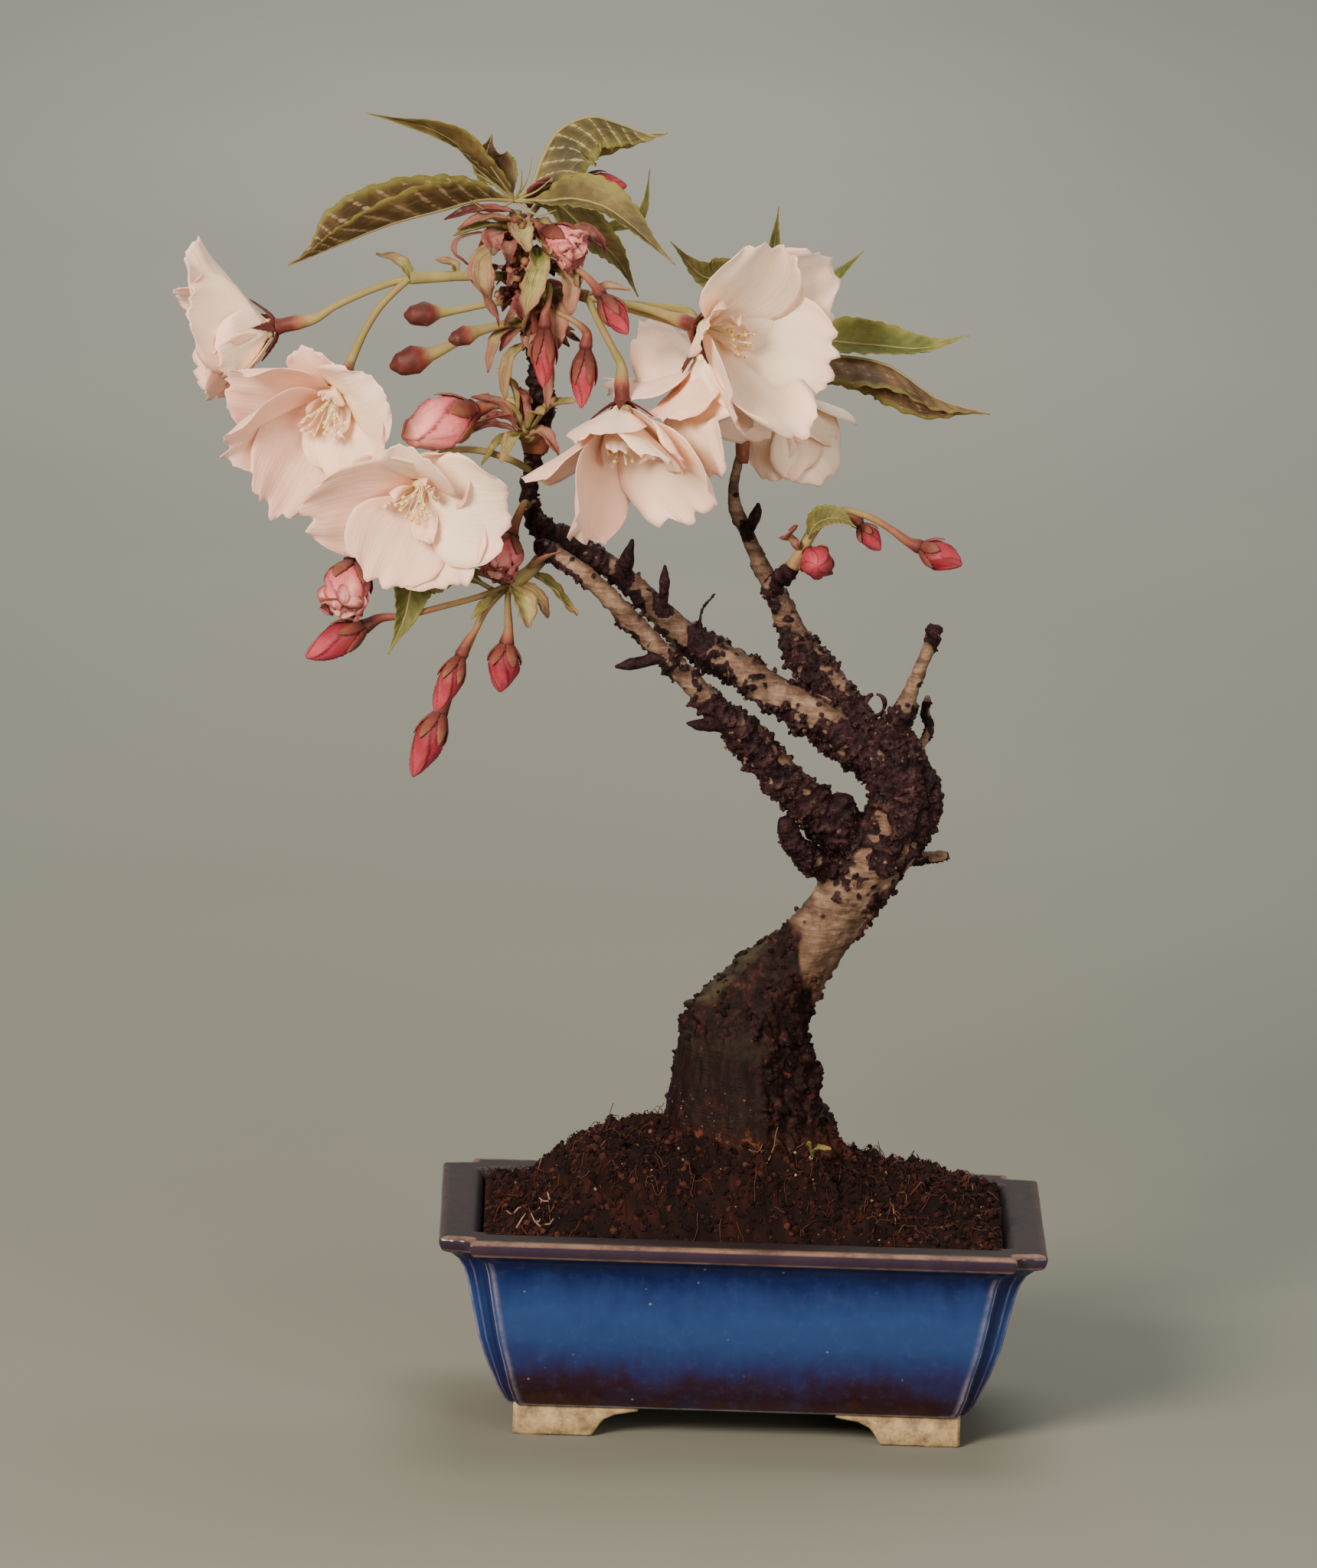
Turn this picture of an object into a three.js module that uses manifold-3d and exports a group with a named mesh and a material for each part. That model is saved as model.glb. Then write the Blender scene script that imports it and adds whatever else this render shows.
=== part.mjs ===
// Flowering cherry bonsai in a glazed tray pot.
// Millimetres, +Z up, the front of the tree looks along -Y. Everything is placed from the middle of the
// pot on the surface that it stands on; the last lines move the whole part so that its origin is the
// middle of the bottom of its own box.
import * as THREE from "three";
import { mergeVertices } from "three/addons/utils/BufferGeometryUtils.js";
import Module from "manifold-3d";

const wasm = await Module();
wasm.setup();

// ---------------------------------------------------------------- driving dimensions
const POT_LENGTH = 120;
const POT_DEPTH = 76;
const POT_HEIGHT = 42;
const FOOT_HEIGHT = 6;
const FLOOR_TOP = 10;
const DRAIN_OFFSET = 20;
const DRAIN_RADIUS = 5;
const SCREEN_SIDE = 18;
const SCREEN_THICKNESS = 1;
const SOIL_EDGE = 41;
const GAP = 0.3;
const BLADE_THICKNESS = 0.7;
const CALYX_LENGTH = 8;
const FLOWER_NECK = 1.9;

// ---------------------------------------------------------------- materials
const finish = (color, roughness) => new THREE.MeshStandardMaterial({ color, roughness, metalness: 0 });
const GLAZE = finish(0x2c4a86, 0.25);
const SOIL = finish(0x33211c, 0.95);
const BARK = finish(0x4c3836, 0.9);
const SCREEN = finish(0x2a2a2a, 0.6);
const PETAL = finish(0xf0d3c8, 0.6);
const STAMEN = finish(0xe6d58e, 0.6);
const STALK = finish(0x9a8f4c, 0.6);
const BRACT = finish(0xa07a55, 0.7);
const LEAF = finish(0x6d7434, 0.55);
const BUD = finish(0xcf4457, 0.5);
const PALE_BUD = finish(0xe9a3a3, 0.5);

// ---------------------------------------------------------------- small tools
const vec = (p) => new THREE.Vector3(p[0], p[1], p[2]);
const mix = (a, b, t) => a + (b - a) * t;
const clamp01 = (t) => Math.min(1, Math.max(0, t));

/** A repeatable number from 0 to 1 for each whole number. */
function draw(n) {
  const s = Math.sin(n * 12.9898 + 4.1414) * 43758.5453;
  return s - Math.floor(s);
}

/** Straight-line interpolation through [x, value] pairs. */
function along(table, x) {
  const last = table.length - 1;
  if (x <= table[0][0]) return table[0][1];
  for (let i = 1; i <= last; i += 1) {
    const [x0, v0] = table[i - 1];
    const [x1, v1] = table[i];
    if (x <= x1) return mix(v0, v1, (x - x0) / (x1 - x0));
  }
  return table[last][1];
}

// ---------------------------------------------------------------- solids
/** A closed geometry as a solid, with its faces turned out. */
function solidOf(geometry) {
  geometry.deleteAttribute("normal");
  geometry.deleteAttribute("uv");
  const merged = mergeVertices(geometry, 1e-4);
  const at = merged.attributes.position.array;
  const triangles = new Uint32Array(merged.index.array);
  let volume = 0;
  for (let t = 0; t < triangles.length; t += 3) {
    const [a, b, c] = [0, 1, 2].map((k) => new THREE.Vector3().fromArray(at, triangles[t + k] * 3));
    volume += a.dot(b.cross(c));
  }
  if (volume < 0) triangles.reverse();
  const mesh = new wasm.Mesh({ numProp: 3, vertProperties: new Float32Array(at), triVerts: triangles });
  return new wasm.Manifold(mesh);
}

function solidFrom(points, triangles) {
  const geometry = new THREE.BufferGeometry();
  const numbers = points.flatMap((p) => p.toArray());
  geometry.setAttribute("position", new THREE.Float32BufferAttribute(numbers, 3));
  geometry.setIndex(triangles);
  return solidOf(geometry);
}

const join = (solids) => solids.reduce((whole, next) => whole.add(next));
const cut = (solid, tools) => tools.reduce((left, tool) => left.subtract(tool), solid);

/** The largest loose body of a solid. */
function mainBody(solid) {
  const bodies = solid.decompose();
  return bodies.reduce((best, next) => (next.volume() > best.volume() ? next : best));
}

const tree = new THREE.Group();

function addNode(name, solid, material) {
  const mesh = mainBody(solid).getMesh();
  const geometry = new THREE.BufferGeometry();
  geometry.setAttribute("position", new THREE.BufferAttribute(new Float32Array(mesh.vertProperties), 3));
  geometry.setIndex(new THREE.BufferAttribute(new Uint32Array(mesh.triVerts), 1));
  geometry.computeVertexNormals();
  const node = new THREE.Mesh(geometry, material);
  node.name = name;
  tree.add(node);
}

/** Triangles between two rings, where one of them may have twice as many points as the other. */
function band(lower, upper, startLower, startUpper) {
  const triangles = [];
  const low = (j) => startLower + (j % lower);
  const high = (j) => startUpper + (j % upper);
  for (let j = 0; j < Math.min(lower, upper); j += 1) {
    if (lower === upper) {
      triangles.push(low(j), low(j + 1), high(j + 1), low(j), high(j + 1), high(j));
    } else if (upper > lower) {
      const [left, middle, right] = [high(2 * j), high(2 * j + 1), high(2 * j + 2)];
      triangles.push(low(j), low(j + 1), middle, low(j), middle, left, low(j + 1), right, middle);
    } else {
      const [left, middle, right] = [low(2 * j), low(2 * j + 1), low(2 * j + 2)];
      triangles.push(left, middle, high(j), middle, right, high(j + 1), middle, high(j + 1), high(j));
    }
  }
  return triangles;
}

/** A closed skin over rings; an end ring of ten points or more gets a middle point. */
function skin(rings) {
  const points = rings.flat();
  const triangles = [];
  let start = 0;
  for (let i = 0; i + 1 < rings.length; i += 1) {
    triangles.push(...band(rings[i].length, rings[i + 1].length, start, start + rings[i].length));
    start += rings[i].length;
  }
  for (const [ring, first, flip] of [[rings[0], 0, true], [rings.at(-1), start, false]]) {
    const sides = ring.length;
    const hub = sides >= 10;
    const centre = ring.reduce((sum, p) => sum.add(p), new THREE.Vector3()).divideScalar(sides);
    const middle = hub ? points.push(centre) - 1 : first;
    for (let j = hub ? 0 : 1; j < (hub ? sides : sides - 1); j += 1) {
      const a = first + j;
      const b = first + ((j + 1) % sides);
      triangles.push(...(flip ? [middle, b, a] : [middle, a, b]));
    }
  }
  return solidFrom(points, triangles);
}

/** Frames along hand-placed points: centre, tangent and two sideways directions that don't spin. */
function framesAlong(points, steps) {
  const curve = new THREE.CatmullRomCurve3(points.map(vec), false, "centripetal");
  const count = (points.length - 1) * steps;
  const frames = [];
  for (let i = 0; i <= count; i += 1) {
    const t = i / count;
    const tangent = curve.getTangent(t).normalize();
    const last = frames.at(-1);
    const across = last ? last.across.clone() : new THREE.Vector3(0, -1, 0.01);
    across.addScaledVector(tangent, -across.dot(tangent)).normalize();
    const up = new THREE.Vector3().crossVectors(tangent, across);
    frames.push({ at: curve.getPoint(t), tangent, across, up, t, step: i / steps });
  }
  return frames;
}

/** Rings along [x, y, z, radius] points, roughened, and lobed where lobes is given. */
function stemRings(points, { sides = 5, steps = 2, rough = 0, lobes = 0, grow = 0, seed = 0 } = {}) {
  return framesAlong(points, steps).map(({ at, across, up, step }, i) => {
    const k = Math.min(points.length - 2, Math.floor(step));
    const radius = mix(points[k][3], points[k + 1][3], step - k);
    return Array.from({ length: sides }, (_, j) => {
      const turn = (j / sides) * Math.PI * 2;
      const wave = rough * (draw(seed + i * 31 + j * 7) - 0.5) * 2 + lobes * Math.sin(turn * 5 + i * 0.35);
      const r = radius * (1 + wave) + grow;
      return at.clone().addScaledVector(across, Math.cos(turn) * r).addScaledVector(up, Math.sin(turn) * r);
    });
  });
}

const stem = (points, options) => skin(stemRings(points, options));

/** Rings across an axis that keep step with the last ring of a stem: [level along the axis, radii]. */
function headRings(lastRing, lastCentre, base, axis, levels) {
  const across = lastRing[0].clone().sub(lastCentre);
  across.addScaledVector(axis, -across.dot(axis)).normalize();
  const up = new THREE.Vector3().crossVectors(axis, across);
  return levels.map(([level, radii]) => radii.map((r, j) => {
    const turn = (j / radii.length) * Math.PI * 2;
    const drop = Array.isArray(level) ? level[j % 2] : level;
    return base.clone().addScaledVector(axis, drop).addScaledVector(across, Math.cos(turn) * r)
      .addScaledVector(up, Math.sin(turn) * r);
  }));
}

const even = (count, r) => Array(count).fill(r);
const starry = (point, valley) => Array.from({ length: 10 }, (_, j) => (j % 2 === 0 ? point : valley));

/** A thin blade: rows of middle-surface points, thickened by the same amount on both faces. */
function blade(rows, thickness = BLADE_THICKNESS) {
  const count = rows.length;
  const width = rows[0].length;
  const faces = [[], []];
  rows.forEach((row, i) => {
    row.forEach((p, j) => {
      const down = rows[Math.min(count - 1, i + 1)][j].clone().sub(rows[Math.max(0, i - 1)][j]);
      const over = row[Math.min(width - 1, j + 1)].clone().sub(row[Math.max(0, j - 1)]);
      const normal = down.cross(over).normalize();
      faces[0].push(p.clone().addScaledVector(normal, thickness / 2));
      faces[1].push(p.clone().addScaledVector(normal, -thickness / 2));
    });
  });
  const shift = count * width;
  const triangles = [];
  const quad = (a, b, c, d) => triangles.push(a, b, c, a, c, d);
  for (let i = 0; i + 1 < count; i += 1) {
    for (let j = 0; j + 1 < width; j += 1) {
      const [a, b, c, d] = [i * width + j, i * width + j + 1, (i + 1) * width + j + 1, (i + 1) * width + j];
      quad(a, b, c, d);
      triangles.push(a + shift, c + shift, b + shift, a + shift, d + shift, c + shift);
    }
  }
  const border = [];
  for (let j = 0; j < width; j += 1) border.push(j);
  for (let i = 1; i < count; i += 1) border.push(i * width + width - 1);
  for (let j = width - 2; j >= 0; j -= 1) border.push((count - 1) * width + j);
  for (let i = count - 2; i > 0; i -= 1) border.push(i * width);
  border.forEach((a, k) => {
    const b = border[(k + 1) % border.length];
    quad(b, a, a + shift, b + shift);
  });
  return solidFrom([...faces[0], ...faces[1]], triangles);
}

// ---------------------------------------------------------------- pot
/** A rectangle with stepped-in corners, at one height. */
function potRing([halfLength, height, notchX, notchY], depthInset = 0) {
  const x = halfLength;
  const y = POT_DEPTH / 2 - (POT_LENGTH / 2 - halfLength) - depthInset;
  const corner = [[x, y - notchY], [x - notchX * 0.85, y - notchY * 0.8], [x - notchX, y - 0.6 * notchY],
    [x - notchX, y]];
  const quarter = [[1, 1, false], [-1, 1, true], [-1, -1, false], [1, -1, true]];
  return quarter.flatMap(([sx, sy, back]) => {
    const points = back ? [...corner].reverse() : corner;
    return points.map(([px, py]) => new THREE.Vector3(px * sx, py * sy, height));
  });
}

// half length, height, notch along the front, notch along the side, from the underside up to the rim
const POT_OUTSIDE = [
  [44.6, FOOT_HEIGHT, 1.6, 1.6],
  [45.9, FOOT_HEIGHT + 0.9, 2, 2],
  [49.4, 15, 3.4, 2.8],
  [51.2, 20.5, 3.8, 3],
  [53.6, 32, 4.2, 3.4],
  [54.8, 35.5, 4.8, 3.8],
  [57, 38.2, 5.6, 4.2],
  [58.8, 39, 6, 4.5],
  [60, 41, 6, 4.5],
  [59, 41.7, 6, 4.5],
];
const RIM_TOP = [56, POT_HEIGHT, 4.5, 3];
// half length, height and how much more the wall takes off the depth, from the rim down to the floor
const POT_INSIDE = [
  [52.6, POT_HEIGHT - 0.2, 2.4, 2, 1.4],
  [51.6, POT_HEIGHT - 1.6, 2.2, 1.8, 1.2],
  [49, 30, 2, 1.6, 0.4],
  [45.5, 16, 1.6, 1.4, 0],
  [42, FLOOR_TOP, 1.4, 1.2, 0],
];

// a foot seen from the side: distance in from its outer corner and height; it tapers into a thin bracket
const FOOT_CORNER = [43.9, 22.2];
const FOOT_LEG = 7;
const FRONT_FOOT = [[0, 7], [0, 0], [15.5, 0], [17.5, 3.2], [20, 4.4], [24.5, 5.2], [24.5, 7]];
const SIDE_FOOT = [[0, 7], [0, 0], [9, 0], [10.5, 3.2], [12, 4.4], [14, 5.2], [14, 7]];

/** One corner's bracket foot: a leg along the front or back and a leg along the side. */
function footSolid(sideX, sideY) {
  const [cornerX, cornerY] = FOOT_CORNER;
  const frontLeg = [cornerY, cornerY - FOOT_LEG].map((y) => FRONT_FOOT.map(([inward, height]) => (
    new THREE.Vector3((cornerX - inward) * sideX, y * sideY, height))));
  const sideLeg = [cornerX, cornerX - FOOT_LEG].map((x) => SIDE_FOOT.map(([inward, height]) => (
    new THREE.Vector3(x * sideX, (cornerY - inward) * sideY, height))));
  return join([skin(frontLeg), skin(sideLeg)]);
}

const drainHole = (side) => {
  const hole = new THREE.CylinderGeometry(DRAIN_RADIUS, DRAIN_RADIUS, FLOOR_TOP * 2, 16);
  return solidOf(hole.rotateX(Math.PI / 2).translate(side * DRAIN_OFFSET, 0, FLOOR_TOP));
};

function potSolid() {
  const outside = POT_OUTSIDE.map((row) => potRing(row));
  const rim = potRing(RIM_TOP);
  const inside = POT_INSIDE.map((row) => potRing(row, row[4]));
  const body = skin([...outside, rim, ...inside]);
  const feet = [[1, 1], [1, -1], [-1, 1], [-1, -1]].map(([x, y]) => footSolid(x, y));
  return cut(join([body, ...feet]), [drainHole(1), drainHole(-1)]);
}

/** A square plastic mesh plate that keeps the soil in over a drain hole. */
function screenSolid(side) {
  const pitch = 4;
  const opening = 4.5;
  const level = FLOOR_TOP + GAP + SCREEN_THICKNESS / 2;
  const plate = new THREE.BoxGeometry(SCREEN_SIDE, SCREEN_SIDE, SCREEN_THICKNESS);
  const windows = [-1, 1].flatMap((column) => [-1, 1].map((row) => {
    const window = new THREE.BoxGeometry(opening, opening, SCREEN_THICKNESS * 3);
    return solidOf(window.translate(side * DRAIN_OFFSET + column * pitch, row * pitch, level));
  }));
  return cut(solidOf(plate.translate(side * DRAIN_OFFSET, 0, level)), windows);
}

// ---------------------------------------------------------------- soil
// height of the mound's ridge along the length of the pot
const MOUND_RIDGE = [[-52, 42], [-41, 46], [-31, 55], [-20, 58.5], [0, 59.5], [12, 57.5], [20, 54], [33, 51.5],
  [44, 48.6], [52, 43]];

// how full the bank is in front of the ridge and behind it
const MOUND_FULLNESS = [4, 2];

function soilHeight(x, y) {
  const ridge = along(MOUND_RIDGE, x);
  const fall = Math.pow(Math.min(1, Math.abs(y - 2) / 29), MOUND_FULLNESS[y < 2 ? 0 : 1]);
  const crumb = 0.7 * Math.sin(x * 0.9 + y * 0.7) + 0.5 * Math.sin(x * 0.37 - y * 1.1);
  return mix(ridge, SOIL_EDGE, fall) + crumb * (1 - fall);
}

function soilSolid(hollows) {
  const wall = POT_INSIDE.slice(1).reverse();
  const rings = wall.map(([half, height, notchX, notchY, inset], i) => {
    const level = i === 0 ? height + GAP : height;
    return densify(potRing([half - 2 * GAP, level, notchX, notchY], inset));
  });
  const edge = densify(potRing([52, SOIL_EDGE, 2.4, 2], 1.4));
  for (const reach of [0.965, 0.86, 0.72, 0.5, 0.25]) {
    rings.push(edge.map((p) => {
      const [x, y] = [p.x * reach, p.y * reach];
      return new THREE.Vector3(x, y, soilHeight(x, y));
    }));
  }
  return cut(skin(rings), hollows);
}

/** The same closed ring with extra points on its long stretches. */
function densify(ring) {
  const pieces = [1, 1, 1, 6, 1, 1, 1, 3, 1, 1, 1, 6, 1, 1, 1, 3];
  return ring.flatMap((p, i) => {
    const next = ring[(i + 1) % ring.length];
    return Array.from({ length: pieces[i] }, (_, k) => p.clone().lerp(next, k / pieces[i]));
  });
}

// ---------------------------------------------------------------- wood
// [x, y, z, radius] along the middle of each limb
const TRUNK = [[3, 0, 47, 19], [1, 0, 54, 17.5], [-0.5, 0, 61.5, 16], [-0.5, 0, 69.5, 14.6],
  [-0.3, 0, 78, 13.4],
  [3, 0, 85, 10.6], [8, 0, 91.5, 8.2], [14, 0, 99, 6.5], [18.5, 0, 106, 6.6], [23, 0, 112.5, 7],
  [27, 0, 119, 6.9], [29, 0, 125, 6.9], [27.5, 0, 131, 6.3], [26, 0, 136, 5], [26, 0, 139.5, 3.6]];
const SHOULDER = [[0, -2, 68, 9], [-5.5, -4, 78, 7.8], [-8.5, -4, 83, 5.2], [-10, -4, 85.5, 2.6]];
const LOW_BRANCH = [[23, 0, 113.5, 4.5], [16, -2, 119, 4.6], [10.5, -4, 124.5, 4.2], [4.5, -6, 130.5, 4],
  [-2, -8, 137.5, 3.7], [-8.5, -10, 143.5, 3.1], [-14.5, -11, 150, 2.7], [-21, -12, 156.5, 2.5],
  [-28, -12, 163.5, 2.4], [-34, -11, 169, 2.4], [-39.5, -9, 172.5, 2.2], [-44, -4, 174, 2]];
const MIDDLE_BRANCH = [[26.5, 2, 131.5, 5.7], [19, 3, 135.5, 4.9], [10.5, 4, 140.5, 4.5],
  [3, 5, 144.5, 4.1],
  [-4.5, 6, 149, 3.6], [-12, 7, 153, 3.4], [-19, 7, 158.5, 3], [-25, 6, 164.5, 2.8],
  [-31.5, 5, 169.5, 2.7], [-37.5, 4, 173, 2.5], [-43, 2, 175.5, 2.4]];
const UPPER_STEM = [[-40, 3, 174, 2.4], [-44, 1.5, 176.5, 2.3], [-46, 2, 180, 2], [-46.5, 2, 185, 1.8],
  [-45.5, 2, 192.5, 1.9], [-44.5, 1, 199.5, 2.3], [-45, 0, 206.5, 2.4], [-46, -1, 213, 2.2]];
const HIGH_BRANCH = [[22.5, 4, 134.5, 3.8], [17, 7, 141.5, 3.8], [13.5, 9, 146, 3.9], [10, 10, 149.5, 4],
  [7, 11, 154, 3.5], [4.5, 12, 159, 2.9], [2, 12, 164, 2.6], [0, 12, 167.5, 2.4], [-2, 12, 171.5, 2.1],
  [-4, 12, 176, 2.1], [-6, 11, 180, 1.9], [-6.5, 11, 183.5, 1.3], [-6, 11, 188, 1], [-5, 11, 193, 0.8]];
const KNOB = [[15, -2, 111, 3], [9, -8, 115.5, 2.7], [6.5, -10, 119, 2.2], [5.5, -11, 123, 1.2]];
const LUMP = [[16.5, -3, 119, 3], [16.5, -4, 123, 3], [16.5, -5, 126, 2]];
const PRUNED_STUB = [[26, 1, 137, 3], [28, -1, 143, 2.7], [29.5, -2, 147.5, 2], [31, -3, 152, 1.8],
  [32.5, -3, 156, 1.9], [33.5, -4, 160.5, 1.2]];
const SIDE_TWIG = [[28.5, 3, 131, 1.4], [31.5, 5, 134.5, 1], [33.5, 6, 138, 0.9], [32.5, 6, 141.5, 1],
  [33, 5, 145, 0.7]];
const RIGHT_STUB = [[27, 2, 113.5, 2], [33, 4, 113, 1.5], [35.5, 4, 113, 1.3], [38, 4, 113.5, 0.8]];
const BARK_CURL = [[22, 2, 138, 1.6], [21, 1, 142, 1.5], [23.5, 1, 144, 1]];
const BLOOM_SPUR = [[1, 10, 164.5, 2.2], [4, 6, 168, 1.8], [5.5, 4, 169.6, 1.5]];
const DORMANT_BUDS = [
  [[-27.5, 5, 166, 1.3], [-27, 3, 170.5, 1.6], [-26, 2, 175, 0.4]],
  [[-19.5, 5.5, 161, 0.9], [-19.5, 3, 166.5, 1.2], [-19.5, 3, 170, 0.35]],
  [[-12, 5, 155, 0.6], [-12, 3, 161, 0.4], [-9.5, 2, 164.5, 0.4]],
  [[-20, -12, 154, 1.1], [-25.5, -14, 153, 1.3], [-29, -15, 152.5, 0.4]],
  [[-8, -10, 140.5, 1.2], [-12, -12, 141, 1.3], [-14.5, -13, 141.5, 0.4]],
  [[-3.5, 11, 175, 1.1], [-2, 8, 179.5, 1.3], [-1.5, 7, 182, 0.4]],
];

/** Warty knobs of bark, set by a rule round a limb. */
function warts(points, { every, size, seed }) {
  const frames = framesAlong(points, 3);
  const lumps = [];
  for (let i = 1; i < frames.length - 1; i += every) {
    const { at, across, up, step } = frames[i];
    const k = Math.min(points.length - 2, Math.floor(step));
    const radius = mix(points[k][3], points[k + 1][3], step - k);
    const turn = (i * 2.4 + seed) % (Math.PI * 2);
    const r = size * (0.8 + 0.5 * draw(seed + i));
    const wart = new THREE.OctahedronGeometry(r);
    wart.rotateZ(draw(i + seed * 3) * 3).rotateX(draw(i * 2 + seed) * 3);
    const place = at.clone().addScaledVector(across, Math.cos(turn) * (radius - r * 0.1))
      .addScaledVector(up, Math.sin(turn) * (radius - r * 0.1));
    lumps.push(solidOf(wart.translate(place.x, place.y, place.z)));
  }
  return lumps;
}

/** All limbs as one solid, or a slightly fatter one to cut clearances with. */
function limbs(grow) {
  const branch = { sides: 6, steps: 1, rough: 0.1, grow };
  return [
    stem(TRUNK, { sides: 10, steps: 1, rough: 0.06, lobes: 0.05, grow, seed: 1 }),
    stem(SHOULDER, { sides: 8, steps: 1, rough: 0.1, grow, seed: 2 }),
    stem(LOW_BRANCH, { ...branch, seed: 3 }),
    stem(MIDDLE_BRANCH, { ...branch, seed: 4 }),
    stem(UPPER_STEM, { ...branch, seed: 5 }),
    stem(HIGH_BRANCH, { ...branch, seed: 6 }),
    ...[KNOB, LUMP, PRUNED_STUB, SIDE_TWIG, RIGHT_STUB, BARK_CURL, BLOOM_SPUR, ...DORMANT_BUDS]
      .map((points, i) => stem(points, { sides: 5, steps: 1, rough: 0.12, grow, seed: 7 + i })),
  ];
}

const woodSolid = () => join([
  ...limbs(0),
  ...warts(TRUNK.slice(2), { every: 11, size: 2.2, seed: 1 }),
  ...warts(LOW_BRANCH, { every: 11, size: 1.6, seed: 2 }),
  ...warts(MIDDLE_BRANCH, { every: 11, size: 1.5, seed: 3 }),
  ...warts(HIGH_BRANCH.slice(0, 10), { every: 11, size: 1.3, seed: 4 }),
]);

// ---------------------------------------------------------------- blooms
// centre, the way it faces, and for each petal its tip, width and how far it bows out of the bloom
const BLOOMS = {
  bloom_far_left: {
    centre: [-97, 2, 214.5], faces: [-0.94, 0.08, -0.25],
    petals: [[[-114, 3, 231], 17, 9], [[-117, 14, 219], 16, 9], [[-113.5, -12, 220], 17, 9],
      [[-113, 11, 203.5], 15, 8], [[-110.5, -5, 201.5], 16, 8]],
  },
  bloom_left: {
    centre: [-84, -7, 204.5], faces: [-0.24, -0.82, -0.52],
    petals: [[[-107, -12, 206], 19, 7], [[-107, -18, 193], 17, 8], [[-98, -15, 180], 17, 6],
      [[-76, -23, 208], 17, 9], [[-76, -19, 192], 16, 8]],
  },
  bloom_front_left: {
    centre: [-67, -13, 187.5], faces: [-0.2, -0.9, -0.4],
    petals: [[[-91, -20, 182], 21, 8], [[-49.5, -21, 186], 20, 9], [[-60, -19, 167], 18, 7],
      [[-76, -21, 168], 18, 7], [[-70, -29, 197], 15, 9]],
  },
  bloom_front_right: {
    centre: [-29, -10, 203.5], faces: [0.05, -0.5, -0.86],
    petals: [[[-48, -15, 189], 15, 9], [[-35, -19, 177], 21, 10], [[-12, -13, 182], 19, 10],
      [[-19, -28, 195], 15, 9], [[-27, 6, 189], 17, 9]],
  },
  bloom_big_right: {
    centre: [-14.5, -12, 219.5], faces: [0.75, -0.6, -0.15],
    petals: [[[-1, -19, 238], 21, 8], [[11, -4, 232], 20, 9], [[13, -9, 212], 20, 9],
      [[6, -23, 200], 20, 10], [[-6, -29, 203], 19, 9]],
  },
  bloom_middle_right: {
    centre: [-14, -2, 213], faces: [0.3, -0.3, -0.9],
    petals: [[[-33, 2, 206.5], 16, 6], [[-22.5, -13.5, 201.5], 16, 7], [[-9.5, -13, 189.5], 17, 9],
      [[2, 3, 196], 16, 8], [[-24.5, 9.5, 219.5], 16, 8]],
  },
  bloom_back_right: {
    centre: [1.5, 10, 203], faces: [0.29, 0.56, -0.77],
    petals: [[[3, 10, 185], 13.5, 7], [[12.5, 13, 186], 15, 7], [[15, 26, 196], 16, 7],
      [[3, 31, 202], 16, 7], [[-3, 25, 190.5], 13.5, 7]],
  },
};

const CALYX_TOP = 0.4;
const CLAW_RISE = 1.15;
const LAYER_STEP = 1;
const CLAW_REACH = 1.35;
const RING_TOP = 2.5;

/** Rows of points of one petal: it leaves the calyx along the bloom's axis and flares out to its tip. */
function petalRows(centre, axis, [tip, width, bow], layer, seed) {
  const end = vec(tip);
  const out = end.clone().sub(centre);
  const length = out.length();
  out.addScaledVector(axis, -out.dot(axis)).normalize();
  const side = new THREE.Vector3().crossVectors(out, axis).normalize();
  const start = centre.clone().addScaledVector(axis, CLAW_RISE + layer).addScaledVector(out, CLAW_REACH);
  const bend = centre.clone().addScaledVector(axis, bow + layer).addScaledVector(out, length * 0.34);
  const path = new THREE.QuadraticBezierCurve3(start, bend, end);
  const widths = [[0, 0.07], [0.36, 0.62], [0.76, 1], [1, 0.66]];
  const stations = [0, 0.36, 0.76, 1];
  const columns = [-1, -0.4, 0.4, 1];
  const lean = 0.25;
  return stations.map((u) => {
    const half = (width / 2) * along(widths, u);
    return columns.map((v, j) => {
      const ragged = u === 1 ? 0.08 * (draw(seed * 9 + j) - 0.5) : 0;
      const reach = 0.98 - 0.12 * v * v + ragged;
      const at = path.getPoint(clamp01(u * reach));
      const tangent = path.getTangent(clamp01(u * reach));
      const face = new THREE.Vector3().crossVectors(tangent, side).normalize();
      if (face.dot(axis) < 0) face.negate();
      const lift = half * (0.2 * v * v + lean * v) + 0.5 * u * Math.sin(v * 3 + seed);
      return at.addScaledVector(side, v * half).addScaledVector(face, lift);
    });
  });
}

/** A short disc across an axis. */
function disc(centre, axis, radius, low, high, sides = 7) {
  const across = new THREE.Vector3(0.3, 0.2, 1).cross(axis).normalize();
  const up = new THREE.Vector3().crossVectors(axis, across);
  return skin([low, high].map((level) => Array.from({ length: sides }, (_, j) => {
    const turn = (j / sides) * Math.PI * 2;
    return centre.clone().addScaledVector(axis, level).addScaledVector(across, Math.cos(turn) * radius)
      .addScaledVector(up, Math.sin(turn) * radius);
  })));
}

function bloomPetals({ centre, faces, petals }, seed) {
  const middle = vec(centre);
  const axis = vec(faces).normalize();
  const ring = disc(middle, axis, FLOWER_NECK, CALYX_TOP + GAP, RING_TOP);
  const blades = petals.map((petal, k) => {
    const layer = (k % 2) * LAYER_STEP;
    return blade(petalRows(middle, axis, petal, layer, seed + k));
  });
  return join([ring, ...blades]);
}

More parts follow.
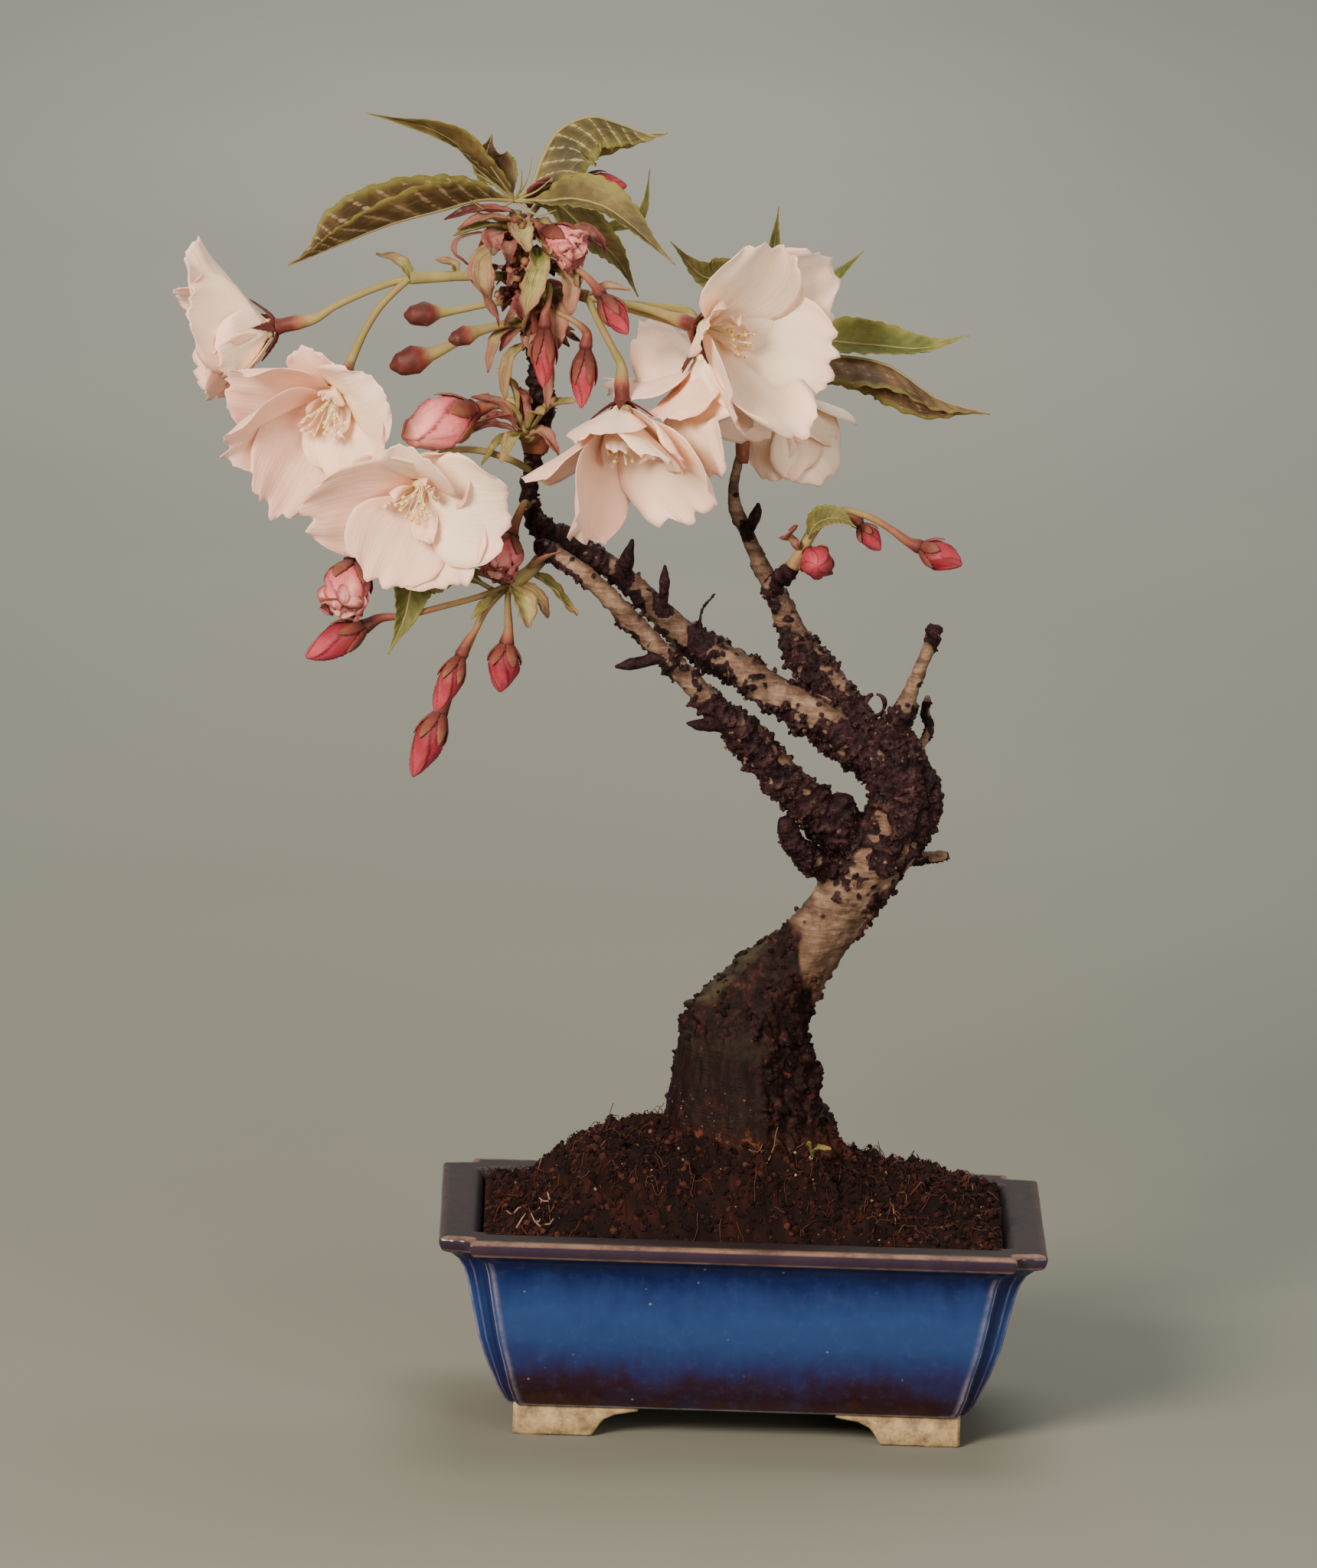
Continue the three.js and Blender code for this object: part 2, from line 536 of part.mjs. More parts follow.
/** Stamens round a taller style, on a small disc inside the petals. */
function bloomStamens({ centre, faces }, seed) {
  const middle = vec(centre);
  const axis = vec(faces).normalize();
  const across = new THREE.Vector3(0.3, 0.2, 1).cross(axis).normalize();
  const up = new THREE.Vector3().crossVectors(axis, across);
  const base = RING_TOP + GAP;
  const count = 4;
  const threads = Array.from({ length: count + 1 }, (_, k) => {
    const turn = k * (Math.PI / 2);
    const spread = k === 0 ? 0 : 0.16 + 0.12 * draw(seed + k);
    const long = k === 0 ? 10 : 7 + 2.5 * draw(seed * 2 + k);
    const away = k === 0 ? 0 : 0.8;
    const lean = across.clone().multiplyScalar(Math.cos(turn)).addScaledVector(up, Math.sin(turn));
    const place = (t) => middle.clone().addScaledVector(axis, base + 0.4 + t)
      .addScaledVector(lean, away + t * spread);
    const outline = [[0, 0.36], [long - 0.9, 0.3], [long, 0.72], [long + 0.7, 0.3]];
    return stem(outline.map(([t, radius]) => [...place(t).toArray(), radius]), { sides: 3, steps: 1 });
  });
  return join([disc(middle, axis, 1.25, base, base + 0.8, 5), ...threads]);
}

// ---------------------------------------------------------------- stalks
/** Stalk, calyx tube and five spreading sepals of an open bloom, in one skin. */
function bloomStalk(bloom, points) {
  const centre = vec(bloom.centre);
  const axis = vec(bloom.faces).normalize();
  const neck = [[CALYX_LENGTH, 0.95], [CALYX_LENGTH * 0.55, 1.5], [2, 1.5]];
  const tube = neck.map(([back, radius]) => {
    const place = centre.clone().addScaledVector(axis, -back);
    return [...place.toArray(), radius];
  });
  const path = points.map((p) => [...p, 0.75]).concat(tube);
  const rings = stemRings(path, { sides: 5, steps: 1 });
  return skin([...rings, ...headRings(rings.at(-1), vec(tube.at(-1)), centre, axis, [
    [[1, -0.7], starry(5.2, 1.9)],
    [[1.6, CALYX_TOP], starry(4.6, 1.9)],
    [[CALYX_TOP, CALYX_TOP], starry(1.8, 1.8)],
  ])]);
}

// base, tip, radius at the widest, and the finish of each bud
const BUDS = {
  bud_half_open: { base: [-58, -6, 200.5], tip: [-71.5, -12, 196], radius: 5.2, finish: PALE_BUD },
  bud_crumpled_left: { base: [-80.2, -7, 170], tip: [-82.7, -12, 160], radius: 4.6, finish: PALE_BUD },
  bud_crumpled_middle: { base: [-50, -6, 176], tip: [-53, -10, 168.5], radius: 3.9, finish: PALE_BUD },
  bud_low_left: { base: [-78, -8, 157.5], tip: [-89, -10, 151.5], radius: 3.2, finish: BUD },
  bud_hanging_upper: { base: [-59, -8.5, 152], tip: [-63.5, -10.5, 141.5], radius: 2.4, finish: BUD },
  bud_hanging_lower: { base: [-62.5, -4, 140], tip: [-67.5, -5, 127.5], radius: 3, finish: BUD },
  bud_hanging_right: { base: [-50, -8, 155], tip: [-51, -8, 145.5], radius: 3.1, finish: BUD },
  bud_sprig_round: { base: [10, 2, 172], tip: [10, -5, 172], radius: 3.2, finish: BUD },
  bud_sprig_small: { base: [18.5, 4, 178.5], tip: [22.5, 3, 174], radius: 2, finish: BUD },
  bud_sprig_end: { base: [30.5, 2, 175], tip: [38.5, 1, 172], radius: 2.9, finish: BUD },
  bud_crown_right: { base: [-33.5, -14, 225], tip: [-28.5, -17, 218.5], radius: 2.4, finish: BUD },
  bud_crown_middle: { base: [-44.5, -12.5, 218], tip: [-44.5, -14, 207], radius: 2.3, finish: BUD },
  bud_crown_low: { base: [-36.5, -11, 214], tip: [-37, -13, 203], radius: 2.3, finish: BUD },
  bud_crown_top: { base: [-39, 4, 243.5], tip: [-29.5, 6, 244], radius: 2.8, finish: BUD },
  bud_crown_front: { base: [-45, -8, 236.5], tip: [-37.5, -12, 233], radius: 3.4, finish: PALE_BUD },
};
const BUD_OUTLINE = [[0, 0.34], [0.2, 0.82], [0.46, 1], [0.78, 0.66], [1, 0.16]];

/** Rings of an ovoid bud; three twisted folds show where its outer petals overlap. */
function budRings(bud, grow, sides, folds) {
  const base = vec(bud.base);
  const length = vec(bud.tip).distanceTo(base);
  const axis = vec(bud.tip).sub(base).normalize();
  const across = new THREE.Vector3(0.1, 1, 0.2).cross(axis).normalize();
  const up = new THREE.Vector3().crossVectors(axis, across);
  return BUD_OUTLINE.map(([t, share]) => Array.from({ length: sides }, (_, j) => {
    const turn = (j / sides) * Math.PI * 2 + t * 0.9;
    const fold = folds ? 1 + 0.1 * (j % 2 === 0 ? 1 : -1) * Math.sin(t * Math.PI) : 1.05;
    const r = bud.radius * share * fold + grow;
    const level = mix(-grow, length + grow, t);
    return base.clone().addScaledVector(axis, level).addScaledVector(across, Math.cos(turn) * r)
      .addScaledVector(up, Math.sin(turn) * r);
  }));
}

const budSolid = (bud) => skin(budRings(bud, 0, 8, true));

/** A bud's stalk, ending in a cup whose five sepals clasp the bud, in one skin. */
function budStalk(bud, points, thickness = 0.65) {
  const base = vec(bud.base);
  const length = vec(bud.tip).distanceTo(base);
  const axis = vec(bud.tip).sub(base).normalize();
  const reach = Math.max(2.5, length * 0.3);
  const tube = [[...base.clone().addScaledVector(axis, -reach).toArray(), thickness + 0.35],
    [...base.clone().addScaledVector(axis, -1).toArray(), thickness + 0.6]];
  const rings = stemRings(points.map((p) => [...p, thickness]).concat(tube), { sides: 5, steps: 1 });
  const inside = (t) => bud.radius * 1.16 * along(BUD_OUTLINE, t) + GAP;
  const wall = 0.7;
  const [valley, point] = [0.12, 0.36];
  const hollow = bud.radius * 0.52 + GAP;
  return skin([...rings, ...headRings(rings.at(-1), vec(tube.at(-1)), base, axis, [
    [0, even(5, hollow + wall)],
    [[length * point, length * valley], starry(inside(point) + wall, inside(valley) + wall)],
    [[length * point, length * valley], starry(inside(point), inside(valley))],
    [-GAP, even(5, hollow)],
  ])]);
}

// ---------------------------------------------------------------- leaves and bracts
const LEAF_OUTLINE = [[0, 0.06], [0.08, 0.1], [0.15, 0.35], [0.28, 0.78], [0.42, 1], [0.56, 0.93],
  [0.7, 0.66], [0.8, 0.38], [0.88, 0.17], [1, 0.06]];
const BRACT_OUTLINE = [[0, 0.35], [0.3, 0.9], [0.5, 1], [0.75, 0.75], [1, 0.15]];

/** A blade along a spine: folded along its rib, pleated between its side veins, with a toothed edge. */
function frond(spine, width, { up = [0, -0.3, 1], fold = 0.35, teeth = 1, rows = 8, outline = LEAF_OUTLINE,
  wide = false, spin = 0 } = {}) {
  const curve = new THREE.CatmullRomCurve3(spine.map(vec), false, "centripetal");
  const columns = wide ? [-1, -0.5, 0, 0.5, 1] : [-1, 0, 1];
  const grid = Array.from({ length: rows + 1 }, (_, i) => {
    const u = i / rows;
    const tangent = curve.getTangent(u).normalize();
    const side = new THREE.Vector3().crossVectors(tangent, vec(up)).normalize();
    side.applyAxisAngle(tangent, spin * u);
    const face = new THREE.Vector3().crossVectors(side, tangent).normalize();
    const inner = u > 0.15 && u < 0.9;
    const tooth = inner ? teeth * (i % 2 === 0 ? 0.1 : -0.06) : 0;
    const half = Math.max(0.45, (width / 2) * along(outline, u) * (1 + tooth));
    const pleat = inner && wide ? (i % 2 === 0 ? 0.35 : -0.35) : 0;
    return columns.map((v) => {
      const rise = Math.abs(v) * half * Math.sin(fold) + (Math.abs(v) === 0.5 ? pleat : 0);
      return curve.getPoint(u).addScaledVector(side, v * half * Math.cos(fold)).addScaledVector(face, rise);
    });
  });
  return blade(grid);
}

const bract = (spine, width, options = {}) => frond(spine, width,
  { rows: 2, teeth: 0, outline: BRACT_OUTLINE, fold: 0.4, ...options });

// the green shoot that carries the crown
const CROWN_AXIS = [[-46, -1, 213.4, 1.9], [-46.5, -2, 219, 2.2], [-47.5, -2.5, 225, 2.4],
  [-49, -2.5, 231, 2.1],
  [-50.5, -2, 237, 1.5], [-51, -2, 239.6, 1.1]];

function crownBracts() {
  const frames = framesAlong(CROWN_AXIS, 3);
  const bracts = [];
  for (let k = 0; k < 7; k += 1) {
    const { at, across, up } = frames[1 + ((k * 4) % 13)];
    const turn = 0.6 + k * 2.4;
    const out = across.clone().multiplyScalar(Math.cos(turn)).addScaledVector(up, Math.sin(turn));
    const long = 6 + 4 * draw(k + 50);
    const rise = 2.5 * draw(k + 70) - 1;
    const middle = at.clone().addScaledVector(out, long * 0.55).add(new THREE.Vector3(0, 0, rise + 1.2));
    const end = at.clone().addScaledVector(out, long).add(new THREE.Vector3(0, 0, rise - 1.5));
    const start = at.clone().addScaledVector(out, 1.1);
    bracts.push(bract([start, middle, end].map((p) => p.toArray()), 3 + 1.4 * draw(k + 90)));
  }
  return bracts;
}

const CROWN_SCALES = [
  [[[-48, -2, 231], [-55.5, -6, 229.5], [-58, -9, 224], [-54, -8, 216]], 5.4],
  [[[-47, -3, 229], [-46, -9, 228.5], [-48, -11, 223], [-50, -11, 217.5]], 5],
  [[[-50, -2, 237], [-58, -7, 237.5], [-66, -9, 236]], 3.4],
  [[[-50, -2, 233], [-58, -8, 234], [-64.5, -9, 232.5]], 3],
  [[[-50, -2, 235], [-49.5, -8, 238], [-48.5, -13, 233]], 5],
];

// closed brown buds that are one with the shoot: [x, y, z, radius] from the shoot out to the bud's tip
const CLOSED_BUDS = [
  [[-46, -2, 219, 0.6], [-53, -3, 217.5, 0.6], [-62, -5, 213.5, 0.8], [-66.5, -6, 211.5, 1.4],
    [-70, -7, 210.3, 2.8],
    [-74, -8, 209, 0.6]],
  [[-47, -2, 221.5, 0.6], [-54, -3, 221.5, 0.6], [-62, -3.5, 219.8, 0.7], [-65, -4, 219.5, 1.2],
    [-68, -5, 219.2, 2.4], [-71.5, -6, 219, 0.5]],
  [[-46, -2, 217, 0.6], [-52, -4.5, 217.5, 0.6], [-57.5, -7, 216.5, 1.1], [-60, -8.5, 215.7, 2],
    [-63, -10, 215, 0.5]],
];

const CROWN_BUD_STALKS = [
  ["bud_crown_right", [[-47.5, -2.5, 228], [-42, -7, 230], [-38, -11, 229.5]]],
  ["bud_crown_middle", [[-47, -2.5, 225], [-44, -8, 226], [-44, -11, 223.5]]],
  ["bud_crown_low", [[-47, -3, 220], [-43, -8, 221], [-38.5, -11, 219.5]]],
  ["bud_crown_top", [[-50, -1, 235.5], [-47.5, 4.5, 238.5], [-44.5, 5, 242]]],
  ["bud_crown_front", [[-49, -2.5, 231], [-48.5, -5, 234.5]]],
];

const crownShoot = (fatWood) => {
  const stalks = CROWN_BUD_STALKS.map(([name, points]) => budStalk(BUDS[name], points, 0.6));
  const scales = CROWN_SCALES.map(([spine, width]) => bract(spine, width, { rows: 3 }));
  const closed = CLOSED_BUDS.map((points) => stem(points, { sides: 5, steps: 1 }));
  const axis = stem(CROWN_AXIS, { sides: 7, steps: 1, rough: 0.1 });
  return cut(join([axis, ...crownBracts(), ...scales, ...stalks, ...closed]), fatWood);
};

const CROWN_HUB = [-51.2, -2, 241.6];
const CROWN_LEAVES = [
  [[CROWN_HUB, [-53.5, -3, 243.8], [-59.3, -4.5, 248.8], [-63.2, -6, 253], [-68, -8, 256], [-74, -9, 257.6],
    [-80.5, -10, 259]], 8, { up: [0.6, -0.5, 0.6], fold: 1, spin: -1 }],
  [[CROWN_HUB, [-54, 2, 245], [-56.9, 4, 248.8], [-56, 5, 253.5]], 9, { up: [0.3, -0.9, 0.1] }],
  [[CROWN_HUB, [-48, 0, 244], [-46, 2, 249.5], [-43, 4, 254.6], [-37, 6, 257.2], [-31, 8, 255.6],
    [-26.5, 9, 254],
    [-21.8, 10, 254]], 17, { up: [0, -0.25, -1], fold: 1, wide: true }],
  [[CROWN_HUB, [-57.6, -6, 242.2], [-65.4, -10, 240.5], [-75.2, -14, 238], [-85, -17, 234.1],
    [-89, -18, 232.4],
    [-94.5, -19, 230]], 15, { up: [0, -0.3, 1], fold: 1.05, wide: true }],
  [[CROWN_HUB, [-45, -8, 242.5], [-40, -11, 243.6], [-34, -14, 242.8], [-29.7, -16, 240.5],
    [-25.2, -18, 237.1],
    [-19.8, -19, 232.7]], 9.5, { up: [0.2, -0.75, 0.7], fold: 0.5 }],
  [[CROWN_HUB, [-44.5, 1.6, 241.5], [-37, 3, 235.2], [-31, 6, 229.5], [-26.5, 7, 222]], 7.5,
    { up: [0.6, -0.8, 0.2] }],
  [[[-37, 3, 235.2], [-31, 7, 236], [-26.5, 8.5, 238], [-25, 9, 247]], 3, { up: [0, -1, 0.2], rows: 6 }],
];

const crownLeaves = () => {
  const hub = new THREE.IcosahedronGeometry(1.5, 0).translate(...CROWN_HUB);
  const leaves = CROWN_LEAVES.map(([[root, next, ...rest], width, options]) => {
    const reach = root === CROWN_HUB ? 0.8 : 0;
    const start = vec(next).sub(vec(root)).setLength(reach).add(vec(root)).toArray();
    return frond([start, next, ...rest], width, options);
  });
  return join([solidOf(hub), ...leaves]);
};

// ---------------------------------------------------------------- the other sprays
const LEFT_KNOT = [-71, -7, 226.5];
const leftSpray = (fatWood) => cut(join([
  stem([[-50.5, -2.5, 226.5, 1.1], [-54, -4, 227, 1], [-62, -6, 227, 1],
    [...LEFT_KNOT, 1.3]], { sides: 5, steps: 1 }),
  bloomStalk(BLOOMS.bloom_far_left, [LEFT_KNOT, [-75, -5, 225], [-81, -2, 222], [-86, 0, 219]]),
  bloomStalk(BLOOMS.bloom_left, [LEFT_KNOT, [-73.5, -6, 224], [-76.5, -5, 220.5], [-79.5, -2.5, 215]]),
  bract([LEFT_KNOT, [-73, -6, 229], [-78, -5, 230.5]], 3),
  bract([[-62, -6, 227], [-63, -5, 229], [-66, -5, 230]], 2.5),
]), fatWood);

const ROSETTE = [-47.5, -2.5, 196];
const rosetteArms = [[-58.5, -8, 203.5], [-53.5, -6, 209], [-38, -9, 203.5], [-52, -9, 191],
  [-60.5, -6, 195], [-55, 6, 201]];
const middleRosette = (fatWood) => cut(join([
  stem([[-45.6, 2, 192, 3], [-45.5, 1.9, 194.5, 3.6], [-45.2, 1.8, 197, 3]], { sides: 6, steps: 1 }),
  stem([[-46, 0.5, 195.5, 2.4], [...ROSETTE, 2.2]], { sides: 5, steps: 1 }),
  ...rosetteArms.map((tip, k) => {
    const root = vec(k > 4 ? [-45.5, 2, 195] : ROSETTE);
    const start = root.clone().lerp(vec(tip), 0.14);
    const middle = root.clone().lerp(vec(tip), 0.5).add(new THREE.Vector3(0, 0, 2));
    return bract([start, middle, vec(tip)].map((p) => p.toArray()), 3.6, { spin: 0.2 });
  }),
  budStalk(BUDS.bud_half_open, [ROSETTE, [-50.5, -3.5, 201]], 0.9),
]), fatWood);

const middleStalk = (fatWood) => cut(
  bloomStalk(BLOOMS.bloom_front_left, [[-46.5, 1, 188], [-50, -3, 190.5], [-56, -4.5, 192.5],
    [-61, -4.5, 192.5]]),
  fatWood,
);

const RIGHT_KNOT = [-36.5, -7, 224];
const rightSpray = (fatWood) => cut(join([
  stem([[-44.5, -3.5, 223, 1.1], [-41, -5, 224.5, 1], [...RIGHT_KNOT, 1.3]], { sides: 5, steps: 1 }),
  bloomStalk(BLOOMS.bloom_big_right, [RIGHT_KNOT, [-30, -7.5, 223], [-25, -7, 222]]),
  bloomStalk(BLOOMS.bloom_middle_right, [RIGHT_KNOT, [-30, -4, 222.5], [-23, -1, 221.5]]),
  bloomStalk(BLOOMS.bloom_front_right, [RIGHT_KNOT, [-34, -7.5, 219], [-31, -6.5, 213.5]]),
  bloomStalk(BLOOMS.bloom_back_right, [RIGHT_KNOT, [-29, -1, 221], [-18, 5, 217], [-8, 6, 212.5]]),
  bract([RIGHT_KNOT, [-33, -9, 226], [-28, -10, 226]], 2.6),
]), fatWood);

const LOW_KNOT = [-50, -7, 166.5];
const lowSpray = (fatWood) => cut(join([
  stem([[-44, -3, 171, 1.4], [-46, -5, 169, 1.3], [...LOW_KNOT, 1.6]], { sides: 5, steps: 1 }),
  budStalk(BUDS.bud_low_left, [LOW_KNOT, [-55, -8, 164.5], [-63, -8, 162], [-70, -8, 160]]),
  budStalk(BUDS.bud_hanging_upper, [LOW_KNOT, [-54, -8.5, 162], [-56, -8.5, 158]]),
  budStalk(BUDS.bud_hanging_lower, [LOW_KNOT, [-54, -4, 162], [-57.5, -2.5, 153], [-60, -2.5, 147]]),
  budStalk(BUDS.bud_hanging_right, [LOW_KNOT, [-50, -8, 163]]),
  budStalk(BUDS.bud_crumpled_left, [LOW_KNOT, [-54, -5, 168], [-65, -3, 170], [-77, -3, 173.5]]),
  bract([LOW_KNOT, [-54, -10, 163], [-57, -12, 160.5]], 2.6),
  bract([LOW_KNOT, [-45, -8, 164], [-42, -8, 160.5]], 5),
  bract([[-46, -5, 169], [-41, -4, 165], [-36.5, -5, 160.5]], 3.4),
  bract([[-46, -5, 169], [-43, -8, 172], [-40, -10, 174]], 3.6),
  bract([LOW_KNOT, [-56, -3, 170], [-61, -2, 172.5]], 4),
  frond([[-53, -6.5, 165.5], [-61, -4, 168.5], [-68, -7, 167], [-70, -9, 160], [-73, -10, 152.5]], 9,
    { up: [0.2, -0.9, 0.2] }),
]), fatWood);

const middleBudStalk = (fatWood) => cut(
  budStalk(BUDS.bud_crumpled_middle, [[-46.5, 1, 181], [-47.5, -3, 182]], 0.8),
  fatWood,
);

const sprigStalk = (fatWood) => cut(join([
  stem([[5.5, 4, 170, 1.5], [7, 3.5, 173, 1.2], [9, 3.5, 177, 1.1], [11.5, 4, 180, 1],
    [14, 4.5, 180.8, 0.9]],
    { sides: 5, steps: 1 }),
  budStalk(BUDS.bud_sprig_round, [[7, 3.5, 173], [8.5, 5, 173.5]], 0.8),
  budStalk(BUDS.bud_sprig_small, [[11.5, 4, 180], [14, 4.5, 181]], 0.7),
  budStalk(BUDS.bud_sprig_end, [[11.5, 4, 180], [14.5, 4, 181.5], [20, 3.5, 180.5], [24, 3, 178.5]], 0.7),
  bract([[7, 3.5, 173], [4.5, 1, 175.5], [6, -0.5, 179]], 3.6),
  frond([[8, 3.5, 175], [10, 0, 179.5], [14, -2, 181],
    [17.5, -3, 179.5]], 5.5, { rows: 7, up: [-0.3, -0.7, 0.6] }),
  bract([[7, 3.5, 172.5], [11, 4.5, 168.5], [13.5, 3, 169]], 2.6),
]), fatWood);

const LEAF_KNOT = [-4.5, 12, 199];
const rightLeaves = (fatWood) => cut(join([
  stem([[-5, 11, 189, 1.2], [-5, 11.5, 194, 1.5], [...LEAF_KNOT, 1.4], [-3, 15, 208, 1],
    [-3, 17, 217, 0.8]], { sides: 5, steps: 1 }),
  frond([[-3, 17, 216], [-8, 17, 224], [-14, 16, 225],
    [-20.5, 14, 232]], 8, { up: [0.3, -0.8, 0.5], rows: 10 }),
  frond([[-3, 17, 216], [5, 18, 219], [11.5, 18, 224.5],
    [17.5, 17, 231]], 5, { up: [-0.5, -0.8, 0.3], rows: 8 }),
  frond([[-3, 17, 215], [-0.5, 20, 224], [0, 19, 232], [0.5, 18, 239]], 3, { up: [0, -1, 0.1], rows: 6 }),
  frond([[-3, 16.5, 212], [8, 16, 213], [20, 12.5, 213], [30, 11, 213], [38.5, 10, 216]], 9,
    { up: [0, -0.75, 0.65], fold: 0.5 }),
  frond([[-3, 15.5, 209.5], [8, 13, 210.5], [22, 8, 210], [33, 7, 203.5], [43, 7, 201]], 13,
    { up: [0, -0.5, -1], fold: 0.9, wide: true }),
  bract([[-4.8, 11, 196], [-8, 8, 198.5], [-10, 5, 197.5]], 2.6),
]), fatWood);

// ---------------------------------------------------------------- the whole part
const fatWood = limbs(GAP + 0.25);
const boxAround = (side) => {
  const [wide, tall] = [SCREEN_SIDE + 4 * GAP, SCREEN_THICKNESS + 4 * GAP];
  const box = new THREE.BoxGeometry(wide, wide, tall);
  return solidOf(box.translate(side * DRAIN_OFFSET, 0, FLOOR_TOP + tall / 2));
};

addNode("pot", potSolid(), GLAZE);
addNode("drain_screen_left", screenSolid(-1), SCREEN);
addNode("drain_screen_right", screenSolid(1), SCREEN);
addNode("soil", soilSolid([fatWood[0], fatWood[1], boxAround(1), boxAround(-1)]), SOIL);
addNode("trunk", woodSolid(), BARK);
Object.entries(BLOOMS).forEach(([name, bloom], k) => {
  addNode(`${name}_petals`, bloomPetals(bloom, 10 * k), PETAL);
  addNode(`${name}_stamens`, bloomStamens(bloom, 10 * k + 5), STAMEN);
});
Object.entries(BUDS).forEach(([name, bud]) => addNode(name, budSolid(bud), bud.finish));
addNode("crown_shoot", crownShoot(fatWood), BRACT);
addNode("crown_leaves", crownLeaves(), LEAF);
addNode("left_spray_stalks", leftSpray(fatWood), STALK);
addNode("middle_rosette", middleRosette(fatWood), BRACT);
addNode("middle_bloom_stalk", middleStalk(fatWood), STALK);
addNode("middle_bud_stalk", middleBudStalk(fatWood), STALK);
addNode("right_spray_stalks", rightSpray(fatWood), STALK);
addNode("low_spray", lowSpray(fatWood), STALK);
addNode("sprig_stalk", sprigStalk(fatWood), STALK);
addNode("right_leaf_shoot", rightLeaves(fatWood), LEAF);

const box = new THREE.Box3().setFromObject(tree);
const middle = box.getCenter(new THREE.Vector3());
tree.position.set(-middle.x, -middle.y, -box.min.z);

export default tree;
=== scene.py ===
"""Looks of a flowering cherry bonsai in a blue glazed pot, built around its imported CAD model.

Tables are in millimetres from the middle of the pot on the surface that it stands on, with the tree's
front towards -Y. Meshes are made in millimetres and moved to metres when they become objects.
"""

import math

import bpy
import numpy as np
from mathutils import Matrix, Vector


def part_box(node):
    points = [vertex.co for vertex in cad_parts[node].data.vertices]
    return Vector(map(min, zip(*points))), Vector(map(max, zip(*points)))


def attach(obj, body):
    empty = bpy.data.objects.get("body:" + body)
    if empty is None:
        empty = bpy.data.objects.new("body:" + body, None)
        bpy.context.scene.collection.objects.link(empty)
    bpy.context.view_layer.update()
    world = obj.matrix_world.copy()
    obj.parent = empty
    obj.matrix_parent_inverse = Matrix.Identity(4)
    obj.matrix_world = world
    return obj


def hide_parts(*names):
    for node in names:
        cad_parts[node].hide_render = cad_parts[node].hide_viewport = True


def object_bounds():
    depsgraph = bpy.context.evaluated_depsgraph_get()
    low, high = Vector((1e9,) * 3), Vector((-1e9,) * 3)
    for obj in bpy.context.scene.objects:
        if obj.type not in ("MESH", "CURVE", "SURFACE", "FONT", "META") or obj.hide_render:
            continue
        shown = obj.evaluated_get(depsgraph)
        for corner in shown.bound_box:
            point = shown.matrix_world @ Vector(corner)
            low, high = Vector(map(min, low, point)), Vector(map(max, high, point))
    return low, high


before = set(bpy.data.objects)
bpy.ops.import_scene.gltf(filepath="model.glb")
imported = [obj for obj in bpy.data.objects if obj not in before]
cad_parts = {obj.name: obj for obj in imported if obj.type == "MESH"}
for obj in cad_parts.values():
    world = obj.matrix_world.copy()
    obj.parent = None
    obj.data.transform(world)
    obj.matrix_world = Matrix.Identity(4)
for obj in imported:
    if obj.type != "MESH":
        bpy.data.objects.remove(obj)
cad_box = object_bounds()

MM = 0.001
pot_low, pot_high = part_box("pot")
POT_MIDDLE = np.array([(pot_low[0] + pot_high[0]) / 2, (pot_low[1] + pot_high[1]) / 2, pot_low[2]])
TAU = 2 * math.pi
# pairs of side veins on a leaf, and how many of their gaps one vein crosses on its way out to the edge
VEINS = 13
VEIN_SLANT = 1.8


# ---------------------------------------------------------------- numbers
def draw(n):
    """A repeatable number from 0 to 1 for each number."""
    s = math.sin(n * 12.9898 + 4.1414) * 43758.5453
    return s - math.floor(s)


def unit(v):
    """The vector at length 1."""
    v = np.asarray(v, float)
    return v / np.linalg.norm(v)


def step(low, high, x):
    """A smooth climb from 0 where x is low to 1 where it is high; low may be the larger of the two."""
    t = np.clip((x - low) / (high - low), 0, 1)
    return t * t * (3 - 2 * t)


def along(table, x):
    """The value at x on a line through a table of pairs."""
    table = np.array(table, float)
    return np.interp(x, table[:, 0], table[:, 1])


def lattice(cell, seed):
    """A repeatable number from 0 to 1 for each whole-number cell."""
    h = cell[..., 0] * 374761393 + cell[..., 1] * 668265263 + cell[..., 2] * 1274126177 + seed * 974711
    h = (h ^ (h >> 13)) * 1103515245 & 0xFFFFFFFF
    h = (h ^ (h >> 15)) * 12345677 & 0xFFFFFFFF
    return ((h ^ (h >> 14)) & 0xFFFF) / 65535


def value_noise(points, size, seed=0):
    """Smooth noise from -1 to 1 with features of the given size."""
    p = np.asarray(points, float) / size
    base = np.floor(p).astype(np.int64)
    f = p - base
    f = f * f * (3 - 2 * f)
    total = np.zeros(p.shape[:-1])
    for corner in range(8):
        offset = np.array([corner & 1, corner >> 1 & 1, corner >> 2 & 1])
        weight = np.prod(np.where(offset, f, 1 - f), axis=-1)
        total += weight * lattice(base + offset, seed)
    return total * 2 - 1


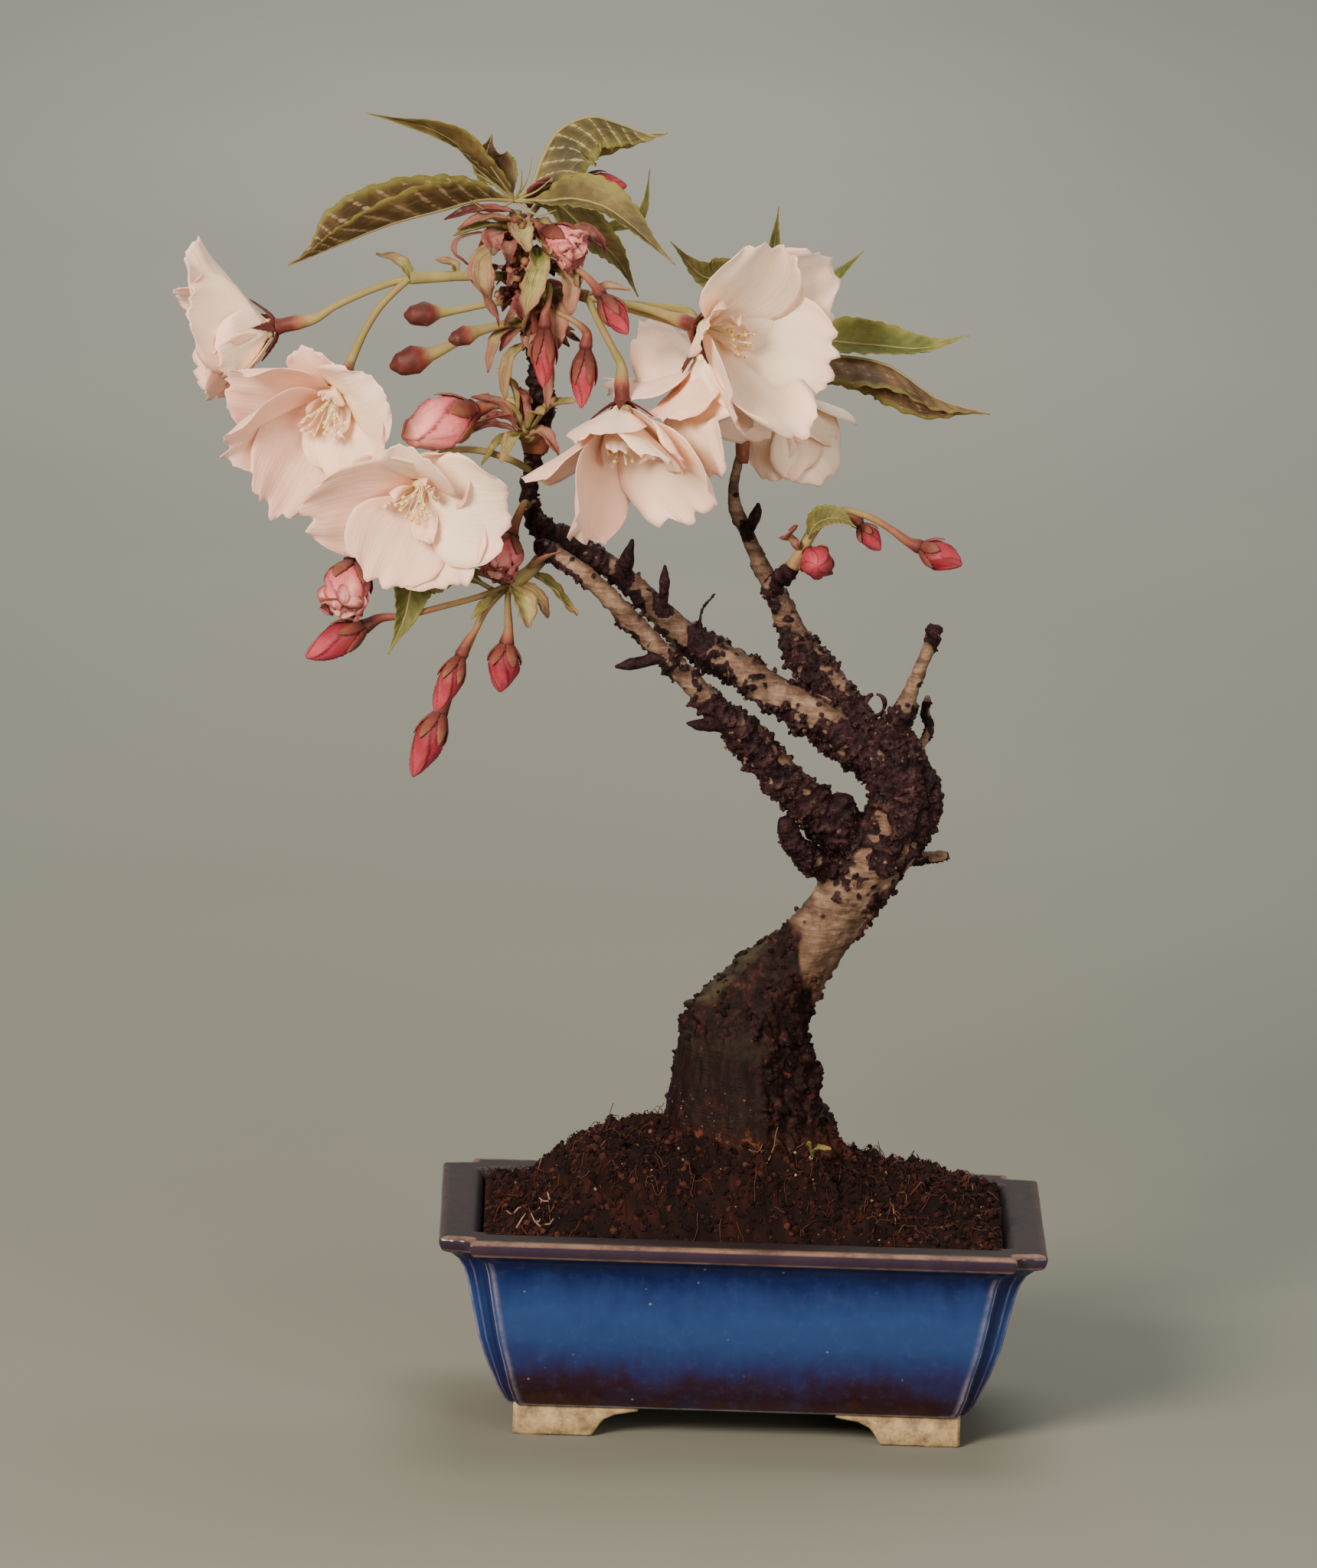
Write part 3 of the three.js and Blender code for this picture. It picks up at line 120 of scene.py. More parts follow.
def cells(points, size, seed=0):
    """Distance to the nearest scattered seed point, in cell sizes, and that seed's own number."""
    p = np.asarray(points, float) / size
    base = np.floor(p).astype(np.int64)
    best = np.full(p.shape[:-1], 9.0)
    name = np.zeros(p.shape[:-1])
    for k in range(27):
        cell = base + np.array([k % 3 - 1, k // 3 % 3 - 1, k // 9 - 1])
        spot = np.stack([lattice(cell, seed + i) for i in (1, 2, 3)], axis=-1)
        distance = np.linalg.norm(cell + spot - p, axis=-1)
        nearer = distance < best
        best = np.where(nearer, distance, best)
        name = np.where(nearer, lattice(cell, seed + 4), name)
    return best, name


# ---------------------------------------------------------------- curves and shapes
def spline(points, per):
    """Points along a centripetal spline through the given ones, and each one's place in the list."""
    p = np.array(points, float)[:, :3]
    n = len(p)
    where = np.linspace(0, n - 1, (n - 1) * per + 1)
    out = []
    for w in where:
        i = min(n - 2, int(w))
        t = w - i
        a = p[i - 1] if i > 0 else 2 * p[0] - p[1]
        b, c = p[i], p[i + 1]
        d = p[i + 2] if i + 2 < n else 2 * p[-1] - p[-2]
        gaps = [max(1e-4, np.linalg.norm(q - r) ** 0.5) for q, r in ((b, a), (c, b), (d, c))]
        m1 = ((b - a) / gaps[0] - (c - a) / (gaps[0] + gaps[1]) + (c - b) / gaps[1]) * gaps[1]
        m2 = ((c - b) / gaps[1] - (d - b) / (gaps[1] + gaps[2]) + (d - c) / gaps[2]) * gaps[1]
        out.append(b + m1 * t + (3 * (c - b) - 2 * m1 - m2) * t * t + (2 * (b - c) + m1 + m2) * t ** 3)
    return np.array(out), where


def frames(path):
    """Tangents and two sideways directions along a path that don't spin."""
    tangent = np.gradient(path, axis=0)
    tangent /= np.linalg.norm(tangent, axis=1)[:, None]
    across = np.array([0, -1, 0.01])
    sides, ups = [], []
    for t in tangent:
        across = unit(across - t * np.dot(across, t))
        sides.append(across)
        ups.append(np.cross(t, across))
    return tangent, np.array(sides), np.array(ups)


def circles(path, sides):
    """Round each point of a path, a ring of directions square to it."""
    _, across, up = frames(path)
    turn = np.arange(sides) / sides * TAU
    return np.cos(turn)[None, :, None] * across[:, None] + np.sin(turn)[None, :, None] * up[:, None]


def square_to(axis, hint):
    """Two directions square to an axis and to each other; the first is square to the hint too."""
    across = unit(np.cross(hint, axis))
    return across, np.cross(axis, across)


def spoke(across, up, turn):
    """The direction at an angle, measured from across towards up."""
    return across * math.cos(turn) + up * math.sin(turn)


def sheet_places(rows, columns):
    """How far along a sheet, 0 to 1, and across it, -1 to 1, each point of its grid is."""
    return np.meshgrid(np.linspace(0, 1, rows), np.linspace(-1, 1, columns), indexing="ij")


class Shape:
    """Vertices, faces and a four-number tint for each vertex, gathered for one object."""

    def __init__(self):
        self.points, self.faces, self.tints, self.count = [], [], [], 0

    def add(self, points, tint, *face_lists):
        """Points with one tint or one each, and lists of faces that count from the first of them."""
        points = np.asarray(points, float).reshape(-1, 3)
        tint = np.asarray(tint, float).reshape(-1, 4)
        self.points.append(points)
        self.tints.append(np.broadcast_to(tint, (len(points), 4)))
        for faces in face_lists:
            self.faces += (np.asarray(faces) + self.count).tolist()
        self.count += len(points)


def grid_faces(rows, columns, closed=False, flip=False, start=0):
    """Quads over a grid of points; closed joins its last column to its first."""
    i, j = np.meshgrid(np.arange(rows - 1), np.arange(columns if closed else columns - 1), indexing="ij")
    k = (j + 1) % columns
    quads = np.stack([i * columns + j, i * columns + k, (i + 1) * columns + k, (i + 1) * columns + j], -1)
    quads = quads.reshape(-1, 4) + start
    return quads[:, ::-1] if flip else quads


def add_rings(shape, rings, tint):
    """A closed tube over rings of points. Its tint is one row, one for each ring or one for each point."""
    count, sides = rings.shape[:2]
    tint = np.asarray(tint, float)
    tints = np.broadcast_to(tint[:, None] if tint.ndim == 2 else tint, (count, sides, 4))
    points = np.concatenate([rings.reshape(-1, 3), [rings[0].mean(0)], [rings[-1].mean(0)]])
    tints = np.concatenate([tints.reshape(-1, 4), [tints[0, 0]], [tints[-1, 0]]])
    hub = np.full(sides, count * sides)
    here = np.arange(sides)
    after, last = (here + 1) % sides, (count - 1) * sides
    ends = [np.stack([hub, after, here], -1), np.stack([hub + 1, last + here, last + after], -1)]
    shape.add(points, tints, grid_faces(count, sides, closed=True), *ends)


def add_tube(shape, path, radii, sides, tint):
    """A closed tube along a path, with a radius for each of its points or for every place round each."""
    radii = np.asarray(radii, float).reshape(len(path), -1, 1)
    add_rings(shape, path[:, None] + circles(path, sides) * radii, tint)


def add_sheet(shape, grid, thickness, u, v, number, mark=None):
    """A thin closed sheet over a grid of points. Its tint is u, v, number and mark, or which face it is."""
    rows, columns = grid.shape[:2]
    normal = np.cross(np.gradient(grid, axis=0), np.gradient(grid, axis=1))
    normal = normal / np.maximum(np.linalg.norm(normal, axis=2, keepdims=True), 1e-9)
    edge = np.minimum(np.minimum(u, 1.001 - u) * 8, (1.001 - np.abs(v)) * 3)
    half = thickness / 2 * np.clip(edge, 0.25, 1)[..., None]
    start = rows * columns
    border = list(range(columns))
    border += [i * columns + columns - 1 for i in range(1, rows)]
    border += [(rows - 1) * columns + j for j in range(columns - 2, -1, -1)]
    border += [i * columns for i in range(rows - 2, 0, -1)]
    rim = [[b, a, a + start, b + start] for a, b in zip(border, border[1:] + border[:1])]
    one = np.ones_like(u)
    tints = [np.stack([u, v * 0.5 + 0.5, one * number, one * side if mark is None else mark], -1)
             for side in (1, 0)]
    shape.add([grid + normal * half, grid - normal * half], tints, grid_faces(rows, columns),
              grid_faces(rows, columns, flip=True, start=start), rim)


def first_only(shade):
    """Tints with the shade as their first number and zeros after it."""
    zero = np.zeros_like(shade)
    return np.stack([shade, zero, zero, zero], -1)


def in_turn(rows):
    """-1 and 1 in turn, one for each row of a sheet: the teeth of its edge."""
    return np.where(np.arange(rows) % 2, 1, -1)[:, None]


def ball():
    """Corners and faces of a twenty-sided ball."""
    g = (1 + 5 ** 0.5) / 2
    corners = np.array([[-1, g, 0], [1, g, 0], [-1, -g, 0], [1, -g, 0], [0, -1, g], [0, 1, g], [0, -1, -g],
                        [0, 1, -g], [g, 0, -1], [g, 0, 1], [-g, 0, -1], [-g, 0, 1]], float)
    faces = [[0, 11, 5], [0, 5, 1], [0, 1, 7], [0, 7, 10], [0, 10, 11], [1, 5, 9], [5, 11, 4],
             [11, 10, 2], [10, 7, 6], [7, 1, 8], [3, 9, 4], [3, 4, 2], [3, 2, 6], [3, 6, 8], [3, 8, 9],
             [4, 9, 5], [2, 4, 11], [6, 2, 10], [8, 6, 7], [9, 8, 1]]
    return corners / np.linalg.norm(corners[0]), np.array(faces)


BALL, BALL_FACES = ball()


def add_crumbs(shape, places, sizes, tints, rng, flat=0.75):
    """Small uneven lumps, one at each place."""
    count = len(places)
    lumps = BALL[None] * (0.72 + 0.5 * rng.random((count, len(BALL), 1)))
    lumps = lumps * (1 - (1 - flat) * rng.random((count, 1, 3)))
    turn = rng.random((count, 3)) * TAU
    cx, sx, cz, sz = np.cos(turn[:, 0]), np.sin(turn[:, 0]), np.cos(turn[:, 2]), np.sin(turn[:, 2])
    x, y, z = lumps[..., 0], lumps[..., 1], lumps[..., 2]
    y, z = y * cx[:, None] - z * sx[:, None], y * sx[:, None] + z * cx[:, None]
    x, y = x * cz[:, None] - y * sz[:, None], x * sz[:, None] + y * cz[:, None]
    points = np.stack([x, y, z], -1) * np.asarray(sizes)[:, None, None] + np.asarray(places)[:, None]
    faces = BALL_FACES[None] + (np.arange(count) * len(BALL))[:, None, None]
    shape.add(points, np.repeat(np.asarray(tints), len(BALL), axis=0), faces.reshape(-1, 3))


def new_object(name, data):
    """An object in the scene."""
    made = bpy.data.objects.new(name, data)
    bpy.context.scene.collection.objects.link(made)
    return made


def make_object(name, shape, material, node=None, smooth=True):
    """A piece of the part, kept inside the box of the solids; it stands for a node if one is named."""
    points = np.clip(np.concatenate(shape.points) * MM + POT_MIDDLE, cad_box[0], cad_box[1])
    mesh = bpy.data.meshes.new(name)
    mesh.from_pydata(points.tolist(), [], shape.faces)
    tint = mesh.attributes.new("tint", "FLOAT_COLOR", "POINT")
    tint.data.foreach_set("color", np.concatenate(shape.tints).astype(np.float32).ravel())
    mesh.polygons.foreach_set("use_smooth", [smooth] * len(mesh.polygons))
    mesh.materials.append(material)
    mesh.update()
    piece = new_object(name, mesh)
    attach(piece, "root")
    if node:
        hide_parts(node)


# ---------------------------------------------------------------- materials
def colour(code):
    """A colour given as six hexadecimal digits, in Blender's linear numbers."""
    parts = [int(code[i:i + 2], 16) / 255 for i in (0, 2, 4)]
    return [p / 12.92 if p < 0.04045 else ((p + 0.055) / 1.055) ** 2.4 for p in parts] + [1]


class Finish:
    """A material with short ways to add its nodes."""

    def __init__(self, name, **sockets):
        self.material = bpy.data.materials.new(name)
        self.material.use_nodes = True
        self.tree = self.material.node_tree
        self.shader = self.tree.nodes["Principled BSDF"]
        for socket, value in sockets.items():
            self.shader.inputs[socket.replace("_", " ")].default_value = value
        self.place = self.tree.nodes.new("ShaderNodeTexCoord").outputs["Object"]
        tint = self.tree.nodes.new("ShaderNodeAttribute")
        tint.attribute_name = "tint"
        split = self.add("ShaderNodeSeparateColor", tint.outputs["Color"])
        self.u, self.v, self.number = split.outputs
        self.mark = tint.outputs["Alpha"]

    def add(self, kind, *inputs, **settings):
        """A new node, with values or links for its first inputs and with settings."""
        node = self.tree.nodes.new(kind)
        for key, value in settings.items():
            setattr(node, key, value)
        for socket, value in zip(node.inputs, inputs):
            self.put(socket, value)
        return node

    def put(self, socket, value):
        """Link an output to a socket, or set the socket's value."""
        if isinstance(value, bpy.types.NodeSocket):
            self.tree.links.new(value, socket)
        elif value is not None:
            socket.default_value = value

    def maths(self, operation, *inputs):
        return self.add("ShaderNodeMath", *inputs, operation=operation).outputs[0]

    def times(self, a, b):
        return self.maths("MULTIPLY", a, b)

    def plus(self, a, b):
        return self.maths("ADD", a, b)

    def less(self, a, b):
        return self.maths("SUBTRACT", a, b)

    def swing(self, value, reach):
        """A value from 0 to 1 as one from minus half the reach to plus half of it."""
        return self.times(self.less(value, 0.5), reach)

    def off_middle(self):
        """How far a place on a sheet is from its midline."""
        return self.maths("ABSOLUTE", self.less(self.v, 0.5))

    def level(self, letter):
        """A place's coordinate along X, Y or Z, in metres."""
        return self.add("ShaderNodeSeparateXYZ", self.place).outputs[letter]

    def height(self):
        """Metres above what the pot stands on."""
        return self.less(self.level("Z"), float(POT_MIDDLE[2]))

    def noise(self, scale, detail=3, rough=0.5, vector=None):
        """Noise from 0 to 1, over the object's own places if no others are given."""
        node = self.add("ShaderNodeTexNoise")
        self.put(node.inputs["Vector"], self.place if vector is None else vector)
        for socket, value in (("Scale", scale), ("Detail", detail), ("Roughness", rough)):
            node.inputs[socket].default_value = value
        return node.outputs["Fac"]

    def streaks(self, x, y, z=None, detail=3):
        """Noise over a sheet's own places, drawn out into lines."""
        spot = self.add("ShaderNodeCombineXYZ", x, y, self.number if z is None else z)
        return self.noise(1, detail, 0.6, spot.outputs[0])

    def spots(self, scale):
        """Distance to the nearest of many scattered spots."""
        node = self.add("ShaderNodeTexVoronoi")
        self.put(node.inputs["Vector"], self.place)
        node.inputs["Scale"].default_value = scale
        return node.outputs["Distance"]

    def stretched(self, x, y, z):
        """The object's places scaled by these numbers."""
        node = self.add("ShaderNodeMapping")
        self.put(node.inputs["Vector"], self.place)
        node.inputs["Scale"].default_value = (x, y, z)
        return node.outputs["Vector"]

    def ramp(self, value, stops):
        """A colour from stops, each a position and six digits."""
        node = self.add("ShaderNodeValToRGB", value)
        elements = node.color_ramp.elements
        while len(elements) < len(stops):
            elements.new(0.5)
        for element, (position, shade) in zip(elements, stops):
            element.position = position
            element.color = colour(shade)
        return node.outputs["Color"]

    def fit(self, value, low, high):
        """value from low to high becomes 0 to 1."""
        node = self.add("ShaderNodeMapRange", value, low, high, 0.0, 1.0, interpolation_type="SMOOTHSTEP")
        return node.outputs[0]

    def mix(self, factor, a, b):
        """A colour that goes from a to b."""
        node = self.add("ShaderNodeMix", data_type="RGBA")
        sockets = [s for s in node.inputs if s.enabled]
        for socket, value in zip(sockets, (factor, a, b)):
            self.put(socket, colour(value) if isinstance(value, str) else value)
        return [s for s in node.outputs if s.enabled][0]

    def stain(self, base, shade, share, value, low, high):
        """The base with up to this share of the shade where the value goes from low to high."""
        return self.mix(self.times(self.fit(value, low, high), share), base, shade)

    def finish(self, base, rough=None, height=None, distance=0.0002, strength=0.6):
        """The material with this colour, roughness and relief."""
        self.put(self.shader.inputs["Base Color"], base)
        if rough is not None:
            self.put(self.shader.inputs["Roughness"], rough)
        if height is not None:
            bump = self.add("ShaderNodeBump")
            bump.inputs["Strength"].default_value = strength
            bump.inputs["Distance"].default_value = distance
            self.put(bump.inputs["Height"], height)
            self.put(self.shader.inputs["Normal"], bump.outputs["Normal"])
        return self.material


def glaze_finish():
    """Blue glaze: plum at the foot, mottled blue, navy under the rim, brown where it ran thin at edges.

    Tint: worn edge with painted highlights on the corner ridges, bare clay, the rim's top, and painted
    shade in the grooves at the corners."""
    f = Finish("glaze", Coat_Weight=0.1, Coat_Roughness=0.2, Specular_IOR_Level=0.28)
    height = f.height()
    # the colour goes by height, with edges that run, and is mottled, flecked and pinholed
    drips = f.noise(1, 3, 0.6, f.stretched(230, 230, 30))
    sway = f.times(f.plus(f.times(f.noise(36, 3, 0.6), 0.7), drips), 0.0072)
    level = f.maths("DIVIDE", f.less(f.plus(height, sway), 0.0068), 0.042)
    body = f.ramp(level, [(0.16, "2c1512"), (0.2, "200d12"), (0.28, "241224"), (0.37, "202450"),
                          (0.47, "203664"), (0.62, "223a6a"), (0.73, "182c5c"), (0.82, "071544"),
                          (0.9, "040e3b"), (0.96, "120e26")])
    mottle = f.noise(520, 4, 0.6)
    cloudy = f.noise(70, 4, 0.6)
    fleck = f.times(f.fit(mottle, 0.5, 0.8), 0.17)
    body = f.mix(fleck, body, f.mix(0.4, body, "5f7396"))
    body = f.stain(body, "152a5c", 0.4, cloudy, 0.46, 0.75)
    specks = f.times(f.fit(f.spots(300), 0.11, 0.05), f.fit(f.noise(210, 1), 0.58, 0.66))
    body = f.mix(f.times(specks, 0.45), body, "8b979f")
    pin = f.times(f.fit(f.spots(190), 0.06, 0.03), f.fit(f.noise(90, 1), 0.58, 0.62))
    body = f.mix(pin, body, "0d0b14")
    # the rim, its top, and painted shade in the grooves at the corners
    band = f.mix(f.noise(160, 4, 0.6), "1c1426", "382a38")
    body = f.mix(f.fit(height, 0.0385, 0.0393), body, band)
    top = f.mix(f.noise(140, 4, 0.65), "0f070a", "211216")
    body = f.mix(f.number, body, top)
    # painted shade darkens the grooves at the corners
    body = f.mix(f.times(f.mark, 0.8), body, "0b1440")
    # edges where the glaze wore or ran thin, painted highlights on the ridges of the body's corners, and
    # bare clay underneath
    patchy = f.fit(f.noise(170, 4, 0.7), 0.34, 0.6)
    worn = f.times(f.fit(f.u, 0.3, 0.9), f.plus(f.times(patchy, 0.5), 0.3))
    below_rim = f.fit(height, 0.0386, 0.037)
    grit = f.noise(240, 3)
    # below the rim the edges go pale blue-grey: wear along the bottom edge, painted highlight on the corner
    # ridges
    rim_edge, lower_wear_and_highlight = f.mix(grit, "5d4033", "92725d"), f.mix(grit, "4a475f", "9792a0")
    body = f.mix(worn, body, f.mix(below_rim, rim_edge, lower_wear_and_highlight))
    clay = f.mix(f.fit(f.noise(260, 5, 0.7), 0.3, 0.7), "64503a", "a8916a")
    base = f.mix(f.v, body, clay)
    rough = f.plus(f.times(f.v, 0.5), f.plus(f.times(mottle, 0.2), 0.12))
    rough = f.plus(rough, f.times(f.number, 0.55))
    pits = f.plus(f.times(f.noise(600, 4, 0.6), 0.5), f.times(cloudy, 0.8))
    return f.finish(base, rough, pits, 0.0002, 0.35)


def soil_finish():
    """Crumbs of peat and clay: mostly near black, some rust and tan. The tint's first number picks one."""
    f = Finish("soil", Specular_IOR_Level=0.15)
    grain = f.noise(1500, 4, 0.7)
    base = f.ramp(f.u, [(0, "0a0404"), (0.3, "190a08"), (0.5, "2d130e"), (0.7, "44221a"), (0.84, "613a2b"),
                        (0.94, "8f6e52"), (1, "ab8478")])
    base = f.mix(f.times(grain, 0.55), base, "100706")
    return f.finish(base, 0.95, grain, 0.0003, 0.9)


def bark_finish():
    """Cherry bark. Tint: how warty, how corky, how mossy, and on cork how calm; elsewhere painted flank
    shade and wart tops paler from wear and painted highlight.
    """
    f = Finish("bark", Specular_IOR_Level=0.1)
    height_above = f.height()
    # smooth bark has level rings, warty bark is near black between its warts, calm cork has upright grain
    rings = f.noise(1, 5, 0.7, f.stretched(170, 170, 1000))
    patch = f.noise(260, 5, 0.65)
    fine = f.noise(1500, 4, 0.7)
    grain = f.noise(1, 4, 0.65, f.stretched(900, 900, 160))
    smooth = f.ramp(f.plus(f.times(rings, 0.5), f.times(patch, 0.55)),
                    [(0.3, "291b17"), (0.41, "443229"), (0.5, "604a3d"), (0.6, "7d6755"), (0.74, "9b8872")])
    wart = f.ramp(f.plus(f.times(patch, 0.7), f.times(fine, 0.3)),
                  [(0.34, "0a0406"), (0.48, "170a0e"), (0.58, "271319"), (0.67, "40272b"),
                   (0.78, "6d524b")])
    # the tops of warts and some crust flakes are paler: partly wear, partly painted highlight
    wart = f.mix(f.times(f.times(f.mark, f.fit(fine, 0.4, 0.6)), 0.8), wart, "553a35")
    cork = f.ramp(f.noise(480, 5, 0.7),
                  [(0.32, "080304"), (0.5, "180a09"), (0.64, "311815"), (0.8, "644036")])
    calm = f.ramp(grain, [(0.3, "0b0504"), (0.5, "160908"), (0.7, "24110e")])
    edge = f.fit(f.plus(f.u, f.swing(fine, 0.7)), 0.32, 0.6)
    # painted shade: bare bark is darker on the flanks of the limbs
    shaded = f.times(f.mark, f.fit(patch, 0.2, 0.6))
    smooth = f.mix(f.times(shaded, 0.8), smooth, "35231c")
    base = f.mix(edge, smooth, wart)
    browner = f.fit(f.plus(height_above, f.times(patch, 0.012)), 0.112, 0.092)
    base = f.mix(f.times(browner, 0.5), base, f.mix(rings, "38241c", "6b4d3a"))
    base = f.mix(f.times(f.fit(f.v, 0.0, 0.5), 0.8), base, f.mix(fine, "2e1a15", "6b4b3a"))
    cork = f.mix(f.mark, cork, calm)
    base = f.mix(f.fit(f.v, 0.3, 0.75), base, cork)
    olive = f.mix(f.noise(800, 3), "1f1912", "4f4734")
    base = f.mix(f.times(f.number, f.fit(patch, 0.3, 0.55)), base, olive)
    rust = f.times(f.v, f.fit(f.noise(230, 4, 0.65), 0.62, 0.7))
    base = f.mix(f.times(rust, 0.5), base, "6f3522")
    # the trunk's foot is darker and rusty from the soil
    foot = f.times(f.fit(f.plus(height_above, f.times(patch, 0.006)), 0.066, 0.057), 0.4)
    base = f.mix(foot, base, f.mix(fine, "1e0b07", "56291a"))
    low = f.fit(f.plus(height_above, f.times(patch, 0.012)), 0.077, 0.062)
    rusty = f.times(f.times(low, f.fit(f.noise(260, 5, 0.7), 0.56, 0.66)), 0.6)
    base = f.mix(rusty, base, f.mix(fine, "5a2818", "8b5238"))
    height = f.plus(f.times(fine, 0.6), f.times(rings, 0.5))
    return f.finish(base, f.fit(patch, -0.6, 1.4), height, 0.0005, 0.8)


def petal_finish():
    """Tint: along the petal, across it, a number for each petal, and which face."""
    f = Finish("petal", Subsurface_Weight=0.25, Subsurface_Scale=0.004, Roughness=0.6,
               Specular_IOR_Level=0.3)
    f.shader.inputs["Subsurface Radius"].default_value = (1, 0.6, 0.5)
    side = f.off_middle()
    veins = f.streaks(f.times(f.v, 34.0), f.times(f.u, 1.6), f.times(f.number, 9.0))
    cloud = f.noise(95, 3, 0.5)
    base = f.ramp(f.u, [(0, "f2dba0"), (0.12, "ffe9bf"), (0.45, "ffedcb"), (0.8, "ffe6c6"), (1, "ffd6bc")])
    blush = f.times(f.fit(f.plus(side, f.times(cloud, 0.3)), 0.38, 0.75), f.u)
    base = f.mix(f.times(blush, 0.6), base, "fbc0ac")
    # petals with a higher number are pinker and darker; on the outer petals this is partly painted shade on
    # those pointing left and down
    base = f.mix(f.times(f.number, 0.62), base, "f3b19d")
    base = f.mix(f.times(f.less(1.0, f.mark), 0.3), base, "fcc4b2")
    base = f.stain(base, "f3b4a4", 0.16, veins, 0.5, 0.72)
    base = f.stain(base, "fac7b4", 0.32, cloud, 0.48, 0.75)
    return f.finish(base, None, veins, 0.0003, 0.45)


def bud_finish(name, tip, middle, base_shade, edge):
    """Rolled petals of a bud: darker along their overlapping edges."""
    f = Finish(name, Subsurface_Weight=0.12, Subsurface_Scale=0.003, Roughness=0.55, Specular_IOR_Level=0.3)
    streaks = f.streaks(f.times(f.v, 22.0), f.times(f.u, 2.0), detail=4)
    cloud = f.noise(420, 4, 0.6)
    base = f.ramp(f.plus(f.u, f.swing(cloud, 0.5)),
                  [(0, base_shade), (0.5, middle), (1, tip)])
    base = f.mix(f.times(f.mark, 0.85), base, edge)
    base = f.mix(f.times(f.fit(streaks, 0.48, 0.75), 0.5), base, base_shade)
    base = f.mix(f.times(f.fit(cloud, 0.58, 0.75), 0.4), base, tip)
    return f.finish(base, None, f.plus(streaks, f.times(cloud, 0.4)), 0.0004, 0.6)


def growth_finish():
    """Young stalks, calyces and sepals: the tint's last number goes from green to red-brown."""
    f = Finish("growth", Subsurface_Weight=0.08, Subsurface_Scale=0.002, Roughness=0.6,
               Specular_IOR_Level=0.25)
    patch = f.noise(360, 4, 0.6)
    lines = f.streaks(f.times(f.v, 26.0), f.times(f.u, 1.5))
    shift = f.plus(f.mark, f.swing(patch, 0.4))
    base = f.ramp(shift, [(0, "5f7038"), (0.2, "7f7c46"), (0.38, "8a764c"), (0.55, "83583e"),
                          (0.7, "6c322a"), (0.86, "481b19"), (1, "260f10")])
    base = f.stain(base, "48241b", 0.45, lines, 0.48, 0.72)
    base = f.stain(base, "a58e68", 0.3, patch, 0.55, 0.8)
    return f.finish(base, None, lines, 0.0004, 0.6)


def scale_finish():
    """Bud scales and bracts. Tint: along, across, and how far from green through pink to red-brown."""
    f = Finish("scale", Subsurface_Weight=0.1, Subsurface_Scale=0.002, Roughness=0.65,
               Specular_IOR_Level=0.2)
    lines = f.streaks(f.times(f.v, 30.0), f.times(f.u, 1.2))
    patch = f.noise(380, 4, 0.6)
    side = f.off_middle()
    shift = f.plus(f.number, f.swing(patch, 0.7))
    shift = f.plus(shift, f.swing(f.u, 0.35))
    base = f.ramp(shift, [(0, "566a30"), (0.16, "77783f"), (0.34, "9a8f5e"), (0.5, "8f7456"),
                          (0.64, "96655a"), (0.78, "7a443d"), (0.9, "4f2224"), (1, "2b1113")])
    rim = f.times(f.fit(f.plus(side, f.times(patch, 0.2)), 0.42, 0.6), 0.6)
    base = f.mix(rim, base, "8a4340")
    base = f.stain(base, "b3a27c", 0.4, patch, 0.5, 0.7)
    base = f.stain(base, "4a211c", 0.6, lines, 0.46, 0.7)
    return f.finish(base, None, lines, 0.0005, 0.7)


def leaf_finish():
    """Tint: along, across, greenness, and how strongly its side veins and the painted shade between them
    show.
    """
    f = Finish("leaf", Subsurface_Weight=0.06, Subsurface_Scale=0.002, Specular_IOR_Level=0.16)
    side = f.off_middle()
    slant = f.times(f.times(side, 2 * VEIN_SLANT), f.less(1.0, f.times(f.u, 0.3)))
    wave = f.maths("SINE", f.times(f.less(f.times(f.u, VEINS), slant), TAU))
    pleats = f.plus(f.times(f.times(wave, 0.5), f.mark), 0.5)
    patch = f.noise(110, 4, 0.6)
    fine = f.noise(1500, 3, 0.7)
    green = f.ramp(patch, [(0.3, "36401c"), (0.5, "55592a"), (0.72, "7c7645")])
    bronze = f.ramp(patch, [(0.3, "352318"), (0.5, "553d29"), (0.72, "7d6747")])
    base = f.mix(f.number, bronze, green)
    # painted shade in the troughs of the pleats between the side veins
    base = f.mix(f.times(f.fit(pleats, 0.5, 0.1), 0.5), base, f.mix(f.number, "38201a", "313a15"))
    streaks = f.streaks(f.times(f.u, 5.0), f.times(f.v, 26.0))
    base = f.stain(base, "8a8054", 0.22, streaks, 0.5, 0.7)
    broken = f.plus(pleats, f.swing(streaks, 0.7))
    vein = f.times(f.fit(broken, 0.8, 0.96), f.fit(side, 0.5, 0.4))
    base = f.mix(f.times(vein, 0.6), base, f.mix(f.number, "a98a70", "a9a07a"))
    margin = f.fit(f.plus(side, f.swing(patch, 0.25)), 0.36, 0.46)
    base = f.mix(f.times(margin, 0.5), base, "6f7034")
    base = f.stain(base, "94885a", 0.7, side, 0.022, 0.005)
    return f.finish(base, f.plus(0.5, f.times(patch, 0.25)), fine, 0.00012, 0.4)


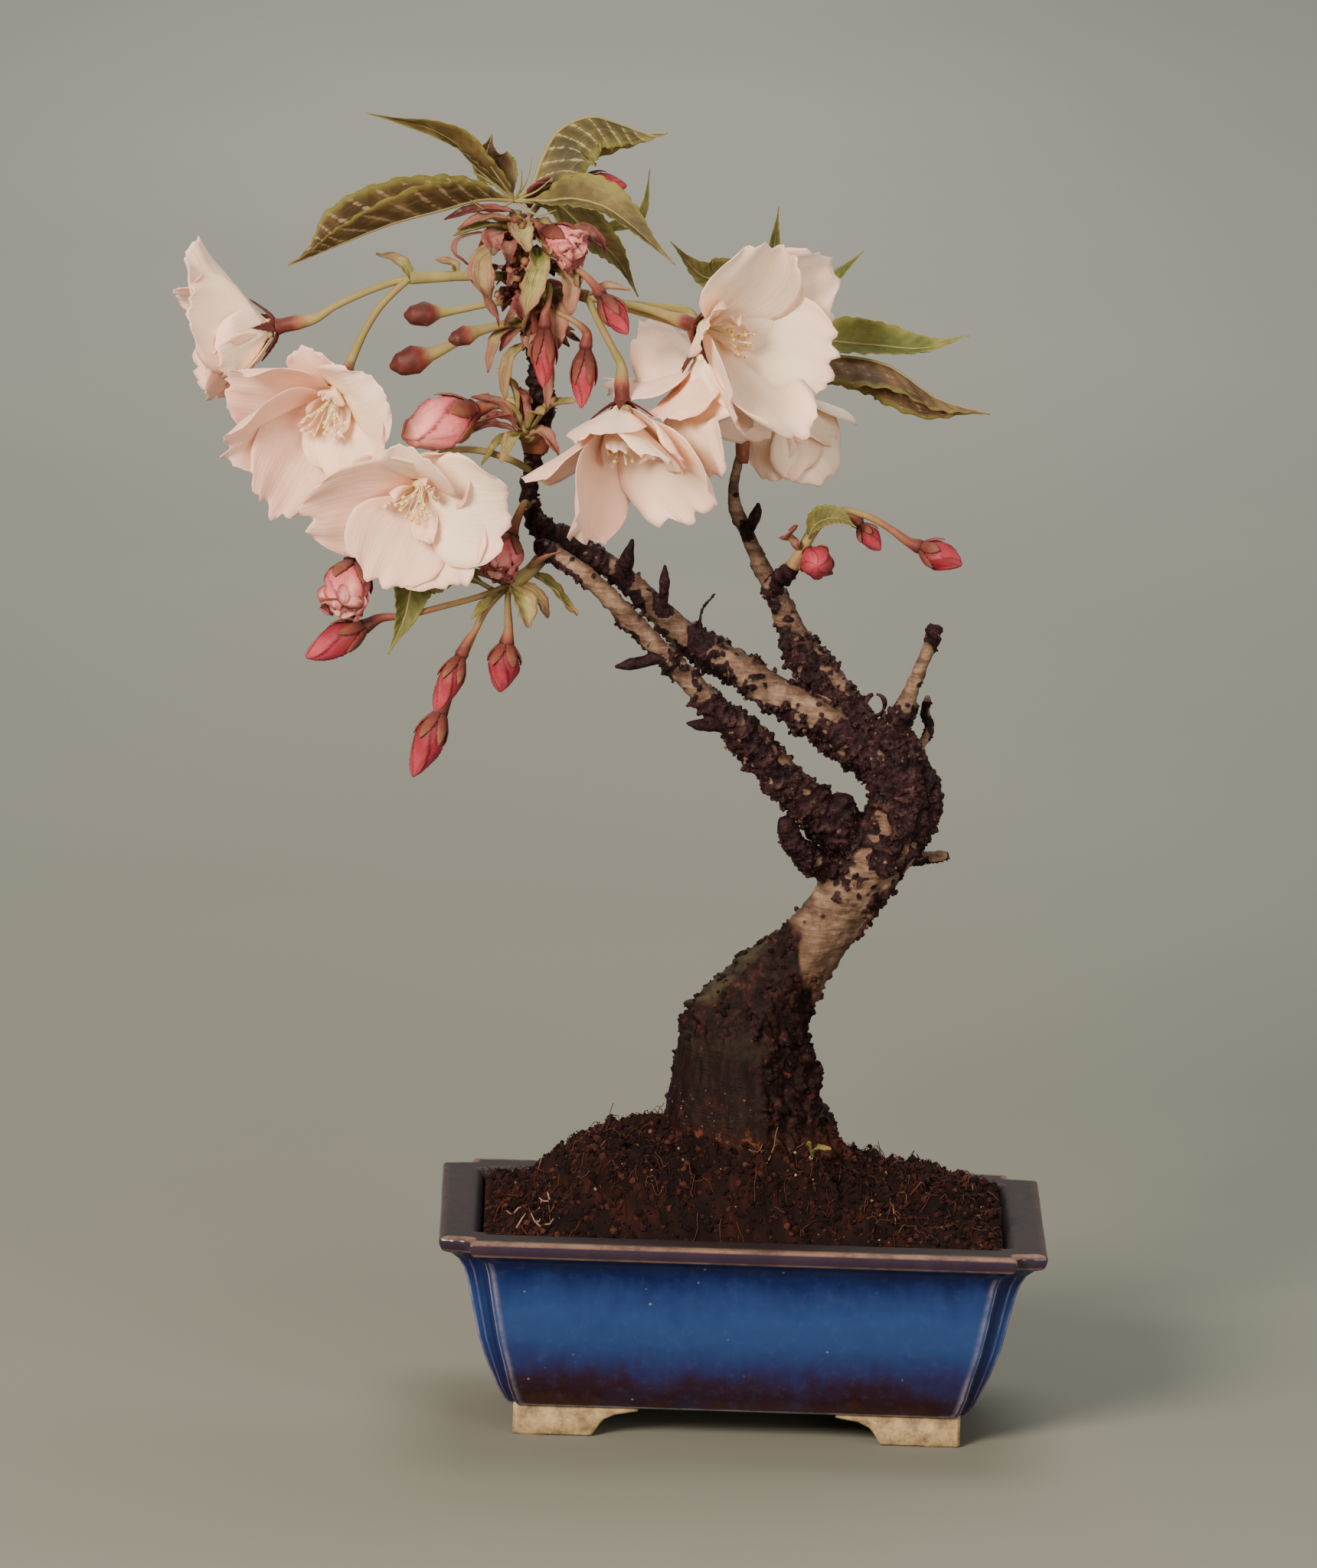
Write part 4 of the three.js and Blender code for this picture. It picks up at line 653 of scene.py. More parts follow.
def stamen_finish():
    """Pale threads with yellow anthers at their ends."""
    f = Finish("stamen", Subsurface_Weight=0.2, Subsurface_Scale=0.001, Roughness=0.5)
    base = f.ramp(f.u, [(0, "efe3b8"), (0.75, "f6edd2"), (0.9, "e9d498"), (1, "d6b068")])
    return f.finish(base, None, f.noise(2400, 2), 0.00008, 0.4)


GLAZE = glaze_finish()
SOIL = soil_finish()
BARK = bark_finish()
PETAL = petal_finish()
STAMEN = stamen_finish()
GROWTH = growth_finish()
SCALE = scale_finish()
LEAF = leaf_finish()
CORAL = bud_finish("coral_bud", "ad4450", "882431", "5a1a22", "3f0b15")
PINK = bud_finish("pink_bud", "e6a497", "cc7074", "9c3542", "75132a")


# ---------------------------------------------------------------- pot
POT_LENGTH, POT_DEPTH = 120, 76
# half length, height, notch along the front and along the side, worn edge, from underneath over the rim
POT_OUTSIDE = [
    [43.6, 6, 1.4, 1.4, 0], [44.6, 6.05, 1.6, 1.6, 0.3], [45.1, 6.35, 1.8, 1.8, 0.95],
    [45.4, 6.8, 1.9, 1.9, 0.1], [45.9, 7.4, 2, 2, 0], [47.6, 10.5, 2.6, 2.4, 0], [49.4, 15, 3.4, 2.8, 0],
    [51.2, 20.5, 3.8, 3, 0], [52.5, 26.5, 4, 3.2, 0], [53.6, 32, 4.2, 3.4, 0], [54.4, 34.7, 4.6, 3.7, 0],
    [55.5, 36.8, 5.1, 4, 0], [57, 38.2, 5.6, 4.2, 0], [58.3, 38.7, 5.9, 4.4, 0], [58.7, 38.92, 6, 4.5, 0.8],
    [58.95, 39.25, 6, 4.5, 0.7], [59.1, 39.6, 6, 4.5, 0], [59.35, 40.3, 6, 4.5, 0],
    [59.45, 41.05, 6, 4.5, 0], [59.3, 41.5, 6, 4.5, 0.95], [58.9, 41.78, 5.9, 4.4, 0.95],
    [58, 41.9, 5.5, 4.2, 0.75], [56, 41.98, 4.5, 3, 0], [53.6, 41.97, 2.8, 2.2, 0],
    [52.8, 41.85, 2.5, 2.1, 0.35], [52.2, 41.4, 2.3, 1.9, 0.2], [51.7, 40.6, 2.2, 1.8, 0],
    [51.4, 39, 2.2, 1.8, 0], [50.6, 36, 2, 1.6, 0]]
# the raised bead on the first face of a corner's notch: places along it, and how far each stands out
BEAD = ((0.36, 0), (0.5, 0.3), (0.64, 0))


def pot_ring(row, wall_inset):
    """Points round the pot at one height, with its stepped-in, softly rounded corners, and their painted
    highlights and shade.
    """
    x, z, notch_x, notch_y = row[:4]
    y = POT_DEPTH / 2 - (POT_LENGTH / 2 - x) - wall_inset
    corner = np.array([[x, y - notch_y], [x - notch_x * 0.85, y - notch_y * 0.8],
                       [x - notch_x, y - 0.6 * notch_y], [x - notch_x, y]])
    side_places = np.append(np.linspace(0, y - notch_y - 2, 12), y - notch_y - 0.95)
    front_places = np.insert(np.linspace(x - notch_x - 2, 0, 18), 0, x - notch_x - 0.95)
    side = [np.array([x, t]) for t in side_places]
    front = [np.array([t, y]) for t in front_places]
    bend = []
    stops = [side[-1], *corner, front[0]]
    for a, b, c in zip(stops, stops[1:], stops[2:]):
        ways = [(v - b) / max(1e-6, np.linalg.norm(v - b)) for v in (a, c)]
        reach = [min(0.6, np.linalg.norm(v - b) * 0.45) for v in (a, c)]
        start, end = b + ways[0] * reach[0], b + ways[1] * reach[1]
        bend += [(1 - t) ** 2 * start + 2 * t * (1 - t) * b + t * t * end for t in (0, 0.25, 0.5, 0.75, 1)]
    bead = [corner[0] + (corner[1] - corner[0]) * t + [rise * 0.3, rise] for t, rise in BEAD]
    quarter = np.array(side + bend[:5] + bead + bend[5:] + front[:-1])
    # painted highlights on each corner's ridges and bead, painted shade in its grooves and beside the bead
    ridge, groove_shade = [0.35, 0.85, 1, 0.85, 0.35], [-0.5, -1, -1, -1, -0.5]
    painted_corner_light = np.array([0] * (len(side) - 2) + [0.3, 0.7] + ridge + [-0.6, 0.75, -0.6] + groove_shade * 2 + ridge
                    + [0.85, 0.4] + [0] * (len(front) - 3))
    parts, painted_corner_lights = [], []
    for sx, sy in ((1, 1), (-1, 1), (-1, -1), (1, -1)):
        # every other quarter runs backwards, and the back ones leave out the point they share at the side
        picked = np.arange(0 if sy > 0 else 1, len(quarter))[::sx * sy]
        parts.append(quarter[picked] * [sx, sy])
        painted_corner_lights.append(painted_corner_light[picked])
    flat = np.concatenate(parts)
    return np.column_stack([flat, np.full(len(flat), z)]), np.concatenate(painted_corner_lights)


FRONT_FOOT = [[0, 0], [15.5, 0], [17.5, 3.2], [20, 4.4], [24.5, 5.2]]
SIDE_FOOT = [[0, 0], [9, 0], [10.5, 3.2], [12, 4.4], [14, 5.2]]
FOOT_CORNER = (43.9, 22.2)
FOOT_LEG = 7
FOOT_PLACES = 34
FOOT_TOP = 6.4
# how far in from the outer face each line of a foot's underside lies, and how far it is rounded up
FOOT_SECTION = ((0.0, 0.5), (0.35, 0.12), (0.9, 0), (FOOT_LEG - 0.9, 0), (FOOT_LEG, 0.3))


def add_foot(shape, sx, sy):
    """One bracket foot: a closed slab under a curved lower edge along each side of the corner."""
    for profile, along_x in ((FRONT_FOOT, True), (SIDE_FOOT, False)):
        reach = np.linspace(0, profile[-1][0], FOOT_PLACES)
        under = along(profile, reach)
        rows = []
        for inward, low_edge in FOOT_SECTION:
            start = np.where(reach < 0.01, 0.35, 0) * (inward < 1)
            out, deep = reach + start, np.full(FOOT_PLACES, inward)
            x, y = (out, deep) if along_x else (deep, out)
            x, y = (FOOT_CORNER[0] - x) * sx, (FOOT_CORNER[1] - y) * sy
            rows.append(np.column_stack([x, y, np.minimum(under + low_edge, FOOT_TOP - 0.2)]))
        top_out, top_in = rows[0].copy(), rows[-1].copy()
        top_out[:, 2] = top_in[:, 2] = FOOT_TOP
        rings = np.array([top_out] + rows + [top_in]).transpose(1, 0, 2)
        flip = (sx * sy > 0) != along_x
        add_rings(shape, rings[:, ::-1] if flip else rings, (0, 1, 0, 0))


def make_pot():
    """The pot's glazed outside, rim and upper inside, its bare clay underside, and its feet."""
    shape = Shape()
    fine = []
    for a, b in zip(POT_OUTSIDE, POT_OUTSIDE[1:]):
        steps = max(1, int(np.hypot(b[0] - a[0], b[1] - a[1]) / 0.9))
        fine += [np.array(a) + (np.array(b) - a) * k / steps for k in range(steps)]
    fine.append(np.array(POT_OUTSIDE[-1]))
    rows, wear_and_highlights, groove_shades, tops = [], [], [], []
    for row in fine:
        half, height, edge_wear = row[0], row[1], row[4]
        inner = half < 57.5 and height > 38.9
        inset = 1.4 * step(56, 52.6, half) if height > 38 else 0
        inset = 1.2 if height < 41.9 and inner else inset
        ring, mark = pot_ring(row, inset)
        rows.append(ring)
        # the corners' painted highlights show strongly on the body and faintly on the rim; their painted
        # shade fills the grooves
        corner_highlight_strength = (0.85 if height < 37.5 else 0.3) * (not inner)
        edge = edge_wear * np.where(np.abs(ring[:, 0]) > half - 0.2, 0.5, 1)
        wear_and_highlights.append(np.clip(np.maximum(edge, mark * corner_highlight_strength), 0, 1))
        groove_shades.append(np.clip(-mark, 0, 1) * (height < 38.5))
        tops.append(1.0 if inner else float(step(41.5, 41.8, height)))
    rings = np.array(rows)
    count, sides = rings.shape[:2]
    tint = np.zeros((count, sides, 4))
    tint[..., 0] = np.array(wear_and_highlights)
    tint[..., 2] = np.array(tops)[:, None]
    tint[..., 3] = np.array(groove_shades)
    sag = value_noise(rings, 26, 5)[..., None] * np.array([0.25, 0.25, 0.12]) * step(7, 12, rings[..., 2:3])
    inward = -np.sign(rings) * np.abs(sag)
    inward[..., 2] = -np.abs(sag[..., 2])
    shape.add(rings + inward, tint, grid_faces(count, sides, closed=True))
    hub = [[0, 0, rings[0][0][2]]]
    under = [[sides, (j + 1) % sides, j] for j in range(sides)]
    shape.add(np.concatenate([rings[0], hub]), (0, 1, 0, 0), under)
    for sx in (-1, 1):
        for sy in (-1, 1):
            add_foot(shape, sx, sy)
    make_object("glazed_pot", shape, GLAZE, "pot")


# ---------------------------------------------------------------- soil
SOIL_SEED = 11
MOUND_RIDGE = [[-52, 42], [-41, 46], [-31, 54.8], [-20, 58.2], [0, 59.7], [12, 57.4], [20, 52.9], [33, 50],
               [44, 47.3], [52, 43]]
SOIL_EDGE = 41
SOIL_HALF = (50.8, 27.7)
SOIL_GRID = (136, 74)
SOIL_BOTTOM = 37
SOIL_CRUMBS = 7000
# how many fibres, how thick, how long each of their steps is, and between which shades
SOIL_FIBRES = [(760, 0.14, 0.5, (0.5, 0.86)), (46, 0.17, 0.8, (0.78, 0.93))]
FIBRE_STEPS = 6
PALE_ROOTLETS = 9
ROOT_FOOT = [9, -9]


def soil_height(x, y):
    """Height of the soil: a ridge that falls to the rim, with clods and a heap at the trunk's foot."""
    fall = np.minimum(1, np.abs(y - 2) / 29) ** np.where(y < 2, 4, 2)
    crumb = 0.7 * np.sin(x * 0.9 + y * 0.7) + 0.5 * np.sin(x * 0.37 - y * 1.1)
    ridge = along(MOUND_RIDGE, x)
    spot = np.stack([x, y, np.zeros_like(x)], -1)
    clods = 1.3 * value_noise(spot, 5.5, 3) + 1.3 * value_noise(spot, 2.2, 4)
    clods = clods + 0.9 * value_noise(spot, 1.2, 5)
    heap = 2.4 * np.exp(-((x - ROOT_FOOT[0]) ** 2 + (y - ROOT_FOOT[1]) ** 2) / 40)
    heap = heap + 2.6 * np.exp(-((x + 1) ** 2 + (y + 18) ** 2) / 30)
    height = ridge + (SOIL_EDGE - ridge) * fall + crumb * (1 - fall)
    return height + clods * (0.4 + 0.6 * (1 - fall)) + heap - 0.4


def near_foot(spots):
    """How close to the trunk's foot each spot is, from 0 to 1."""
    return np.exp(-((spots[:, 0] - ROOT_FOOT[0]) ** 2 + (spots[:, 1] - ROOT_FOOT[1]) ** 2) / 110)


def add_curls(shape, rng, count, thick, stride, shades):
    """Root hairs and fibres that wander over the soil; a few rise from it."""
    knots = FIBRE_STEPS + 1
    for k in range(count):
        start = (rng.random(2) * 2 - 1) * (np.array(SOIL_HALF) - 2)
        heading = rng.random() * TAU
        pieces = [start]
        for _ in range(FIBRE_STEPS):
            heading += (rng.random() - 0.5) * 1.7
            way = np.array([math.cos(heading), math.sin(heading)])
            pieces.append(pieces[-1] + way * stride * (0.6 + rng.random()))
        flat = np.clip(np.array(pieces), -np.array(SOIL_HALF), SOIL_HALF)
        rise = soil_height(flat[:, 0], flat[:, 1]) + 0.35 + 0.6 * rng.random(knots)
        if k % 30 == 0:
            rise[3:] += np.array([0.8, 2.0, 3.0, 3.4]) * rng.random()
        tone = shades[0] + (shades[1] - shades[0]) * rng.random()
        radii = np.linspace(thick, thick * 0.5, knots)
        add_tube(shape, np.column_stack([flat, rise]), radii, 3, (tone, 0, 0, 0))


def make_soil():
    """The mound with its crumbs, the fibres and rootlets on it, and one seedling."""
    rng = np.random.default_rng(SOIL_SEED)
    shape = Shape()
    lines = [np.linspace(-half, half, places) for half, places in zip(SOIL_HALF, SOIL_GRID)]
    x, y = np.meshgrid(*lines, indexing="ij")
    top = np.stack([x, y, soil_height(x, y)], -1)
    edge = np.concatenate([top[:, 0], top[-1, 1:], top[-2::-1, -1], top[0, -2:0:-1]])
    low = edge.copy()
    low[:, 2] = SOIL_BOTTOM
    flat = np.stack([x, y, np.zeros_like(x)], -1)
    shade = np.clip(0.26 + 0.3 * value_noise(flat, 1.3, 6) + 0.16 * value_noise(flat, 4, 7), 0.02, 0.62)
    shape.add(top, first_only(shade), grid_faces(*SOIL_GRID, flip=True))
    shape.add([edge, low], (0.2, 0, 0, 0), grid_faces(2, len(edge), closed=True, flip=True))
    spots = (rng.random((SOIL_CRUMBS, 2)) * 2 - 1) * (np.array(SOIL_HALF) - 0.4)
    front = rng.random(SOIL_CRUMBS) < 0.3
    spots[front, 1] = -np.abs(spots[front, 1])
    sizes = 0.28 + 0.72 * rng.random(SOIL_CRUMBS) ** 2.4
    heights = soil_height(spots[:, 0], spots[:, 1]) + 0.25 * rng.random(SOIL_CRUMBS)
    shade = 0.76 * rng.random(SOIL_CRUMBS) ** 1.4 + 0.42 * near_foot(spots) * rng.random(SOIL_CRUMBS)
    pale = rng.random(SOIL_CRUMBS) < 0.022
    shade = np.where(pale, 0.86 + 0.14 * rng.random(SOIL_CRUMBS), shade)
    sizes = np.where(pale, sizes * 0.6, sizes)
    add_crumbs(shape, np.column_stack([spots, heights]), sizes, first_only(shade), rng, 0.6)
    make_object("soil_mound", shape, SOIL, "soil", smooth=False)
    fibres = Shape()
    for kind in SOIL_FIBRES:
        add_curls(fibres, rng, *kind)
    for k in range(PALE_ROOTLETS):
        start = np.array([-45 + 7 * draw(k), -19 - 6 * draw(k + 9)])
        way = np.array([math.cos(k * 1.9), math.sin(k * 1.9)]) * (0.8 + 0.8 * draw(k + 20))
        flat = np.array([start, start + way, start + way * 1.6])
        rise = soil_height(flat[:, 0], flat[:, 1]) + [0.3, 1.1, 1.6 + draw(k)]
        add_tube(fibres, np.column_stack([flat, rise]), [0.2, 0.17, 0.09], 5, (0.97, 0, 0, 0))
    make_object("soil_fibres", fibres, SOIL)
    sprout = Shape()
    add_scale(sprout, [[13, -19.5, 57], [14, -21, 59], [16.5, -22, 59.2]], 1.8, 0.02, seed=4)
    add_scale(sprout, [[13, -19.5, 57], [12.2, -20.5, 59.3], [11.8, -21.5, 60.4]], 1.3, 0.08, seed=5)
    make_object("soil_seedling", sprout, SCALE)


# ---------------------------------------------------------------- wood
TRUNK = [[3, 0, 47, 19], [1, 0, 54, 17.5], [-0.5, 0, 61.5, 16], [-0.5, 0, 69.5, 14.6], [-0.3, 0, 78, 13.4],
         [3, 0, 85, 10.6], [8, 0, 91.5, 8.2], [14, 0, 99, 6.5], [18.5, 0, 106, 6.6], [23, 0, 112.5, 7],
         [27, 0, 119, 6.9], [29, 0, 125, 6.9], [27.5, 0, 131, 6.3], [26, 0, 136, 5], [26, 0, 139.5, 3.6]]
SHOULDER = [[0, -2, 68, 9], [-5.5, -4, 78, 7.8], [-8.5, -4, 83, 5.2], [-10, -4, 85.5, 2.6]]
LOW_BRANCH = [[23, 0, 113.5, 4.5], [16, -2, 119, 4.6], [10.5, -4, 124.5, 4.2], [4.5, -6, 130.5, 4],
              [-2, -8, 137.5, 3.7], [-8.5, -10, 143.5, 3.1], [-14.5, -11, 150, 2.7], [-21, -12, 156.5, 2.5],
              [-28, -12, 163.5, 2.4], [-34, -11, 169, 2.4], [-39.5, -9, 172.5, 2.2], [-44, -4, 174, 2]]
MIDDLE_BRANCH = [[26.5, 2, 131.5, 5.7], [19, 3, 135.5, 4.9], [10.5, 4, 140.5, 4.5], [3, 5, 144.5, 4.1],
                 [-4.5, 6, 149, 3.6], [-12, 7, 153, 3.4], [-19, 7, 158.5, 3], [-25, 6, 164.5, 2.8],
                 [-31.5, 5, 169.5, 2.7], [-37.5, 4, 173, 2.5], [-43, 2, 175.5, 2.4]]
UPPER_STEM = [[-40, 3, 174, 2.4], [-44, 1.5, 176.5, 2.3], [-46, 2, 180, 2], [-46.5, 2, 185, 1.8],
              [-45.5, 2, 192.5, 1.9], [-44.5, 1, 199.5, 2.3], [-45, 0, 206.5, 2.4], [-46, -1, 213, 2.2]]
HIGH_BRANCH = [[22.5, 4, 134.5, 3.8], [17, 7, 141.5, 3.8], [13.5, 9, 146, 3.9], [10, 10, 149.5, 4],
               [7, 11, 154, 3.5], [4.5, 12, 159, 2.9], [2, 12, 164, 2.6], [0, 12, 167.5, 2.4],
               [-2, 12, 171.5, 2.1], [-4, 12, 176, 2.1], [-6, 11, 180, 1.9], [-6.5, 11, 183.5, 1.3],
               [-6, 11, 188, 1], [-5, 11, 193, 0.8]]
PRUNED_STUB = [[26, 1, 137, 3], [28, -1, 143, 2.7], [29.5, -2, 147.5, 2], [31, -3, 152, 1.8],
               [32.5, -3, 156, 1.9], [33.5, -4, 160.5, 1.2]]
# each limb's points, and how much of its bark is smooth and bare, as [place in the list, share]
LIMBS = [
    (TRUNK, [[5, 0.6], [6, 0.95], [7, 0.95], [8, 0.86], [9, 0.62], [9.7, 0.28], [10.5, 0.05], [14, 0]]),
    (SHOULDER, [[0, 0]]),
    (LOW_BRANCH, [[0, 0], [1.5, 0.1], [2.6, 0.3], [3.2, 0.5], [3.8, 0.2], [4.8, 0.15], [5.4, 0.5],
                  [6.2, 0.56], [6.8, 0.35], [7.4, 0.62], [8.3, 0.66], [9.3, 0.58], [10, 0.4], [11, 0.2]]),
    (MIDDLE_BRANCH, [[0, 0], [1.2, 0.12], [1.8, 0.5], [2.5, 0.66], [3.4, 0.62], [3.9, 0.3], [5.2, 0.22],
                     [5.7, 0.58], [6.5, 0.7], [7.4, 0.6], [8, 0.38], [10, 0.2]]),
    (UPPER_STEM, [[0, 0.15], [7, 0.2]]),
    (HIGH_BRANCH, [[0, 0], [2, 0.2], [3.3, 0.45], [4.5, 0.55], [5.5, 0.5], [6.3, 0.7], [7.2, 0.6], [8, 0.9],
                   [10, 0.95], [13, 0.8]]),
    (PRUNED_STUB, [[0, 0.1], [1, 0.6], [2, 1.1], [3, 1.1], [4, 0.95], [4.6, 0.1]]),
    ([[15, -2, 111, 3], [9, -8, 115.5, 2.7], [6.5, -10, 119, 2.2], [5.5, -11, 123, 1.2]], [[0, 0.1]]),
    ([[16.5, -3, 119, 3], [16.5, -4, 123, 3], [16.5, -5, 126, 2]], [[0, 0.1]]),
    ([[28.5, 3, 131, 1.4], [31.5, 5, 134.5, 1], [33.5, 6, 138, 0.9], [32.5, 6, 141.5, 1],
      [33, 5, 145, 0.7]], [[0, 0.65]]),
    ([[27, 2, 113.5, 2], [33, 4, 113, 1.5], [35.5, 4, 113, 1.3], [38, 4, 113.5, 0.8]],
     [[0, 0.2], [3, 0.8]]),
    ([[1, 10, 164.5, 2.2], [4, 6, 168, 1.8], [5.5, 4, 169.6, 1.5]], [[0, 0.2]]),
]
DORMANT_BUDS = [
    [[-27.5, 5, 166, 1.3], [-27, 3, 170.5, 1.6], [-26, 2, 175, 0.4]],
    [[-19.5, 5.5, 161, 0.9], [-19.5, 3, 166.5, 1.2], [-19.5, 3, 170, 0.35]],
    [[-12, 5, 155, 0.6], [-12, 3, 161, 0.4], [-9.5, 2, 164.5, 0.4]],
    [[-20, -12, 154, 1.1], [-25.5, -14, 153, 1.3], [-29, -15, 152.5, 0.4]],
    [[-8, -10, 140.5, 1.2], [-12, -12, 141, 1.3], [-14.5, -13, 141.5, 0.4]],
    [[-3.5, 11, 175, 1.1], [-2, 8, 179.5, 1.3], [-1.5, 7, 182, 0.4]],
]
WOOD_SEED = 7
# the trunk and its shoulder come first in the list, and are rounder and slightly fluted
THICK_LIMBS = 2
WOOD_VOXEL = 0.47
# how far the solid limbs stay under the bark's surface, to leave room for its warts
WART_ROOM = 0.55
POINTS_AT_ONCE = 4000
CRUST_FLAKES = 2200
PALE_SPECKS = 45
PEELED_RING = [22.6, 1, 143.6]


def limb_samples():
    """Points all along the limbs with their radius, their share of bare bark and whether they are buds."""
    out = []
    for points, bare in LIMBS + [(b, None) for b in DORMANT_BUDS]:
        path, where = spline(points, 8)
        radii = np.interp(where, np.arange(len(points)), [p[3] for p in points])
        share = np.full(len(path), 0.5) if bare is None else along(bare, where)
        out.append((path, radii, share, bare is None))
    return out


def remeshed(shape, voxel):
    """The overlapping closed shapes as one skin: its points, faces and normals, in millimetres."""
    mesh = bpy.data.meshes.new("rough_wood")
    mesh.from_pydata(np.concatenate(shape.points).tolist(), [], shape.faces)
    rough = new_object("rough_wood", mesh)
    remesh = rough.modifiers.new("remesh", "REMESH")
    remesh.mode = "VOXEL"
    remesh.voxel_size = voxel
    soften = rough.modifiers.new("soften", "SMOOTH")
    soften.factor = 0.5
    soften.iterations = 4
    done = rough.evaluated_get(bpy.context.evaluated_depsgraph_get()).to_mesh()
    points = np.empty(len(done.vertices) * 3)
    normals = np.empty(len(done.vertices) * 3)
    done.vertices.foreach_get("co", points)
    done.vertices.foreach_get("normal", normals)
    faces = [list(p.vertices) for p in done.polygons]
    bpy.data.objects.remove(rough)
    return points.reshape(-1, 3), faces, normals.reshape(-1, 3)


def along_limbs(points, limbs):
    """For each point: the closest limb's radius and way, a blend of the bare shares near by, and buds."""
    spots, radii, shares = (np.concatenate([limb[i] for limb in limbs]) for i in range(3))
    buds = np.concatenate([np.full(len(limb[0]), limb[3]) for limb in limbs])
    ways = np.concatenate([frames(limb[0])[0] for limb in limbs])
    near = np.empty(len(points), int)
    bare = np.empty(len(points))
    for start in range(0, len(points), POINTS_AT_ONCE):
        part = slice(start, start + POINTS_AT_ONCE)
        far = ((points[part, None] - spots[None]) ** 2).sum(-1)
        near[part] = np.argmin(far, axis=1)
        weight = np.exp(-far / (radii + 1.2) ** 2 * 1.5) + 1e-9
        bare[part] = (weight * shares).sum(1) / weight.sum(1)
    return radii[near], ways[near], bare, buds[near]


def lumps(points, size, share, seed):
    """Rounded lumps from 0 to 1 over the given share of the surface."""
    far, name = cells(points, size, seed)
    return step(0.66, 0.2, far) * step(-0.08, 0.08, share - name)


